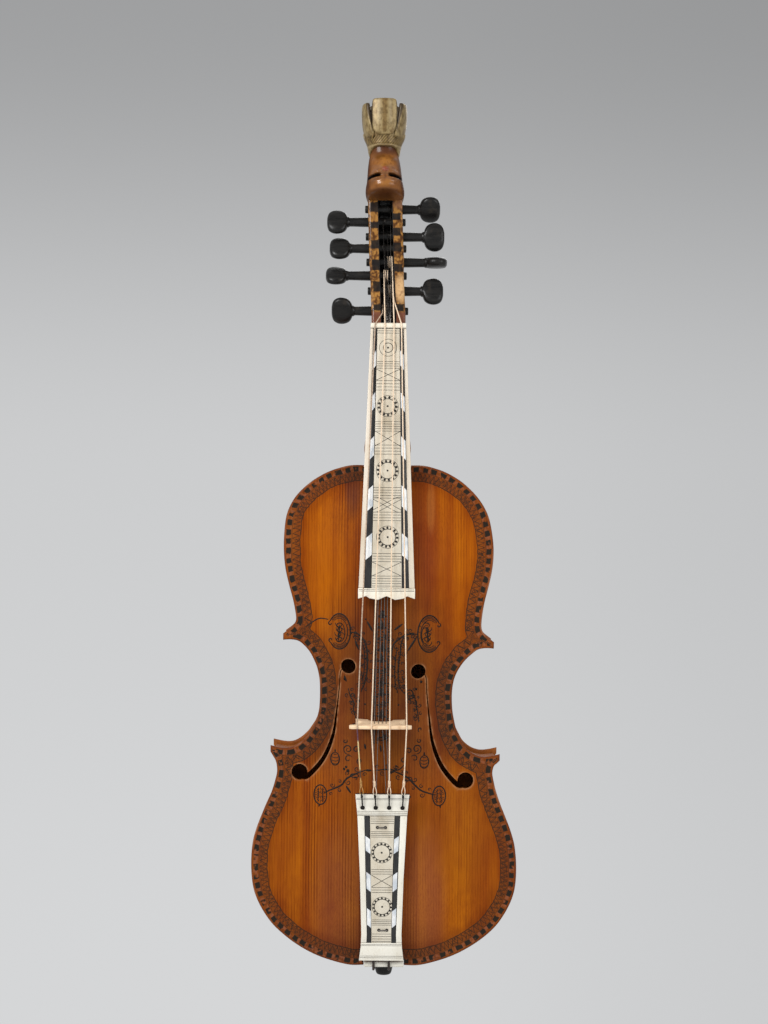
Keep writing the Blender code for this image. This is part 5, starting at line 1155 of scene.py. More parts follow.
class Face:
    """The front of a piece as a surface to draw on."""

    def __init__(self, piece):
        mesh = piece.data
        self.tree = BVHTree.FromPolygons([vertex.co for vertex in mesh.vertices],
                                         [list(polygon.vertices) for polygon in mesh.polygons])

    def lay(self, across, drop, lift):
        start = place(across, 1.0, drop)
        spot, normal, _, _ = self.tree.ray_cast(start, Vector((0.0, 1.0, 0.0)))
        if spot is None:
            spot, normal, _, _ = self.tree.find_nearest(place(across, 0.010, drop))
        if normal.y > 0:
            normal = -normal
        return spot + normal * lift


def neck_front(drop):
    return read_line(PEGBOX_FRONT, drop) if drop < 0 else NECK_FRONT_RISE + NECK_FRONT_SLOPE * drop


def neck_sections():
    """(drop, half width, front rise, back rise, squareness of front and of back) down the whole piece."""
    heel_end = BODY_TOP + PLATE_OVERHANG - GAP
    heel_back = -RIB_HEIGHT + GAP
    neck_back = NECK_FRONT_RISE - NECK_THICKNESS
    sections = [
        (-0.1345, 0.0098, -0.0106, -0.0292, 2.2, 2.2), (-0.1292, 0.0102, -0.0104, -0.0300, 2.2, 2.2),
        (-0.1255, 0.0105, -0.0096, -0.0308, 2.3, 2.3),
        (-0.1215, 0.0112, -0.0062, -0.0328, 2.4, 2.4), (-0.1170, 0.0118, -0.0024, -0.0345, 2.5, 2.5),
        (-0.1130, 0.0122, 0.0006, -0.0356, 2.5, 2.6), (-0.1095, 0.0125, 0.0016, -0.0362, 2.5, 2.6),
        (-0.1055, 0.0130, 0.0010, -0.0368, 2.5, 2.6), (-0.1015, 0.0138, 0.0008, -0.0376, 2.5, 2.8),
        (-0.0985, 0.0140, -0.0008, -0.0384, 2.6, 3.0), (-0.0964, 0.0136, -0.0054, -0.0389, 3.0, 3.2),
        (-0.0952, 0.0131, -0.0130, -0.0391, 5.0, 3.6)]
    for (drop, rise), depth in zip(PEGBOX_FRONT[:-1], PEGBOX_DEPTH):
        sections.append((drop, PEGBOX_HALF[drop > -0.045], rise, rise - depth, FLAT_FRONT, 5))
    sections += [(-0.0030, PEGBOX_HALF[1], NECK_FRONT_RISE, neck_back - 0.0005, FLAT_FRONT, 3.0),
                 (0.0060, NECK_HALF_AT_NUT, neck_front(0.0060), neck_back, FLAT_FRONT, 2.3)]
    for share in (0.25, 0.5, 0.72):
        drop = mix(0.0060, heel_end, share)
        sections.append((drop, mix(NECK_HALF_AT_NUT, NECK_HALF_AT_HEEL, share), neck_front(drop),
                         neck_back - 0.0010 * share, FLAT_FRONT, 2.2))
    for before_end, depth, narrow in ((0.0150, 0.22, 1.0), (0.0095, 0.52, 0.98), (0.0045, 0.84, 0.96),
                                      (0.0, 1.0, 0.95)):
        drop = heel_end - before_end
        sections.append((drop, NECK_HALF_AT_HEEL * narrow, neck_front(drop),
                         mix(neck_back - 0.001, heel_back, depth), FLAT_FRONT, mix(2.2, 2.6, depth)))
    return sections


def neck_back_at(drop):
    return read_line([(section[0], section[3]) for section in neck_sections()], drop)


def cheek(drop):
    """Half width of the pegbox at a drop."""
    return read_line([(section[0], section[1]) for section in neck_sections()], drop)


def hill(value, middle, reach):
    return np.exp(-((value - middle) / reach) ** 2)


def mouth_line(across):
    """Drop of the mouth at a distance from the middle of the face."""
    return MOUTH_DROP + MOUTH_FALL * np.minimum(np.abs(across) / 0.0115, 1.2) ** 1.5


def face_relief(across, drop):
    """Carving of the face over its plain shape: nose, lips, mouth, chin and brows."""
    off = np.abs(across)
    line = mouth_line(across)
    nose = 0.0026 * hill(across, 0.0, 0.0029) * hill(drop, -0.1126, 0.0030)
    bridge = 0.0009 * hill(across, 0.0, 0.0024) * hill(drop, -0.1185, 0.0060)
    nostril = -0.0009 * hill(off, 0.0017, 0.0008) * hill(drop, -0.1107, 0.0008)
    cheeks = 0.0019 * hill(off, 0.0064, 0.0038) * hill(drop, line - 0.0022, 0.0018)
    brows = 0.0008 * hill(off, 0.0052, 0.0036) * hill(drop, -0.1205, 0.0016)
    hollow = -0.0007 * hill(off, 0.0055, 0.0030) * hill(drop, -0.1165, 0.0022)
    open_share = np.clip((off - 0.0026) / 0.0014, 0.0, 1.0)
    mouth = -(0.0004 + 0.0052 * open_share) * hill(drop, line, 0.00080)
    lip = (0.0006 + 0.0009 * hill(off, 0.0060, 0.0034)) * hill(drop, line + 0.0019, 0.0011)
    chin = 0.0012 * hill(across, 0.0, 0.0080) * hill(drop, -0.1015, 0.0035)
    return nose + bridge + nostril + cheeks + brows + hollow + mouth + lip + chin


def neck_ring(drop, half, front, back, square_front, square_back, sides):
    """Evenly spaced points round a section of the neck, with the face's carving on the front."""
    turns = np.linspace(-0.25, 0.75, 721) * math.tau
    c, s = np.cos(turns), np.sin(turns)
    power = 2 / np.where(s > 0, max(square_front, 2.0), max(square_back, 2.0))
    across = half * np.sign(c) * np.abs(c) ** power
    rise = (front + back) / 2 + (front - back) / 2 * np.sign(s) * np.abs(s) ** power
    run = np.concatenate([[0.0], np.cumsum(np.hypot(np.diff(across), np.diff(rise)))])
    spots = np.linspace(0.0, run[-1], sides + 1)[:-1]
    across, rise = np.interp(spots, run, across), np.interp(spots, run, rise)
    if drop < -0.0950:
        facing = np.clip((rise - (front + back) / 2) / ((front - back) / 2) * 1.6, 0.0, 1.0)
        rise = rise + face_relief(across, drop) * facing
    return [place(head_lean(drop) + a, r, drop) for a, r in zip(across, rise)]


def boolean_cut(piece, cutters):
    """Takes each cutter out of a piece; the cut faces carry the cutter's finish."""
    for number, cutter in enumerate(cutters):
        change = piece.modifiers.new(f"cut_{number}", "BOOLEAN")
        change.operation = "DIFFERENCE"
        change.solver = "EXACT"
        change.object = cutter
    graph = bpy.context.evaluated_depsgraph_get()
    mesh = bpy.data.meshes.new_from_object(piece.evaluated_get(graph))
    piece.modifiers.clear()
    piece.data = mesh
    for cutter in cutters:
        bpy.data.objects.remove(cutter)


def cutter_object(name, parts, materials, index):
    mesh = mesh_of(name, *parts)
    for material in materials:
        mesh.materials.append(material)
    for polygon in mesh.polygons:
        polygon.material_index = index
    cutter = bpy.data.objects.new(name, mesh)
    bpy.context.scene.collection.objects.link(cutter)
    return cutter


def axis_ring(drop, rise, across, half_width, half_thickness, turn, sides=36):
    """A ring across a peg's axis, turned about it."""
    ring = []
    for i in range(sides):
        angle = math.tau * i / sides
        p, q = half_width * math.cos(angle), half_thickness * math.sin(angle)
        ring.append(place(across, rise + p * math.sin(turn) + q * math.cos(turn),
                          drop + p * math.cos(turn) - q * math.sin(turn)))
    return ring


def mark_neck(mesh):
    """Notes for the finish how far behind the front each point lies, for the painted shade on the sides and for the
    gloss, and where the mouth is open, for the painted shade in it.
    """
    aside = mesh.attributes.new("aside", "FLOAT", "POINT")
    mouth = mesh.attributes.new("mouth", "FLOAT", "POINT")
    origin = place(0.0, 0.0, 0.0)
    fronts = [(section[0], section[2]) for section in neck_sections()]
    for index, vertex in enumerate(mesh.vertices):
        drop = origin.z - vertex.co.z
        rise = origin.y - vertex.co.y
        across = vertex.co.x - origin.x - head_lean(drop)
        behind = read_line(fronts, drop) - rise
        aside.data[index].value = between(behind, 0.0015, 0.0120)
        if drop < -0.1:
            gap = abs(drop - mouth_line(across))
            open_share = between(abs(across), 0.0024, 0.0036) * between(behind, 0.0165, 0.0125)
            mouth.data[index].value = open_share * between(gap, 0.0015, 0.0008)


def make_neck(finishes):
    sections = neck_sections()
    dense = smooth_line(sections[:12], 6) + smooth_line(sections[12:], 5)
    head = [section for section in dense if section[0] < -0.0950]
    rest = [section for section in dense if section[0] >= -0.0950]
    columns = list(zip(*head))
    drops = np.arange(head[0][0], -0.0951, 0.00035)
    head = [(drop, *(float(np.interp(drop, columns[0], column)) for column in columns[1:])) for drop in drops]
    rings = [neck_ring(*section, 132) for section in head + rest]
    slots = [finishes["neck"], finishes["trough"]]
    piece = bpy.data.objects.new("neck_carved", mesh_of("neck_carved", *loft_parts(rings)))
    bpy.context.scene.collection.objects.link(piece)
    for material in slots:
        piece.data.materials.append(material)
    ways = []
    for drop in np.linspace(TROUGH_END, TROUGH_START, 24):
        floor = neck_back_at(drop) + TROUGH_FLOOR
        lean = head_lean(drop)
        top = neck_front(drop)
        half, edge = TROUGH_HALF, 0.0005
        profile = [(-half + 0.0012, floor), (half - 0.0012, floor), (half, floor + 0.0012), (half, top - edge),
                   (half + edge * 1.3, top + 0.0001), (half + edge * 1.3, 0.020), (-half - edge * 1.3, 0.020),
                   (-half - edge * 1.3, top + 0.0001), (-half, top - edge), (-half, floor + 0.0012)]
        ways.append([place(lean + a, rise, drop) for a, rise in profile])
    cutters = [cutter_object("way_trough", loft_parts(ways), slots, 1)]
    for name, side, drop, rise, *_ in PEGS:
        reach = cheek(drop) + 0.002
        rings = [axis_ring(drop, rise, head_lean(drop) + side * reach, PEG_RADIUS_AT_HEAD + 0.00015,
                           PEG_RADIUS_AT_HEAD + 0.00015, 0.0, 24),
                 axis_ring(drop, rise, head_lean(drop) - side * reach, PEG_RADIUS_AT_TIP + 0.00015,
                           PEG_RADIUS_AT_TIP + 0.00015, 0.0, 24)]
        cutters.append(cutter_object("way_" + name, loft_parts(rings), slots, 1))
    boolean_cut(piece, cutters)
    piece.data.shade_smooth()
    piece.data.set_sharp_from_angle(angle=math.radians(38))
    mark_neck(piece.data)
    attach(piece, "fiddle")
    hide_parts("neck_and_head")
    return piece


def subdivided(mesh, levels):
    """The mesh with its faces split and smoothed."""
    piece = bpy.data.objects.new("subdivided", mesh)
    bpy.context.scene.collection.objects.link(piece)
    change = piece.modifiers.new("smooth", "SUBSURF")
    change.levels = change.render_levels = levels
    graph = bpy.context.evaluated_depsgraph_get()
    made = bpy.data.meshes.new_from_object(piece.evaluated_get(graph))
    bpy.data.objects.remove(piece)
    return made


# The crown's cup from its lower rim up: (drop, radius) at the front and at the sides
CROWN_CUP = (
    ((-0.1314, 0.0100), (-0.1249, 0.0098)), ((-0.1315, 0.0117), (-0.1250, 0.0105)),
    ((-0.1321, 0.0124), (-0.1262, 0.0111)), ((-0.1329, 0.0124), (-0.1283, 0.0116)),
    ((-0.1337, 0.0120), (-0.1312, 0.0121)), ((-0.1360, 0.0121), (-0.1342, 0.0130)),
    ((-0.1385, 0.0124), (-0.1374, 0.0145)), ((-0.1402, 0.0128), (-0.1400, 0.0152)),
    ((-0.1412, 0.0126), (-0.1415, 0.0150)), ((-0.1416, 0.0100), (-0.1418, 0.0100)),
    ((-0.1416, 0.0008), (-0.1418, 0.0008)))
# A petal from its foot up: drop, radius and half angle in degrees
FRONT_PETAL = ((-0.1388, 0.0116, 16), (-0.1389, 0.0140, 22), (-0.1402, 0.0151, 30), (-0.1440, 0.0158, 36),
               (-0.1510, 0.0161, 38), (-0.1580, 0.0160, 38), (-0.1636, 0.0157, 37), (-0.1652, 0.0151, 33))
SIDE_PETAL = ((-0.1364, 0.0112, 50), (-0.1368, 0.0134, 56), (-0.1395, 0.0148, 60), (-0.1440, 0.0160, 56),
              (-0.1500, 0.0167, 50), (-0.1560, 0.0169, 46), (-0.1612, 0.0167, 44), (-0.1630, 0.0160, 40))


def petal_parts(turn, rows, hollow, spread=1.0):
    """A thick curved petal of the crown, hollow down its face by a depth."""
    middle = HANGER_RISE + 0.0012
    rings = []
    for index, (drop, radius, half_angle) in enumerate(rows):
        thick = mix(0.0042, 0.0027, index / (len(rows) - 1))
        outer, inner = [], []
        for column in range(9):
            u = column / 4 - 1
            angle = turn + u * math.radians(half_angle) * spread
            face = radius - hollow * (1 - u ** 2) * (index > 1)
            for line, reach in ((outer, face), (inner, face - thick)):
                line.append(place(head_lean(-0.145) + reach * math.sin(angle), middle + reach * math.cos(angle),
                                  drop))
        rings.append(outer + inner[::-1])
    return loft_parts(rings)


def make_crown(material):
    """A hatched cup, lower at the sides than at the front, with four petals rising from it."""
    middle = HANGER_RISE + 0.0012
    rings = []
    for front, side in zip(*(smooth_line(line, 4) for line in zip(*CROWN_CUP))):
        ring = []
        for i in range(96):
            angle = math.tau * i / 96
            aside = abs(math.sin(angle)) ** 5
            drop, radius = mix(front[0], side[0], aside), mix(front[1], side[1], aside)
            ring.append(place(head_lean(drop) + radius * math.sin(angle), middle + radius * math.cos(angle), drop))
        rings.append(ring)
    parts = [loft_parts(rings)]
    for index in range(4):
        rows, hollow = (SIDE_PETAL, 0.0003) if index % 2 else (FRONT_PETAL, 0.0011)
        spread = 1.35 if index == 2 else 1.0
        cage = mesh_of("petal", *petal_parts(math.pi / 2 * index, rows, hollow, spread), sharp=180)
        petal = subdivided(cage, 2)
        parts.append(([vertex.co.copy() for vertex in petal.vertices],
                      [list(polygon.vertices) for polygon in petal.polygons]))
    add_piece("crown_carved", mesh_of("crown_carved", *joined(parts), sharp=60), [material], ["crown"])


def make_peg(name, side, drop, rise, shank, turn, material):
    """A turned shank that spreads into a flat oval head."""
    centre = head_lean(drop)
    cheek_face = centre + side * cheek(drop)
    tip = centre - side * (cheek(drop) + PEG_TIP_PROUD)
    neck = cheek_face + side * shank
    wide, thick = PEG_HEAD_HALF_WIDTH, PEG_HEAD_HALF_THICKNESS
    taper = mix(PEG_RADIUS_AT_HEAD, PEG_RADIUS_AT_TIP, 0.1)
    shaft = [(tip, PEG_RADIUS_AT_TIP * 0.55, PEG_RADIUS_AT_TIP * 0.55),
             (tip + side * 0.0002, PEG_RADIUS_AT_TIP * 0.82, PEG_RADIUS_AT_TIP * 0.82),
             (tip + side * 0.0008, PEG_RADIUS_AT_TIP, PEG_RADIUS_AT_TIP)]
    shaft += [(mix(tip + side * 0.0008, cheek_face, share), mix(PEG_RADIUS_AT_TIP, PEG_RADIUS_AT_HEAD, share),
               mix(PEG_RADIUS_AT_TIP, PEG_RADIUS_AT_HEAD, share)) for share in (0.25, 0.5, 0.75, 1.0)]
    head = [(neck - side * 0.0022, taper * 0.94, taper * 0.94), (neck - side * 0.0008, taper * 1.00, taper * 0.98),
            (neck, taper * 1.16, taper * 1.06), (neck + side * 0.0008, taper * 1.22, taper * 1.08)]
    head += [(neck + side * PEG_HEAD_LENGTH * along, wide * a, thick * b) for along, a, b in (
        (0.07, 0.52, 0.92), (0.15, 0.76, 0.97), (0.30, 0.94, 1.0), (0.50, 1.02, 1.0), (0.70, 0.99, 0.97),
        (0.86, 0.85, 0.90), (0.95, 0.64, 0.76), (1.0, 0.34, 0.45))]
    angle = math.radians(turn)
    rings = []
    for across, a, b in smooth_line(shaft + head, 4):
        ring = []
        flat = between(a / max(b, 1e-6), 1.2, 2.0)
        power = mix(1.0, 0.86, flat)
        for i in range(40):
            way = math.tau * i / 40
            c, s = math.cos(way), math.sin(way)
            p, q = a * math.copysign(abs(c) ** power, c), b * math.copysign(abs(s) ** power, s)
            ring.append(place(across, rise + p * math.sin(angle) + q * math.cos(angle),
                              drop + p * math.cos(angle) - q * math.sin(angle)))
        rings.append(ring)
    add_piece(name + "_turned", mesh_of(name + "_turned", *loft_parts(rings), sharp=50), [material], [name],
              name)


# Inked ornament of the belly

# How much broader than drawn the pen was
PEN = 1.8
# Stems: half width of the pen, length and pitch of the ticks on its two sides, and points as (across, drop)
STEMS = (
    (0.00032, (0.0, 0.0012), 0.0022, ((-0.0255, 0.2165), (-0.0200, 0.2175), (-0.0160, 0.2215), (-0.0135, 0.2280),
                                      (-0.0130, 0.2365), (-0.0135, 0.2455), (-0.0150, 0.2525), (-0.0175, 0.2585))),
    (0.00020, (0.0010, 0.0), 0.0026, ((-0.0235, 0.2195), (-0.0195, 0.2200), (-0.0170, 0.2240), (-0.0155, 0.2290),
                                      (-0.0150, 0.2365), (-0.0155, 0.2450), (-0.0170, 0.2510))),
    (0.00034, (0.0, 0.0), 0.0030, ((0.0220, 0.2175), (0.0150, 0.2175), (0.0100, 0.2200), (0.0055, 0.2240),
                                   (0.0040, 0.2290), (0.0035, 0.2330))),
    (0.00026, (0.0011, 0.0), 0.0024, ((0.0200, 0.2165), (0.0135, 0.2180), (0.0105, 0.2240), (0.0100, 0.2305),
                                      (0.0090, 0.2365), (0.0085, 0.2435), (0.0090, 0.2510), (0.0105, 0.2560),
                                      (0.0135, 0.2595))),
    (0.00020, (0.0, 0.0008), 0.0024, ((0.0075, 0.2290), (0.0065, 0.2370), (0.0062, 0.2440), (0.0068, 0.2520),
                                      (0.0085, 0.2590))),
    (0.00022, (0.0, 0.0007), 0.0020, ((-0.0265, 0.2565), (-0.0250, 0.2620), (-0.0225, 0.2660), (-0.0225, 0.2720),
                                      (-0.0205, 0.2775))),
    (0.00022, (0.0007, 0.0), 0.0020, ((0.0175, 0.2565), (0.0200, 0.2610), (0.0215, 0.2670), (0.0225, 0.2730),
                                      (0.0235, 0.2800))),
    (0.00034, (0.0, 0.0), 0.0030, ((-0.0140, 0.3130), (-0.0210, 0.3160), (-0.0270, 0.3195), (-0.0305, 0.3240),
                                   (-0.0350, 0.3265), (-0.0395, 0.3285), (-0.0430, 0.3305))),
    (0.00034, (0.0, 0.0), 0.0030, ((0.0055, 0.3130), (0.0150, 0.3175), (0.0205, 0.3230), (0.0255, 0.3275),
                                   (0.0320, 0.3300), (0.0350, 0.3310))),
    (0.00028, (0.0, 0.0), 0.0030, ((-0.0070, 0.3130), (0.0010, 0.3120), (0.0090, 0.3125), (0.0135, 0.3090))),
    (0.00024, (0.0, 0.0), 0.0030, ((-0.0550, 0.2120), (-0.0480, 0.2075), (-0.0410, 0.2080))),
)
# Rows of small curls along a stem: its place in the table above, pitch and reach
TENDRILS = ((0, 0.0034, 0.0026), (1, 0.0034, 0.0022), (2, 0.0034, 0.0024), (3, 0.0033, 0.0026),
            (4, 0.0034, 0.0020), (5, 0.0030, 0.0022), (6, 0.0030, 0.0022), (7, 0.0036, 0.0026),
            (8, 0.0036, 0.0026), (9, 0.0034, 0.0024))
# Single strokes of the pen, from and to
DASHES = (((-0.0135, 0.2085), (-0.0095, 0.2155)), ((0.0115, 0.2100), (0.0055, 0.2145)),
          ((0.0215, 0.2195), (0.0150, 0.2295)), ((-0.0220, 0.2225), (-0.0190, 0.2290)),
          ((-0.0140, 0.3130), (-0.0095, 0.3130)), ((0.0030, 0.3138), (0.0065, 0.3138)),
          ((-0.0275, 0.3245), (-0.0240, 0.3295)), ((0.0180, 0.3310), (0.0160, 0.3335)),
          ((-0.0035, 0.2950), (-0.0030, 0.3000)), ((-0.0145, 0.2945), (-0.0140, 0.2985)),
          ((-0.0295, 0.2475), (-0.0280, 0.2520)))
# Dots: place and radius
DOTS = (((-0.0145, 0.2070), 0.0006), ((0.0145, 0.2305), 0.0006), ((-0.0145, 0.2670), 0.0007),
        ((0.0090, 0.2670), 0.0007), ((-0.0290, 0.2500), 0.0011), ((0.0250, 0.2515), 0.0010),
        ((0.0215, 0.2565), 0.0009), ((0.0195, 0.2615), 0.0010), ((-0.0180, 0.2305), 0.0005),
        ((-0.0290, 0.3130), 0.0009), ((-0.0262, 0.3140), 0.0011), ((-0.0275, 0.3115), 0.0009))
# Curls: centre, radius, turns, start in turns from the treble side, clockwise as seen, and hand
CURLS = (((0.0168, 0.2596), 0.0032, 1.5, 0.5, 1), ((0.0168, 0.2596), 0.0044, 0.6, 0.1, 1),
         ((0.0205, 0.2660), 0.0018, 1.2, 0.7, 1), ((0.0205, 0.2702), 0.0018, 1.2, 0.7, 1),
         ((0.0205, 0.2755), 0.0018, 1.2, 0.7, 1), ((-0.0235, 0.2615), 0.0020, 1.3, 0.2, -1),
         ((-0.0238, 0.2672), 0.0020, 1.3, 0.2, -1), ((-0.0232, 0.2735), 0.0018, 1.2, 0.2, -1),
         ((-0.0263, 0.2992), 0.0036, 1.6, 0.2, 1), ((-0.0285, 0.2935), 0.0018, 1.1, 0.9, 1),
         ((0.0222, 0.2984), 0.0036, 1.6, 0.3, -1), ((0.0240, 0.2925), 0.0018, 1.1, 0.6, -1),
         ((-0.0260, 0.3060), 0.0030, 0.9, 0.9, -1), ((0.0205, 0.3050), 0.0028, 0.9, 0.6, 1),
         ((-0.0205, 0.2990), 0.0028, 1.3, 0.1, -1), ((0.0165, 0.2995), 0.0026, 1.3, 0.4, 1),
         ((-0.0200, 0.2650), 0.0022, 1.2, 0.6, 1), ((0.0160, 0.2650), 0.0020, 1.2, 0.2, -1),
         ((-0.0180, 0.3070), 0.0022, 1.1, 0.3, 1), ((0.0130, 0.3060), 0.0020, 1.1, 0.8, -1),
         ((0.0245, 0.2850), 0.0018, 1.0, 0.3, 1), ((-0.0225, 0.2825), 0.0018, 1.0, 0.1, -1),
         ((0.0125, 0.2475), 0.0020, 1.1, 0.9, 1), ((0.0122, 0.2545), 0.0018, 1.1, 0.1, -1),
         ((0.0118, 0.2250), 0.0018, 1.0, 0.4, 1), ((-0.0175, 0.2475), 0.0018, 1.1, 0.4, -1),
         ((-0.0195, 0.2545), 0.0018, 1.1, 0.6, 1), ((-0.0185, 0.2215), 0.0016, 1.0, 0.2, -1))


def brush_parts(line, half, lay, ends=0.35):
    """A stroke of the pen that swells from its ends to its middle."""
    run = resample(line, 0.0008, 3)
    width = PEN * half * (ends + (1 - ends) * np.sin(np.pi * np.linspace(0.0, 1.0, len(run))) ** 0.6)
    return stroke_parts(run, width, lay)


def tick_parts(line, pitch, reach, half, lay):
    """Short strokes across a line, each reaching to its left and to its right."""
    run = resample(line, 0.0004, 4)
    ahead = np.gradient(run, axis=0)
    out = np.stack([-ahead[:, 1], ahead[:, 0]], axis=1) / np.hypot(*ahead.T)[:, None]
    return [brush_parts([run[i] - out[i] * reach[0], run[i] + out[i] * reach[1]], half, lay)
            for i in range(3, len(run) - 3, max(int(pitch / 0.0004), 1))]


def oval_line(centre, reach, start, end, steps=30):
    """Points along an oval, from one angle to another in turns, clockwise as seen from the treble side."""
    return [(centre[0] + reach[0] * math.cos(math.tau * turn), centre[1] + reach[1] * math.sin(math.tau * turn))
            for turn in np.linspace(start, end, steps)]


def curl_line(centre, radius, turns, start, hand):
    """A spiral that closes on its centre."""
    steps = int(turns * 20)
    return [(centre[0] + radius * (1 - 0.85 * step / steps) * math.cos(math.tau * (start + hand * turns * step / steps)),
             centre[1] + radius * (1 - 0.85 * step / steps) * math.sin(math.tau * (start + hand * turns * step / steps)))
            for step in range(steps + 1)]


def leaf_parts(centre, core, reach, side, lay):
    """A C-shaped leaf open to one side: a double line with ticks between, hooks at its ends and a scribbled core."""
    def oval(share, start, end):
        return oval_line(centre, (side * reach[0] * share, reach[1] * share), start, end, 60)

    outer, inner = oval(1.0, -0.10, -0.89), oval(0.74, -0.15, -0.84)
    parts = [brush_parts(outer, 0.00028, lay, 0.7), brush_parts(inner, 0.00018, lay, 0.5)]
    for end, way in ((outer[0], 1), (outer[-1], -1)):
        hook = curl_line((end[0] - side * 0.0002, end[1] + way * 0.0018), 0.0018, 1.0, 0.75 if way > 0 else 0.25,
                         side * way)
        parts.append(brush_parts(hook, 0.00024, lay))
    for turn in list(np.arange(-0.13, -0.37, -0.017)) + list(np.arange(-0.42, -0.58, -0.06)) + list(
            np.arange(-0.63, -0.86, -0.017)):
        ends = [(centre[0] + side * reach[0] * share * math.cos(math.tau * turn),
                 centre[1] + reach[1] * share * math.sin(math.tau * turn)) for share in (0.78, 0.98)]
        parts.append(brush_parts(ends, 0.00014, lay))
    parts.append(brush_parts(oval_line(core, (side * 0.0038, 0.0068), -0.22, -0.80), 0.00018, lay))
    for row in range(8):
        middle = (core[0] + side * 0.0005 * math.sin(row * 2.1), core[1] + (row - 3.5) * 0.0017)
        parts.append(brush_parts(curl_line(middle, 0.0031, 0.75, 0.95 if row % 2 else 0.55, side), 0.00020, lay))
    parts.append(brush_parts([(core[0], core[1] - 0.0055), (core[0] + side * 0.0008, core[1] + 0.0060)], 0.00030, lay))
    return parts


def bud_parts(centre, reach, side, lay):
    """A closed bud: an upright oval with a point, crossed by small arcs."""
    parts = [brush_parts(oval_line(centre, reach, 0.75, 0.20), 0.00024, lay),
             brush_parts(oval_line(centre, reach, -0.25, 0.30), 0.00024, lay),
             brush_parts([(centre[0], centre[1] - reach[1] * 1.5), (centre[0], centre[1] - reach[1] * 0.9)], 0.00030,
                         lay)]
    rows = max(int(reach[1] * 2 / 0.0019), 3)
    for row in range(rows):
        drop = centre[1] + reach[1] * (2 * (row + 0.5) / rows - 1)
        half = reach[0] * math.sqrt(max(1 - ((drop - centre[1]) / reach[1]) ** 2, 0.04)) * 0.85
        parts.append(brush_parts(oval_line((centre[0], drop - half * 0.3), (half, half * 0.5), 0.02, 0.48, 10),
                                 0.00015, lay))
    return parts


def shell_parts(centre, reach, side, lay):
    """A shell at the end of a branch: rows of small ticks inside an oval line."""
    parts = [brush_parts(oval_line(centre, reach, 0.0, 1.0, 40), 0.00026, lay, 0.8)]
    for share in (0.66, 0.30):
        ring = oval_line(centre, (reach[0] * share, reach[1] * share), 0.0, 1.0, 40)
        parts += tick_parts(ring, 0.0015, (0.0009, 0.0009), 0.00015, lay)
    for across in (-0.3, 0.3):
        parts.append(brush_parts([(centre[0] + reach[0] * across, centre[1] - reach[1] * 0.7),
                                  (centre[0] + reach[0] * across * 1.2, centre[1] + reach[1] * 0.75)], 0.00018, lay))
    parts.append(brush_parts([(centre[0] + side * 0.0005, centre[1] + reach[1] * 0.95),
                              (centre[0] + side * 0.0010, centre[1] + reach[1] * 1.25)], 0.00030, lay))
    return parts


def column_parts(top, bottom, lay):
    """The band down the middle: upright lines, dotted rows between them and darker marks, fading at its ends."""
    parts = []
    for number, across in enumerate((-0.0085, -0.0071, -0.0042, -0.0012, 0.0006, 0.0024)):
        begin = top + 0.0035 * (number % 3)
        line = [(across + 0.0003 * math.sin(drop * 310 + number * 2.3) * (drop > top + 0.02), drop)
                for drop in np.arange(begin, bottom - 0.002 * (number % 2), 0.004)]
        parts.append(brush_parts(line, 0.00019 if number % 2 else 0.00023, lay, 0.3))
    for number, across in enumerate((-0.0078, -0.0057, -0.0027, 0.0015)):
        for step, drop in enumerate(np.arange(top + 0.016, bottom - 0.002, 0.0019)):
            size = 0.00050 + 0.00020 * math.sin(step * 1.9 + number)
            parts.append(blot_parts(circle((across + 0.0002 * math.sin(step * 2.7), drop), size, 8), lay))
    for step, drop in enumerate(np.arange(top + 0.009, bottom, 0.0078)):
        across = (-0.0027, -0.0035, -0.0015)[step % 3]
        long = 0.0026 + 0.0010 * math.sin(step * 2.2)
        parts.append(brush_parts([(across, drop - long), (across + 0.0004, drop), (across, drop + long)], 0.00065,
                                 lay, 0.2))
        parts.append(brush_parts(oval_line((-0.0030, drop + 0.003), (0.0032, 0.0020), 0.55, 0.95, 12), 0.00030, lay))
        parts.append(brush_parts(oval_line((-0.0030, drop + 0.001), (0.0034, 0.0018), 0.05, 0.45, 12), 0.00022, lay))
    return parts


def tendril_parts(line, pitch, reach, lay):
    """Small curls along a stem, on its two sides in turn."""
    run = resample(line, 0.0004, 4)
    ahead = np.gradient(run, axis=0)
    out = np.stack([-ahead[:, 1], ahead[:, 0]], axis=1) / np.hypot(*ahead.T)[:, None]
    parts = []
    for number, i in enumerate(range(4, len(run) - 4, int(pitch / 0.0004))):
        side = 1 if number % 2 else -1
        centre = tuple(run[i] + side * reach * out[i])
        radius = reach * (0.62 + 0.14 * math.sin(number * 2.1))
        parts.append(brush_parts(curl_line(centre, radius, 1.25, 0.13 * number, side), 0.00017, lay))
    return parts


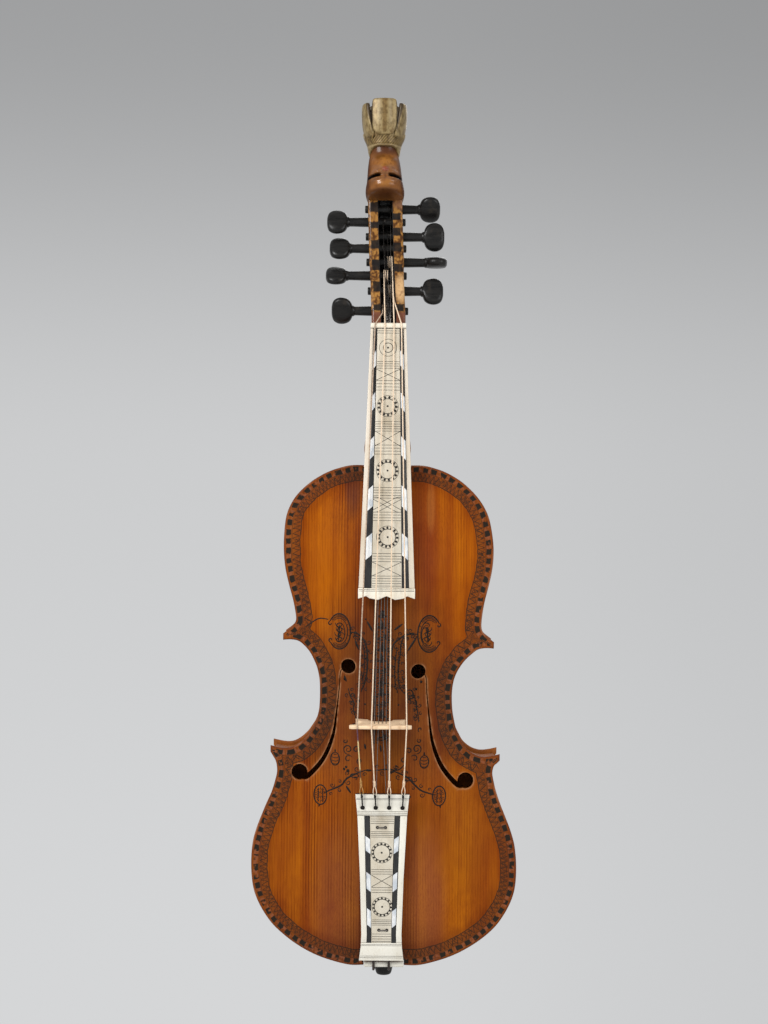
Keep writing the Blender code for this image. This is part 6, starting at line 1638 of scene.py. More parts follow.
def make_ornament(material):
    """Leaves, stems, curls and shells drawn on the belly round the strings."""
    lay = Face(bpy.data.objects["belly_carved"]).lay
    parts = leaf_parts((0.0305, 0.2175), (0.0288, 0.2180), (0.0083, 0.0131), 1, lay)
    parts += leaf_parts((-0.0332, 0.2163), (-0.0330, 0.2170), (0.0080, 0.0126), -1, lay)
    for half, reach, pitch, points in STEMS:
        line = smooth_line(points, 6)
        parts.append(brush_parts(line, half, lay, 0.5))
        if any(reach):
            parts += tick_parts(line, pitch, reach, 0.00022, lay)
    for number, pitch, reach in TENDRILS:
        parts += tendril_parts(smooth_line(STEMS[number][3], 6), pitch, reach, lay)
    for start, end in DASHES:
        parts.append(brush_parts([start, end], 0.00042, lay, 0.2))
    for spot, radius in DOTS:
        parts.append(blot_parts(circle(spot, radius, 12), lay))
    for centre, radius, turns, start, hand in CURLS:
        parts.append(brush_parts(curl_line(centre, radius, turns, start, hand), 0.00022, lay))
    for centre, side in (((-0.0355, 0.3063), -1), ((0.0275, 0.3076), 1)):
        parts += bud_parts(centre, (0.0031, 0.0045), side, lay)
    for centre, side in (((-0.0457, 0.3318), -1), ((0.0382, 0.3318), 1)):
        parts += shell_parts(centre, (0.0046, 0.0068), side, lay)
    for centre, side in (((-0.0215, 0.3172), -1), ((0.0160, 0.3190), 1)):
        parts.append(brush_parts(oval_line(centre, (0.0030, 0.0013), 0.0, 1.0, 24), 0.00020, lay, 0.8))
    parts += column_parts(0.1940, 0.2960, lay)
    add_piece("belly_ornament", mesh_of("belly_ornament", *joined(parts), sharp=180), [material])


# Shader work

class Recipe:
    """Writes shader nodes into one material or group."""

    def __init__(self, tree):
        self.tree = tree

    def put(self, socket, value):
        if isinstance(value, bpy.types.NodeSocket):
            self.tree.links.new(value, socket)
        elif socket.type == "RGBA":
            socket.default_value = (*value, 1.0)
        else:
            socket.default_value = value

    def node(self, kind, inputs=None, **settings):
        node = self.tree.nodes.new("ShaderNode" + kind)
        for key, value in settings.items():
            setattr(node, key, value)
        for key, value in (inputs or {}).items():
            self.put(node.inputs[key], value)
        return node

    def math(self, operation, *values, clamp=False):
        return self.node("Math", dict(enumerate(values)), operation=operation, use_clamp=clamp).outputs[0]

    def ramp(self, value, low, high, to_low=0.0, to_high=1.0):
        """A smooth rise between two values."""
        limits = {"Value": value, "From Min": low, "From Max": high, "To Min": to_low, "To Max": to_high}
        return self.node("MapRange", limits, interpolation_type="SMOOTHSTEP").outputs[0]

    def mix(self, share, a, b):
        return self.node("Mix", {0: share, 6: a, 7: b}, data_type="RGBA").outputs[2]

    def darken(self, share, colour, by):
        """The colour multiplied by another one, by a share."""
        return self.node("Mix", {0: share, 6: colour, 7: by}, data_type="RGBA", blend_type="MULTIPLY").outputs[2]

    def where(self):
        return self.node("TexCoord").outputs["Object"]

    def apart(self, vector):
        return self.node("SeparateXYZ", {0: vector}).outputs

    def scaled(self, vector, scale):
        return self.node("VectorMath", {0: vector, 1: scale}, operation="MULTIPLY").outputs[0]

    def noise(self, vector, scale, detail=2.0, stretch=(1.0, 1.0, 1.0), roughness=0.5):
        vector = vector if stretch == (1.0, 1.0, 1.0) else self.scaled(vector, stretch)
        inputs = {"Vector": vector, "Scale": scale, "Detail": detail, "Roughness": roughness}
        return self.node("TexNoise", inputs).outputs[0]

    def group(self, tree, **values):
        node = self.node("Group", node_tree=tree)
        for key, value in values.items():
            self.put(node.inputs[key.replace("_", " ").title()], value)
        return node.outputs

    def patch(self, centre, reach):
        """A soft oval on the front, given by across and drop."""
        across, drop = centre
        x, _, z = self.apart(self.where())
        side = self.math("DIVIDE", self.math("SUBTRACT", x, across), reach[0])
        down = self.math("DIVIDE", self.math("SUBTRACT", z, height_of(drop)), reach[1])
        far = self.math("ADD", self.math("MULTIPLY", side, side), self.math("MULTIPLY", down, down))
        return self.ramp(far, 1.0, 0.0)


def shader_group(name, inputs, outputs, write):
    """A shader node group with named sockets; write gets its recipe and inputs, and returns its outputs."""
    if name in bpy.data.node_groups:
        return bpy.data.node_groups[name]
    tree = bpy.data.node_groups.new(name, "ShaderNodeTree")
    for label, value in inputs:
        tree.interface.new_socket(label, in_out="INPUT", socket_type="NodeSocketFloat").default_value = value
    for label in outputs:
        tree.interface.new_socket(label, in_out="OUTPUT", socket_type="NodeSocketFloat")
    source = tree.nodes.new("NodeGroupInput")
    result = tree.nodes.new("NodeGroupOutput")
    recipe = Recipe(tree)
    for label, value in zip(outputs, write(recipe, source.outputs)):
        recipe.put(result.inputs[label], value)
    return tree


def grain_group():
    """Softwood grain along the fiddle: dark yearly lines, broad bands and fine fibre."""
    def write(r, given):
        spot = r.where()
        x, _, z = r.apart(spot)
        bend = r.math("SUBTRACT", r.noise(spot, 1.0, 2.0, (16.0, 4.0, 5.0)), 0.5)
        moved = r.math("MULTIPLY_ADD", bend, given["Wander"], x)
        phase = r.math("DIVIDE", moved, given["Pitch"])
        wave = r.math("MULTIPLY_ADD", r.math("SINE", r.math("MULTIPLY", phase, math.tau)), 0.5, 0.5)
        own = r.noise(r.node("CombineXYZ", {0: phase, 2: r.math("MULTIPLY", z, 6.0)}).outputs[0], 0.83, 1.0)
        lines = r.math("MULTIPLY", r.math("POWER", wave, 2.6), r.ramp(own, 0.30, 0.66))
        bands = r.noise(r.node("CombineXYZ", {0: moved, 2: r.math("MULTIPLY", z, 0.045)}).outputs[0], 95.0, 3.0)
        fibre = r.noise(spot, 1.0, 3.0, (2600.0, 2600.0, 60.0))
        return lines, bands, fibre
    return shader_group("Softwood Grain", (("Pitch", 0.00125), ("Wander", 0.0030)),
                        ("Lines", "Bands", "Fibre"), write)


def figure_group():
    """Hardwood figure: wavy flames across the grain, and fine fibre along it."""
    def write(r, given):
        spot = r.where()
        x, y, z = r.apart(spot)
        sway_of = r.noise(spot, 1.0, 2.0, (30.0, 30.0, 24.0))
        run = r.math("ADD", r.math("ADD", z, r.math("MULTIPLY", x, given["Slant"])),
                     r.math("MULTIPLY", sway_of, 0.012))
        wave = r.math("SINE", r.math("MULTIPLY", r.math("DIVIDE", run, given["Pitch"]), math.tau))
        fade = r.ramp(r.noise(spot, 1.0, 2.0, (45.0, 45.0, 45.0)), 0.35, 0.75)
        flames = r.math("MULTIPLY", r.math("MULTIPLY_ADD", wave, 0.5, 0.5), fade)
        fibre = r.noise(spot, 1.0, 3.0, (1500.0, 1500.0, 50.0))
        return flames, fibre
    return shader_group("Hardwood Figure", (("Pitch", 0.0085), ("Slant", 0.25)), ("Flames", "Fibre"), write)


def wear_group():
    """Blotches of wear and dirt, and fine specks."""
    def write(r, given):
        spot = r.where()
        blotch = r.noise(spot, given["Scale"], 4.0, (1.0, 1.0, 0.7))
        speck = r.noise(spot, r.math("MULTIPLY", given["Scale"], 22.0), 3.0)
        share = r.ramp(blotch, r.math("SUBTRACT", 0.72, given["Amount"]), 0.78)
        specks = r.ramp(speck, 0.60, 0.72)
        return share, specks, blotch
    return shader_group("Wear And Dirt", (("Scale", 60.0), ("Amount", 0.2)), ("Blotches", "Specks", "Cloud"), write)


def border_group():
    """The inked border of the belly, along its outline and in from it."""
    def write(r, given):
        along, depth, _ = r.apart(r.node("UVMap", uv_map="border").outputs[0])
        spot = r.where()
        shake = r.math("SUBTRACT", r.noise(spot, 420.0, 2.0), 0.5)
        slow = r.math("SUBTRACT", r.noise(spot, 70.0, 1.0), 0.5)
        deep = r.math("MULTIPLY_ADD", shake, 0.0011, r.math("MULTIPLY_ADD", slow, 0.0016, depth))
        run = r.math("MULTIPLY_ADD", slow, 0.0050, r.math("MULTIPLY_ADD", shake, 0.0012, along))

        def ring(at, half):
            """A thin line at a depth."""
            gap = r.math("ABSOLUTE", r.math("SUBTRACT", deep, at))
            return r.ramp(gap, half + 0.00012, half - 0.00008)

        def belt(low, high):
            inside = r.ramp(deep, low - 0.0002, low + 0.0002)
            return r.math("MULTIPLY", inside, r.ramp(deep, high + 0.0002, high - 0.0002))

        def triangle(pitch, start=0.0):
            """A wave with straight flanks along the border, from 0 to 1."""
            share = r.math("FRACT", r.math("DIVIDE", r.math("ADD", run, start), pitch))
            return r.math("ABSOLUTE", r.math("MULTIPLY_ADD", share, 2.0, -1.0))

        squares = r.ramp(r.math("MULTIPLY_ADD", shake, 0.35, triangle(given["Pitch"])), 0.32, 0.46)
        missing = r.ramp(r.noise(spot, 190.0, 2.0), 0.32, 0.40)
        squares = r.math("MULTIPLY", r.math("MULTIPLY", squares, belt(0.0016, 0.0050)), missing)
        share = r.math("DIVIDE", r.math("SUBTRACT", deep, 0.0060), 0.0050)
        zigzag = r.math("ABSOLUTE", r.math("SUBTRACT", triangle(given["Lattice"]), share))
        other = r.math("ABSOLUTE", r.math("SUBTRACT", triangle(given["Lattice"], 0.0009), share))
        lattice = r.math("MAXIMUM", r.ramp(zigzag, 0.20, 0.07),
                         r.math("MULTIPLY", r.ramp(other, 0.12, 0.04), r.ramp(slow, -0.06, 0.02)))
        scribble = r.node("TexVoronoi", {"Vector": spot, "Scale": 420.0}, feature="DISTANCE_TO_EDGE").outputs[0]
        loops = r.math("MULTIPLY", r.ramp(scribble, 0.060, 0.025), r.ramp(r.noise(spot, 85.0, 1.0), 0.42, 0.50))
        lattice = r.math("MULTIPLY", r.math("MAXIMUM", lattice, loops), belt(0.0060, 0.0110))
        lines = r.math("MAXIMUM", ring(0.0114, 0.00030), r.math("MULTIPLY", ring(0.0055, 0.00018), 0.7))
        ink = r.math("MAXIMUM", squares, r.math("MULTIPLY", r.math("MAXIMUM", lattice, lines), 0.85))
        ground = belt(0.0010, 0.0115)
        edge = r.ramp(depth, 0.0014, 0.0004)
        warm = r.math("MULTIPLY", belt(0.0016, 0.0050), r.ramp(shake, -0.10, 0.10))
        shade = r.ramp(r.math("MULTIPLY_ADD", slow, 0.010, depth), 0.0190, 0.0100)
        return ink, ground, edge, warm, shade
    return shader_group("Inked Border", (("Pitch", 0.0070), ("Lattice", 0.0038)),
                        ("Ink", "Ground", "Edge", "Warm", "Shade"), write)


def new_finish(name, roughness, metallic=0.0, specular=0.5, coat=0.0, coat_roughness=0.2):
    """A material, its recipe and its surface shader."""
    material = bpy.data.materials.new(name)
    material.use_nodes = True
    shader = material.node_tree.nodes["Principled BSDF"]
    for key, value in (("Roughness", roughness), ("Metallic", metallic), ("Specular IOR Level", specular),
                       ("Coat Weight", coat), ("Coat Roughness", coat_roughness)):
        shader.inputs[key].default_value = value
    return material, Recipe(material.node_tree), shader


def relief(recipe, shader, height, distance, strength=1.0):
    bump = recipe.node("Bump", {"Height": height, "Distance": distance, "Strength": strength})
    recipe.put(shader.inputs["Normal"], bump.outputs[0])


def spruce_varnish(settings):
    material, r, shader = new_finish("spruce_varnish", 0.42, specular=0.06)
    grain = r.group(grain_group(), pitch=settings.grain_pitch)
    wear = r.group(wear_group(), scale=55.0, amount=0.16)
    border = r.group(border_group(), pitch=settings.border_pitch)
    spot = r.where()
    _, _, z = r.apart(spot)
    x = r.apart(spot)[0]
    amber = r.mix(r.ramp(z, height_of(0.19), height_of(0.33)), tuple(settings.varnish), tuple(settings.varnish_low))
    colour = r.mix(r.ramp(grain["Bands"], 0.40, 0.70), amber, r.darken(1.0, amber, (0.80, 0.68, 1.0)))
    for centre, reach, strength, tint in BELLY_PATCHES:
        share = r.math("MULTIPLY", r.patch(centre, reach), strength)
        colour = r.mix(share, colour, tint)
    bright = r.math("MULTIPLY", r.ramp(grain["Bands"], 0.52, 0.28), 0.65)
    colour = r.mix(bright, colour, r.darken(1.0, colour, (1.32, 1.48, 1.0)))
    left = r.ramp(x, 0.030, -0.020, 0.45, 0.85)
    fine = r.math("MULTIPLY_ADD", r.math("SINE", r.math("MULTIPLY", x, math.tau / 0.00115)), 0.5, 0.5)
    fine = r.math("MULTIPLY", r.math("POWER", fine, 2.0), r.ramp(grain["Fibre"], 0.30, 0.60, 0.2, 0.55))
    colour = r.darken(fine, colour, (0.62, 0.48, 0.55))
    uneven = r.math("MULTIPLY", left, r.ramp(r.noise(spot, 1.0, 3.0, (60.0, 20.0, 16.0)), 0.36, 0.62, 0.25, 1.15))
    colour = r.darken(r.math("MULTIPLY", grain["Lines"], uneven, clamp=True), colour, (0.38, 0.26, 0.40))
    cloud = r.noise(spot, 1.0, 4.0, (38.0, 20.0, 22.0))
    colour = r.darken(r.ramp(cloud, 0.50, 0.68, 0.0, 0.60), colour, (0.76, 0.62, 1.0))
    colour = r.mix(r.ramp(cloud, 0.44, 0.30, 0.0, 0.50), colour, r.darken(1.0, colour, (1.22, 1.34, 0.9)))
    colour = r.darken(r.ramp(grain["Fibre"], 0.45, 0.75, 0.0, 0.50), colour, (0.66, 0.58, 0.8))
    colour = r.darken(r.math("MULTIPLY", wear["Blotches"], 0.45), colour, (0.62, 0.55, 0.9))
    colour = r.darken(r.math("MULTIPLY", wear["Specks"], 0.25), colour, (0.5, 0.42, 0.5))
    colour = r.darken(r.math("MULTIPLY", border["Shade"], 0.60), colour, (0.62, 0.50, 0.60))
    colour = r.mix(r.math("MULTIPLY", border["Ground"], 0.50), colour, (0.150, 0.046, 0.013))
    colour = r.mix(r.math("MULTIPLY", border["Warm"], 0.45), colour, (0.300, 0.110, 0.060))
    colour = r.mix(r.math("MULTIPLY", border["Ink"], 0.95), colour, (0.014, 0.015, 0.012))
    colour = r.mix(r.math("MULTIPLY", border["Edge"], 0.80), colour, (0.130, 0.036, 0.014))
    rub = r.math("MULTIPLY", border["Edge"], r.ramp(wear["Cloud"], 0.50, 0.68))
    colour = r.mix(rub, colour, (0.340, 0.140, 0.070))
    worn = r.node("Attribute", attribute_name="wear").outputs["Fac"]
    worn = r.math("MULTIPLY", worn, r.ramp(r.noise(spot, 150.0, 2.0), 0.38, 0.58, 0.15, 0.9))
    colour = r.mix(worn, colour, (0.42, 0.20, 0.09))
    r.put(shader.inputs["Base Color"], colour)
    r.put(shader.inputs["Roughness"], r.ramp(wear["Cloud"], 0.3, 0.7, 0.34, 0.52))
    height = r.math("ADD", r.math("MULTIPLY", grain["Lines"], 0.6), r.math("MULTIPLY", grain["Fibre"], 0.5))
    relief(r, shader, height, 0.00005)
    return material


# Patches of the belly's varnish: centre as (across, drop), reach, strength and colour
BELLY_PATCHES = (
    ((0.026, 0.150), (0.012, 0.085), 0.85, (0.285, 0.050, 0.006)),
    ((-0.024, 0.112), (0.008, 0.030), 0.60, (0.120, 0.040, 0.020)),
    ((0.031, 0.128), (0.004, 0.024), 0.50, (0.480, 0.160, 0.030)),
    ((-0.002, 0.262), (0.070, 0.100), 0.85, (0.170, 0.048, 0.010)),
    ((-0.002, 0.245), (0.036, 0.085), 0.70, (0.125, 0.038, 0.008)),
    ((-0.028, 0.410), (0.030, 0.075), 0.60, (0.250, 0.074, 0.026)),
    ((0.028, 0.405), (0.020, 0.070), 0.75, (0.320, 0.094, 0.028)),
    ((0.055, 0.350), (0.030, 0.060), 0.40, (0.330, 0.095, 0.006)),
    ((-0.046, 0.275), (0.013, 0.045), 0.55, (0.120, 0.038, 0.012)),
    ((0.044, 0.275), (0.013, 0.045), 0.50, (0.130, 0.042, 0.012)),
    ((0.000, 0.455), (0.100, 0.040), 0.55, (0.170, 0.045, 0.014)),
)


def maple_varnish(name, light, dark, pitch=0.0085, roughness=0.40, specular=0.12):
    material, r, shader = new_finish(name, roughness, specular=specular)
    figure = r.group(figure_group(), pitch=pitch)
    wear = r.group(wear_group(), scale=70.0, amount=0.15)
    colour = r.mix(r.ramp(figure["Flames"], 0.0, 1.0), light, dark)
    colour = r.darken(r.ramp(figure["Fibre"], 0.45, 0.75, 0.0, 0.5), colour, (0.6, 0.5, 0.5))
    colour = r.darken(r.math("MULTIPLY", wear["Blotches"], 0.5), colour, (0.55, 0.46, 0.46))
    colour = r.darken(r.math("MULTIPLY", wear["Specks"], 0.4), colour, (0.4, 0.35, 0.35))
    r.put(shader.inputs["Base Color"], colour)
    relief(r, shader, figure["Fibre"], 0.00004)
    return material


def plain_finish(name, light, dark, roughness, stretch=(1.0, 1.0, 1.0), scale=300.0, metallic=0.0, specular=0.5,
                 coat=0.0, height=0.00003, specks=None):
    """A finish whose colour drifts between two tones, with fine fibre in the relief."""
    material, r, shader = new_finish(name, roughness, metallic, specular, coat)
    spot = r.where()
    drift = r.noise(spot, scale, 4.0, stretch, 0.6)
    colour = r.mix(r.ramp(drift, 0.30, 0.70), dark, light)
    if specks:
        wear = r.group(wear_group(), scale=scale * 0.4, amount=0.15)
        colour = r.mix(r.math("MULTIPLY", wear["Specks"], 0.6), colour, specks)
        colour = r.mix(r.math("MULTIPLY", wear["Blotches"], 0.5), colour, specks)
    r.put(shader.inputs["Base Color"], colour)
    r.put(shader.inputs["Roughness"], r.ramp(drift, 0.2, 0.8, roughness - 0.06, roughness + 0.08))
    relief(r, shader, drift, height)
    return material


def bone_finish(name, light, dark, dirt):
    """Sawn bone: slightly uneven, with long pores and dirt that a number sets."""
    material, r, shader = new_finish(name, 0.36, specular=0.35)
    spot = r.where()
    cloud = r.noise(spot, 60.0, 3.0, (1.0, 1.0, 0.4))
    pores = r.ramp(r.noise(spot, 1.0, 3.0, (1900.0, 1900.0, 110.0)), 0.58, 0.74)
    wear = r.group(wear_group(), scale=90.0, amount=0.22)
    colour = r.mix(r.ramp(cloud, 0.35, 0.70), light, dark)
    colour = r.darken(r.math("MULTIPLY", pores, 0.45), colour, (0.70, 0.60, 0.46))
    colour = r.darken(r.math("MULTIPLY", wear["Blotches"], dirt), colour, (0.62, 0.56, 0.46))
    colour = r.darken(r.math("MULTIPLY", wear["Specks"], dirt * 0.6), colour, (0.45, 0.38, 0.30))
    r.put(shader.inputs["Base Color"], colour)
    relief(r, shader, pores, -0.00003)
    return material


def pearl_finish():
    """Shell slips: layered, silvery, with a faint change of hue."""
    material, r, shader = new_finish("pearl", 0.22, specular=0.6, coat=0.4, coat_roughness=0.08)
    spot = r.where()
    layers = r.noise(spot, 1.0, 3.0, (420.0, 420.0, 130.0))
    colour = r.mix(r.ramp(layers, 0.35, 0.65), (0.93, 0.94, 0.93), (0.60, 0.65, 0.70))
    hue = r.noise(spot, 260.0, 2.0)
    colour = r.mix(r.ramp(hue, 0.55, 0.75, 0.0, 0.4), colour, (0.80, 0.72, 0.70))
    r.put(shader.inputs["Base Color"], colour)
    relief(r, shader, layers, 0.00002)
    return material


def field_group():
    """A dark field painted across a cheek of the pegbox, between two heights and on one side."""
    def write(r, given):
        spot = r.where()
        x, y, z = r.apart(spot)
        shake = r.math("MULTIPLY_ADD", r.noise(spot, 260.0, 2.0), 0.0020, -0.0010)
        off = r.math("ABSOLUTE", r.math("SUBTRACT", r.math("ADD", z, shake), given["Middle"]))
        field = r.ramp(r.math("SUBTRACT", off, given["Half"]), 0.0003, -0.0005)
        lean = r.ramp(z, height_of(-0.010), height_of(-0.090), 0.0, -0.0030)
        side = r.math("MULTIPLY", r.math("SUBTRACT", x, lean), given["Side"])
        edge = r.math("MULTIPLY_ADD", shake, 0.6, side)
        return (r.math("MULTIPLY", field, r.math("MULTIPLY", r.ramp(side, 0.0040, 0.0046), r.ramp(edge, 0.0112, 0.0105))),)
    return shader_group("Painted Field", (("Middle", 0.0), ("Half", 0.003), ("Side", 1.0)), ("Field",), write)


# Dark fields painted on the cheeks of the pegbox: side, from drop, to drop
CHEEK_FIELDS = (
    (-1, -0.0930, -0.0854), (-1, -0.0784, -0.0734), (-1, -0.0647, -0.0578), (-1, -0.0502, -0.0417),
    (-1, -0.0334, -0.0254), (-1, -0.0165, -0.0112), (1, -0.0847, -0.0796), (1, -0.0741, -0.0679),
    (1, -0.0629, -0.0559), (1, -0.0467, -0.0403), (1, -0.0165, -0.0109))
# Patches of the neck's stain, painted highlights and painted shade: centre as (across, drop), reach, strength and
# colour
NECK_PATCHES = (
    # Painted highlight: amber on the middle of the forehead
    ((-0.0034, -0.1180), (0.0080, 0.0060), 0.75, (0.380, 0.155, 0.028)),
    ((-0.0030, -0.1126), (0.0032, 0.0028), 0.85, (0.280, 0.060, 0.030)),
    # Painted shade: dark band on the forehead under the crown's rim
    ((-0.0034, -0.1290), (0.0160, 0.0055), 0.85, (0.070, 0.022, 0.010)),
    # Painted highlight: amber on the middle of the jaw
    ((-0.0034, -0.1035), (0.0075, 0.0042), 0.75, (0.360, 0.145, 0.028)),
    # Painted shade: dark band under the jaw, above the pegbox
    ((-0.0034, -0.0970), (0.0160, 0.0030), 0.75, (0.070, 0.022, 0.010)),
    ((0.0092, -0.0280), (0.0070, 0.0135), 0.98, (0.640, 0.400, 0.190)),
    ((0.0075, -0.0915), (0.0065, 0.0045), 0.80, (0.300, 0.140, 0.070)),
)


def neck_stain(light):
    """Stained wood of the neck and head: amber on the painted pegbox, with painted shade under the crown, under the
    jaw, at the sides and in the mouth, and painted highlights on the forehead and the jaw.
    """
    material, r, shader = new_finish("stained_maple", 0.36, specular=0.12, coat=0.0, coat_roughness=0.16)
    figure = r.group(figure_group(), pitch=0.011)
    wear = r.group(wear_group(), scale=130.0, amount=0.22)
    fine = r.group(wear_group(), scale=420.0, amount=0.20)
    x, y, z = r.apart(r.where())
    colour = r.mix(r.ramp(figure["Flames"], 0.1, 0.9), light, tuple(part * 0.60 for part in light))
    box = r.math("MULTIPLY", r.ramp(z, height_of(-0.0945), height_of(-0.0935)),
                 r.ramp(z, height_of(-0.0095), height_of(-0.0115)))
    colour = r.mix(box, colour, (0.380, 0.180, 0.040))
    colour = r.darken(r.math("MULTIPLY", box, r.ramp(fine["Cloud"], 0.38, 0.58)), colour, (0.28, 0.22, 0.22))
    throat = r.math("MULTIPLY", r.ramp(z, height_of(-0.0095), height_of(-0.0115), 1.0, 0.0),
                    r.ramp(z, height_of(0.002), height_of(-0.001)))
    colour = r.mix(r.math("MULTIPLY", throat, 0.85), colour, (0.170, 0.060, 0.036))
    # Some of these patches are painted highlights and painted shade, as marked in the table.
    for centre, reach, strength, tint in NECK_PATCHES:
        colour = r.mix(r.math("MULTIPLY", r.patch(centre, reach), strength), colour, tint)
    fields = 0.0
    for side, top, bottom in CHEEK_FIELDS:
        middle, half = height_of((top + bottom) / 2), (bottom - top) / 2
        fields = r.math("MAXIMUM", fields, r.group(field_group(), middle=middle, half=half, side=side)["Field"])
    colour = r.mix(r.math("MULTIPLY", fields, r.ramp(wear["Cloud"], 0.30, 0.55, 1.0, 0.94)), colour,
                   (0.012, 0.010, 0.009))
    colour = r.darken(r.ramp(figure["Fibre"], 0.45, 0.75, 0.0, 0.5), colour, (0.6, 0.5, 0.5))
    colour = r.darken(r.math("MULTIPLY", wear["Blotches"], 0.60), colour, (0.46, 0.34, 0.28))
    colour = r.darken(r.math("MULTIPLY", fine["Blotches"], 0.70), colour, (0.42, 0.32, 0.28))
    aside = r.node("Attribute", attribute_name="aside").outputs["Fac"]
    # Painted shade: the sides of the neck and head, which face away from the front, are darkened.
    colour = r.darken(r.ramp(aside, 0.10, 0.75), colour, (0.34, 0.26, 0.22))
    mouth = r.node("Attribute", attribute_name="mouth").outputs["Fac"]
    # Painted shade: near black inside the open mouth's slit.
    colour = r.mix(r.math("MULTIPLY", mouth, 0.95), colour, (0.012, 0.008, 0.007))
    lips = r.math("MULTIPLY", r.ramp(z, height_of(-0.1180), height_of(-0.1150)),
                  r.ramp(z, height_of(-0.1010), height_of(-0.1045)))
    gloss = r.math("MULTIPLY_ADD", lips, 0.60, 0.36)
    r.put(shader.inputs["Coat Weight"], r.math("MULTIPLY", gloss, r.ramp(aside, 0.35, 0.0)))
    r.put(shader.inputs["Roughness"], r.ramp(aside, 0.0, 0.5, 0.32, 0.60))
    r.put(shader.inputs["Base Color"], colour)
    relief(r, shader, r.math("ADD", figure["Fibre"], wear["Cloud"]), 0.00006)
    return material


def gilt_paint():
    """Bronze paint over wood, rubbed brown, with a hatched band under the petals, painted shade inside the cup and
    between the petals, and painted highlights on the petals' ridges and the band's rim.
    """
    material, r, shader = new_finish("gilt_paint", 0.40, 0.25, 0.5)
    spot = r.where()
    x, y, z = r.apart(spot)
    wear = r.group(wear_group(), scale=150.0, amount=0.20)
    drift = r.noise(spot, 380.0, 5.0, (1.0, 1.0, 0.7), 0.6)
    colour = r.mix(r.ramp(drift, 0.34, 0.60), (0.150, 0.096, 0.030), (0.330, 0.240, 0.105))
    colour = r.mix(r.math("MULTIPLY", wear["Blotches"], 0.70), colour, (0.170, 0.092, 0.024))
    colour = r.mix(r.math("MULTIPLY", wear["Specks"], 0.75), colour, (0.060, 0.036, 0.014))
    angle = r.math("ARCTAN2", r.math("ADD", x, 0.0039), r.math("MULTIPLY", r.math("ADD", y, 0.0012), -1.0))
    run = r.math("MULTIPLY_ADD", angle, 0.0125, r.math("MULTIPLY", z, -0.9))
    hatch = r.math("SINE", r.math("MULTIPLY", run, math.tau / 0.0021))
    side, forward = r.math("ADD", x, 0.0039), r.math("ADD", y, 0.0012)
    reach = r.math("SQRT", r.math("MULTIPLY_ADD", side, side, r.math("MULTIPLY", forward, forward)))
    above = r.ramp(z, height_of(-0.1400), height_of(-0.1420))
    # Painted shade: the inside of the crown's cup and the gaps beside the side petals are darkened.
    inner = r.math("MULTIPLY", r.ramp(reach, 0.0142, 0.0132), above)
    aside = r.math("ABSOLUTE", side)
    spread = r.ramp(z, height_of(-0.1410), height_of(-0.1620), 0.0092, 0.0134)
    petal_gap_shade = r.math("MULTIPLY", r.ramp(r.math("SUBTRACT", aside, spread), 0.0005, -0.0005),
                    r.ramp(aside, 0.0083, 0.0089))
    inner = r.math("MAXIMUM", inner, r.math("MULTIPLY", petal_gap_shade, above))
    colour = r.mix(r.math("MULTIPLY", inner, 0.90), colour, (0.045, 0.026, 0.010))
    # Painted highlight: lighter bands down the ridges of the front and back petals.
    ridge_highlight = r.math("MULTIPLY", r.ramp(r.math("ABSOLUTE", r.math("SUBTRACT", aside, 0.0042)), 0.0020, 0.0),
                   r.math("MULTIPLY", above, r.ramp(z, height_of(-0.1440), height_of(-0.1500))))
    colour = r.mix(r.math("MULTIPLY", ridge_highlight, 0.25), colour, (0.560, 0.460, 0.300))
    colour = r.darken(r.math("MULTIPLY", above, r.ramp(aside, 0.0022, 0.0008)), colour, (0.72, 0.62, 0.45))
    band = r.math("MULTIPLY", r.ramp(z, height_of(-0.1316), height_of(-0.1324)),
                  r.ramp(z, height_of(-0.1390), height_of(-0.1380)))
    cut = r.math("MULTIPLY", r.ramp(hatch, -0.10, 0.40), band)
    colour = r.darken(band, colour, (0.98, 0.90, 0.66))
    colour = r.mix(r.math("MULTIPLY", cut, 0.90), colour, (0.050, 0.030, 0.010))
    # Painted highlight: a lighter line on the bead of the band's lower rim.
    rim = r.math("MULTIPLY", r.ramp(z, height_of(-0.1308), height_of(-0.1314)),
                 r.ramp(z, height_of(-0.1326), height_of(-0.1320)))
    colour = r.mix(r.math("MULTIPLY", rim, 0.5), colour, (0.400, 0.300, 0.150))
    r.put(shader.inputs["Base Color"], colour)
    height = r.math("SUBTRACT", r.math("MULTIPLY", drift, 0.10), cut)
    relief(r, shader, height, 0.00016)
    return material


def low_string_finish():
    """The thickest string: gut, with dyed silk behind the bridge."""
    material, r, shader = new_finish("low_string", 0.45, specular=0.4)
    spot = r.where()
    z = r.apart(spot)[2]
    drift = r.noise(spot, 900.0, 3.0)
    gut = r.mix(r.ramp(drift, 0.3, 0.7), (0.36, 0.25, 0.17), (0.58, 0.44, 0.32))
    silk = r.mix(r.ramp(drift, 0.4, 0.6), (0.085, 0.035, 0.060), (0.150, 0.060, 0.090))
    tail = r.mix(r.ramp(drift, 0.4, 0.6), (0.42, 0.22, 0.06), (0.58, 0.33, 0.11))
    pale = r.mix(r.ramp(drift, 0.4, 0.6), (0.62, 0.46, 0.20), (0.78, 0.60, 0.30))
    colour = r.mix(r.ramp(z, height_of(0.2795), height_of(0.2815)), gut, silk)
    colour = r.mix(r.ramp(z, height_of(0.2880), height_of(0.2900)), colour, pale)
    colour = r.mix(r.ramp(z, height_of(0.3085), height_of(0.3105)), colour, (0.100, 0.045, 0.020))
    colour = r.mix(r.ramp(z, height_of(0.3145), height_of(0.3160)), colour, tail)
    r.put(shader.inputs["Base Color"], colour)
    relief(r, shader, drift, 0.00003)
    return material


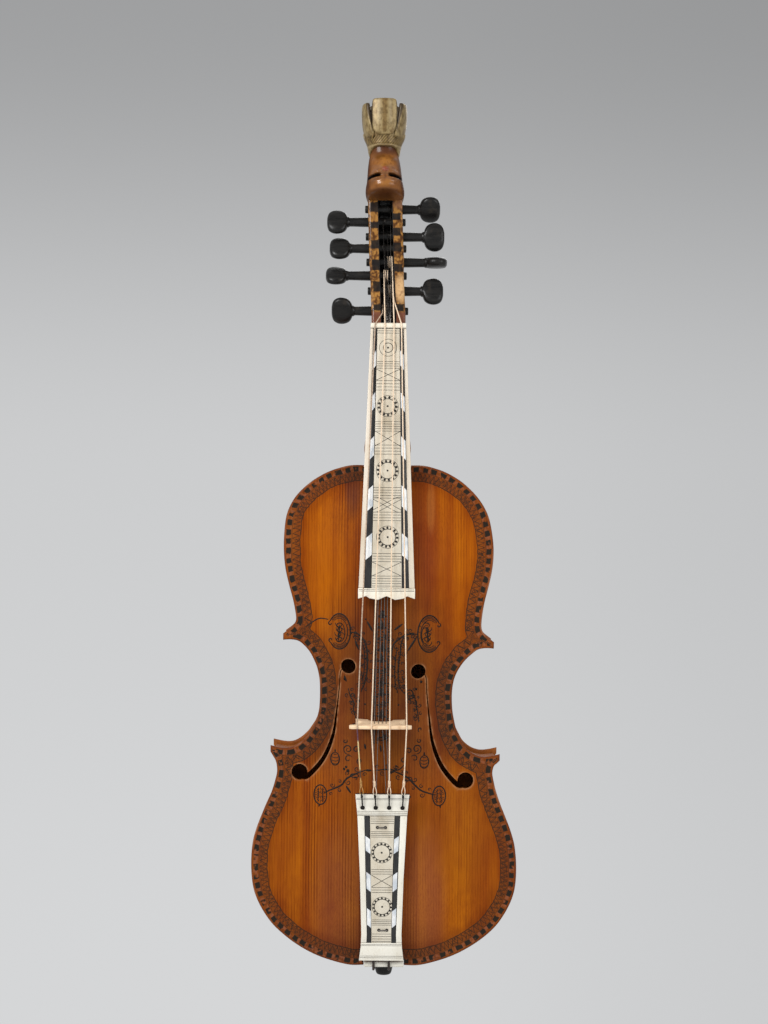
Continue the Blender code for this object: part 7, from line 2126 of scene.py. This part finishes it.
def wire_finish():
    """Drawn wire, with painted shade on it where it runs in the pegbox above the nut."""
    material, r, shader = new_finish("wire", 0.38, 1.0)
    spot = r.where()
    drift = r.noise(spot, 1600.0, 4.0)
    colour = r.mix(r.ramp(drift, 0.30, 0.70), (0.14, 0.13, 0.12), (0.30, 0.27, 0.25))
    # Painted shade: the wire is darkened above the nut, inside the pegbox, where it catches little light.
    pegbox_shade = r.ramp(r.apart(spot)[2], height_of(-0.0040), height_of(-0.0120))
    colour = r.mix(r.math("MULTIPLY", pegbox_shade, 0.85), colour, (0.030, 0.026, 0.023))
    r.put(shader.inputs["Base Color"], colour)
    relief(r, shader, drift, 0.00002)
    return material


def make_finishes(settings):
    """Every finish of the fiddle, by name."""
    neck = tuple(settings.neck_stain)
    return {
        "spruce": spruce_varnish(settings),
        "maple": maple_varnish("maple_varnish", (0.300, 0.092, 0.016), (0.150, 0.042, 0.009)),
        "neck": neck_stain(neck),
        "inside": plain_finish("bare_spruce", (0.62, 0.45, 0.25), (0.48, 0.33, 0.17), 0.70, (4.0, 4.0, 0.1)),
        "bridge": plain_finish("bare_maple", (0.97, 0.74, 0.49), (0.84, 0.60, 0.38), 0.55, (0.25, 3.0, 3.0), 420.0,
                               specular=0.3, specks=(0.50, 0.28, 0.14)),
        "trough": plain_finish("trough_black", (0.016, 0.012, 0.011), (0.006, 0.005, 0.005), 0.26,
                               (2.0, 2.0, 0.3), coat=0.4, specks=(0.040, 0.020, 0.012)),
        "black": plain_finish("black_wood", (0.014, 0.013, 0.012), (0.005, 0.005, 0.005), 0.30, (0.3, 2.0, 2.0),
                              300.0, specular=0.28, specks=(0.045, 0.036, 0.026)),
        "board": plain_finish("blackened_core", (0.022, 0.018, 0.017), (0.010, 0.009, 0.009), 0.45,
                              (2.0, 2.0, 0.1)),
        "bone": bone_finish("bone", (0.92, 0.86, 0.73), (0.82, 0.73, 0.57), 0.22),
        "edge_bone": bone_finish("edge_bone", (0.81, 0.72, 0.60), (0.72, 0.62, 0.48), 0.22),
        "pale_bone": bone_finish("pale_bone", (0.90, 0.87, 0.77), (0.82, 0.78, 0.67), 0.22),
        "old_bone": bone_finish("old_bone", (0.74, 0.68, 0.56), (0.60, 0.53, 0.41), 0.50),
        "horn": plain_finish("horn", (0.030, 0.031, 0.030), (0.014, 0.014, 0.015), 0.28, (3.0, 3.0, 0.15), 300.0),
        "pearl": pearl_finish(),
        "gilt": gilt_paint(),
        "gut": plain_finish("gut", (0.95, 0.77, 0.58), (0.74, 0.54, 0.36), 0.38, (1.0, 1.0, 0.3), 1500.0),
        "low_string": low_string_finish(),
        "cord": plain_finish("cord", (0.026, 0.022, 0.020), (0.008, 0.007, 0.007), 0.75, scale=2500.0,
                             specular=0.15),
        "dark_gut": plain_finish("old_gut", (0.045, 0.026, 0.018), (0.018, 0.012, 0.009), 0.45, scale=900.0),
        "wire": wire_finish(),
        "ink": plain_finish("ink", (0.022, 0.013, 0.009), (0.008, 0.006, 0.005), 0.50, scale=900.0, specular=0.2),
        "engraved": plain_finish("engraved_fill", (0.055, 0.050, 0.042), (0.020, 0.019, 0.018), 0.60, scale=900.0,
                                 specular=0.2),
    }


def finish_nodes(material, *names):
    """Gives CAD pieces that stay a finish."""
    for name in names:
        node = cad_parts[name]
        node.data.materials.clear()
        node.data.materials.append(material)


# Stage

def make_world(scene):
    """Grey paper behind, with painted shade darkening it towards the top and one side, and plain light all round."""
    world = bpy.data.worlds.new("studio")
    world.use_nodes = True
    scene.world = world
    r = Recipe(world.node_tree)
    back = world.node_tree.nodes["Background"]
    x, _, z = r.apart(r.node("TexCoord").outputs["Generated"])
    # Painted shade: the paper darkens towards the top and towards one side.
    low = r.ramp(z, -0.28, 0.08)
    paper = r.mix(low, (0.665, 0.672, 0.680), (0.600, 0.606, 0.613))
    paper = r.mix(r.ramp(z, 0.02, 0.30), paper, (0.345, 0.348, 0.353))
    paper = r.darken(r.ramp(x, -0.05, 0.25), paper, (0.90, 0.90, 0.90))
    path = r.node("LightPath").outputs
    seen = r.math("ADD", r.math("ADD", path["Is Camera Ray"], path["Is Glossy Ray"]),
                  path["Is Transmission Ray"], clamp=True)
    r.put(back.inputs["Color"], r.mix(seen, (0.60, 0.60, 0.60), paper))
    back.inputs["Strength"].default_value = 1.0


def make_lamp(scene, name, spot, power, size):
    lamp = bpy.data.lights.new(name, "AREA")
    lamp.energy = power
    lamp.size = size
    holder = bpy.data.objects.new(name, lamp)
    holder.location = spot
    holder.rotation_euler = (Vector((0, 0, -0.28)) - holder.location).to_track_quat("-Z", "Y").to_euler()
    scene.collection.objects.link(holder)


def make_floor(scene):
    mesh = bpy.data.meshes.new("floor")
    half, level = 2.9, -1.9
    mesh.from_pydata([(-half, -half, level), (half, -half, level), (half, half, level), (-half, half, level)], [],
                     [[0, 1, 2, 3]])
    mesh.materials.append(plain_finish("paper", (0.74, 0.74, 0.74), (0.70, 0.70, 0.70), 0.8, scale=8.0))
    floor = bpy.data.objects.new("floor", mesh)
    scene.collection.objects.link(floor)


class FiddleSettings(bpy.types.PropertyGroup):
    varnish: bpy.props.FloatVectorProperty(
        name="Varnish", description="Colour of the varnish on the upper half of the belly", subtype="COLOR",
        size=3, default=(0.405, 0.098, 0.002), min=0, max=1)
    varnish_low: bpy.props.FloatVectorProperty(
        name="Lower varnish", description="Colour of the varnish on the lower half of the belly",
        subtype="COLOR", size=3, default=(0.340, 0.084, 0.004), min=0, max=1)
    neck_stain: bpy.props.FloatVectorProperty(
        name="Neck stain", description="Colour of the neck and the carved head", subtype="COLOR", size=3,
        default=(0.240, 0.088, 0.018), min=0, max=1)
    grain_pitch: bpy.props.FloatProperty(
        name="Grain", description="Distance between the lines of the belly's grain", subtype="DISTANCE",
        unit="LENGTH", default=0.0020, min=0.0004, max=0.004)
    border_pitch: bpy.props.FloatProperty(
        name="Border squares", description="Distance between the inked squares round the belly",
        subtype="DISTANCE", unit="LENGTH", default=0.0070, min=0.003, max=0.02)
    view_height: bpy.props.FloatProperty(
        name="View angle", description="Height of the camera's view", subtype="ANGLE",
        default=math.radians(33.8))


class FIDDLE_OT_body(bpy.types.Operator):
    """Carves the belly and the back and bends the ribs"""
    bl_idname = "fiddle.body"
    bl_label = "Body"

    def execute(self, context):
        finishes = FINISHES
        make_belly(finishes["spruce"])
        make_back(finishes["maple"])
        make_ribs(finishes["maple"])
        return {"FINISHED"}


class FIDDLE_OT_ornament(bpy.types.Operator):
    """Draws the inked ornament on the belly; the body comes first"""
    bl_idname = "fiddle.ornament"
    bl_label = "Ornament"

    def execute(self, context):
        make_ornament(FINISHES["ink"])
        return {"FINISHED"}


class FIDDLE_OT_head(bpy.types.Operator):
    """Carves the neck, the head and the crown"""
    bl_idname = "fiddle.head"
    bl_label = "Neck and head"

    def execute(self, context):
        make_neck(FINISHES)
        make_crown(FINISHES["gilt"])
        return {"FINISHED"}


class FIDDLE_OT_pegs(bpy.types.Operator):
    """Turns the eight pegs"""
    bl_idname = "fiddle.pegs"
    bl_label = "Pegs"

    def execute(self, context):
        for peg in PEGS:
            make_peg(*peg, FINISHES["black"])
        return {"FINISHED"}


class FIDDLE_OT_facings(bpy.types.Operator):
    """Rounds, inlays and engraves the fingerboard, the nut and the tailpiece"""
    bl_idname = "fiddle.facings"
    bl_label = "Fingerboard and tailpiece"

    def execute(self, context):
        make_board(FINISHES)
        make_tail_piece(FINISHES)
        return {"FINISHED"}


class FIDDLE_OT_fittings(bpy.types.Operator):
    """Rounds the bridge and the saddle, turns the end button and bends the tail gut"""
    bl_idname = "fiddle.fittings"
    bl_label = "Bridge and tail end"

    def execute(self, context):
        make_fittings(FINISHES)
        return {"FINISHED"}


class FIDDLE_OT_strings(bpy.types.Operator):
    """Lays, winds and ties the strings"""
    bl_idname = "fiddle.strings"
    bl_label = "Strings"

    def execute(self, context):
        make_playing_strings(FINISHES)
        make_sympathetic_strings(FINISHES["wire"])
        return {"FINISHED"}


class FIDDLE_OT_finishes(bpy.types.Operator):
    """Mixes the finishes and gives them to the pieces that stay as they are"""
    bl_idname = "fiddle.finishes"
    bl_label = "Finishes"

    def execute(self, context):
        finishes = FINISHES
        finishes.update(make_finishes(context.scene.fiddle))
        names = list(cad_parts)
        finish_nodes(finishes["inside"], "neck_block", "end_block", "bass_bar", "sound_post",
                     *[name for name in names if name.startswith("corner_block")])
        return {"FINISHED"}


class FIDDLE_OT_stage(bpy.types.Operator):
    """Makes the camera, the lamps, the world and the floor"""
    bl_idname = "fiddle.stage"
    bl_label = "Stage"

    def execute(self, context):
        scene = context.scene
        lens = bpy.data.cameras.new("camera")
        lens.sensor_fit = "VERTICAL"
        lens.angle = scene.fiddle.view_height
        camera = bpy.data.objects.new("camera", lens)
        camera.location = (-0.0022, -1.221, -0.2576)
        camera.rotation_euler = (math.pi / 2, math.radians(-0.435), 0)
        scene.collection.objects.link(camera)
        scene.camera = camera
        make_lamp(scene, "key", (-1.1, -1.4, 0.7), 25.0, 0.8)
        make_lamp(scene, "fill", (1.3, -1.3, 0.2), 9.0, 1.0)
        make_lamp(scene, "rim", (0.3, 1.2, 0.6), 5.0, 0.8)
        make_world(scene)
        make_floor(scene)
        scene.view_settings.view_transform = "Standard"
        return {"FINISHED"}


class FIDDLE_PT_panel(bpy.types.Panel):
    """Lists the settings and the steps that build the fiddle"""
    bl_idname = "FIDDLE_PT_panel"
    bl_label = "Hardanger fiddle"
    bl_space_type = "VIEW_3D"
    bl_region_type = "UI"
    bl_category = "Fiddle"

    def draw(self, context):
        for setting in FiddleSettings.__annotations__:
            self.layout.prop(context.scene.fiddle, setting)
        for step in STEPS:
            self.layout.operator(step.bl_idname)


FINISHES = {}
STEPS = (FIDDLE_OT_finishes, FIDDLE_OT_body, FIDDLE_OT_ornament, FIDDLE_OT_head, FIDDLE_OT_pegs,
         FIDDLE_OT_facings, FIDDLE_OT_fittings, FIDDLE_OT_strings, FIDDLE_OT_stage)
CLASSES = (FiddleSettings, *STEPS, FIDDLE_PT_panel)


def register():
    for each in CLASSES:
        bpy.utils.register_class(each)
    bpy.types.Scene.fiddle = bpy.props.PointerProperty(type=FiddleSettings)


def unregister():
    del bpy.types.Scene.fiddle
    for each in reversed(CLASSES):
        bpy.utils.unregister_class(each)


def main():
    register()
    for step in STEPS:
        group, name = step.bl_idname.split(".")
        if getattr(getattr(bpy.ops, group), name)() != {"FINISHED"}:
            raise RuntimeError(f"{step.bl_label} didn't finish")


if __name__ == "__main__":
    main()
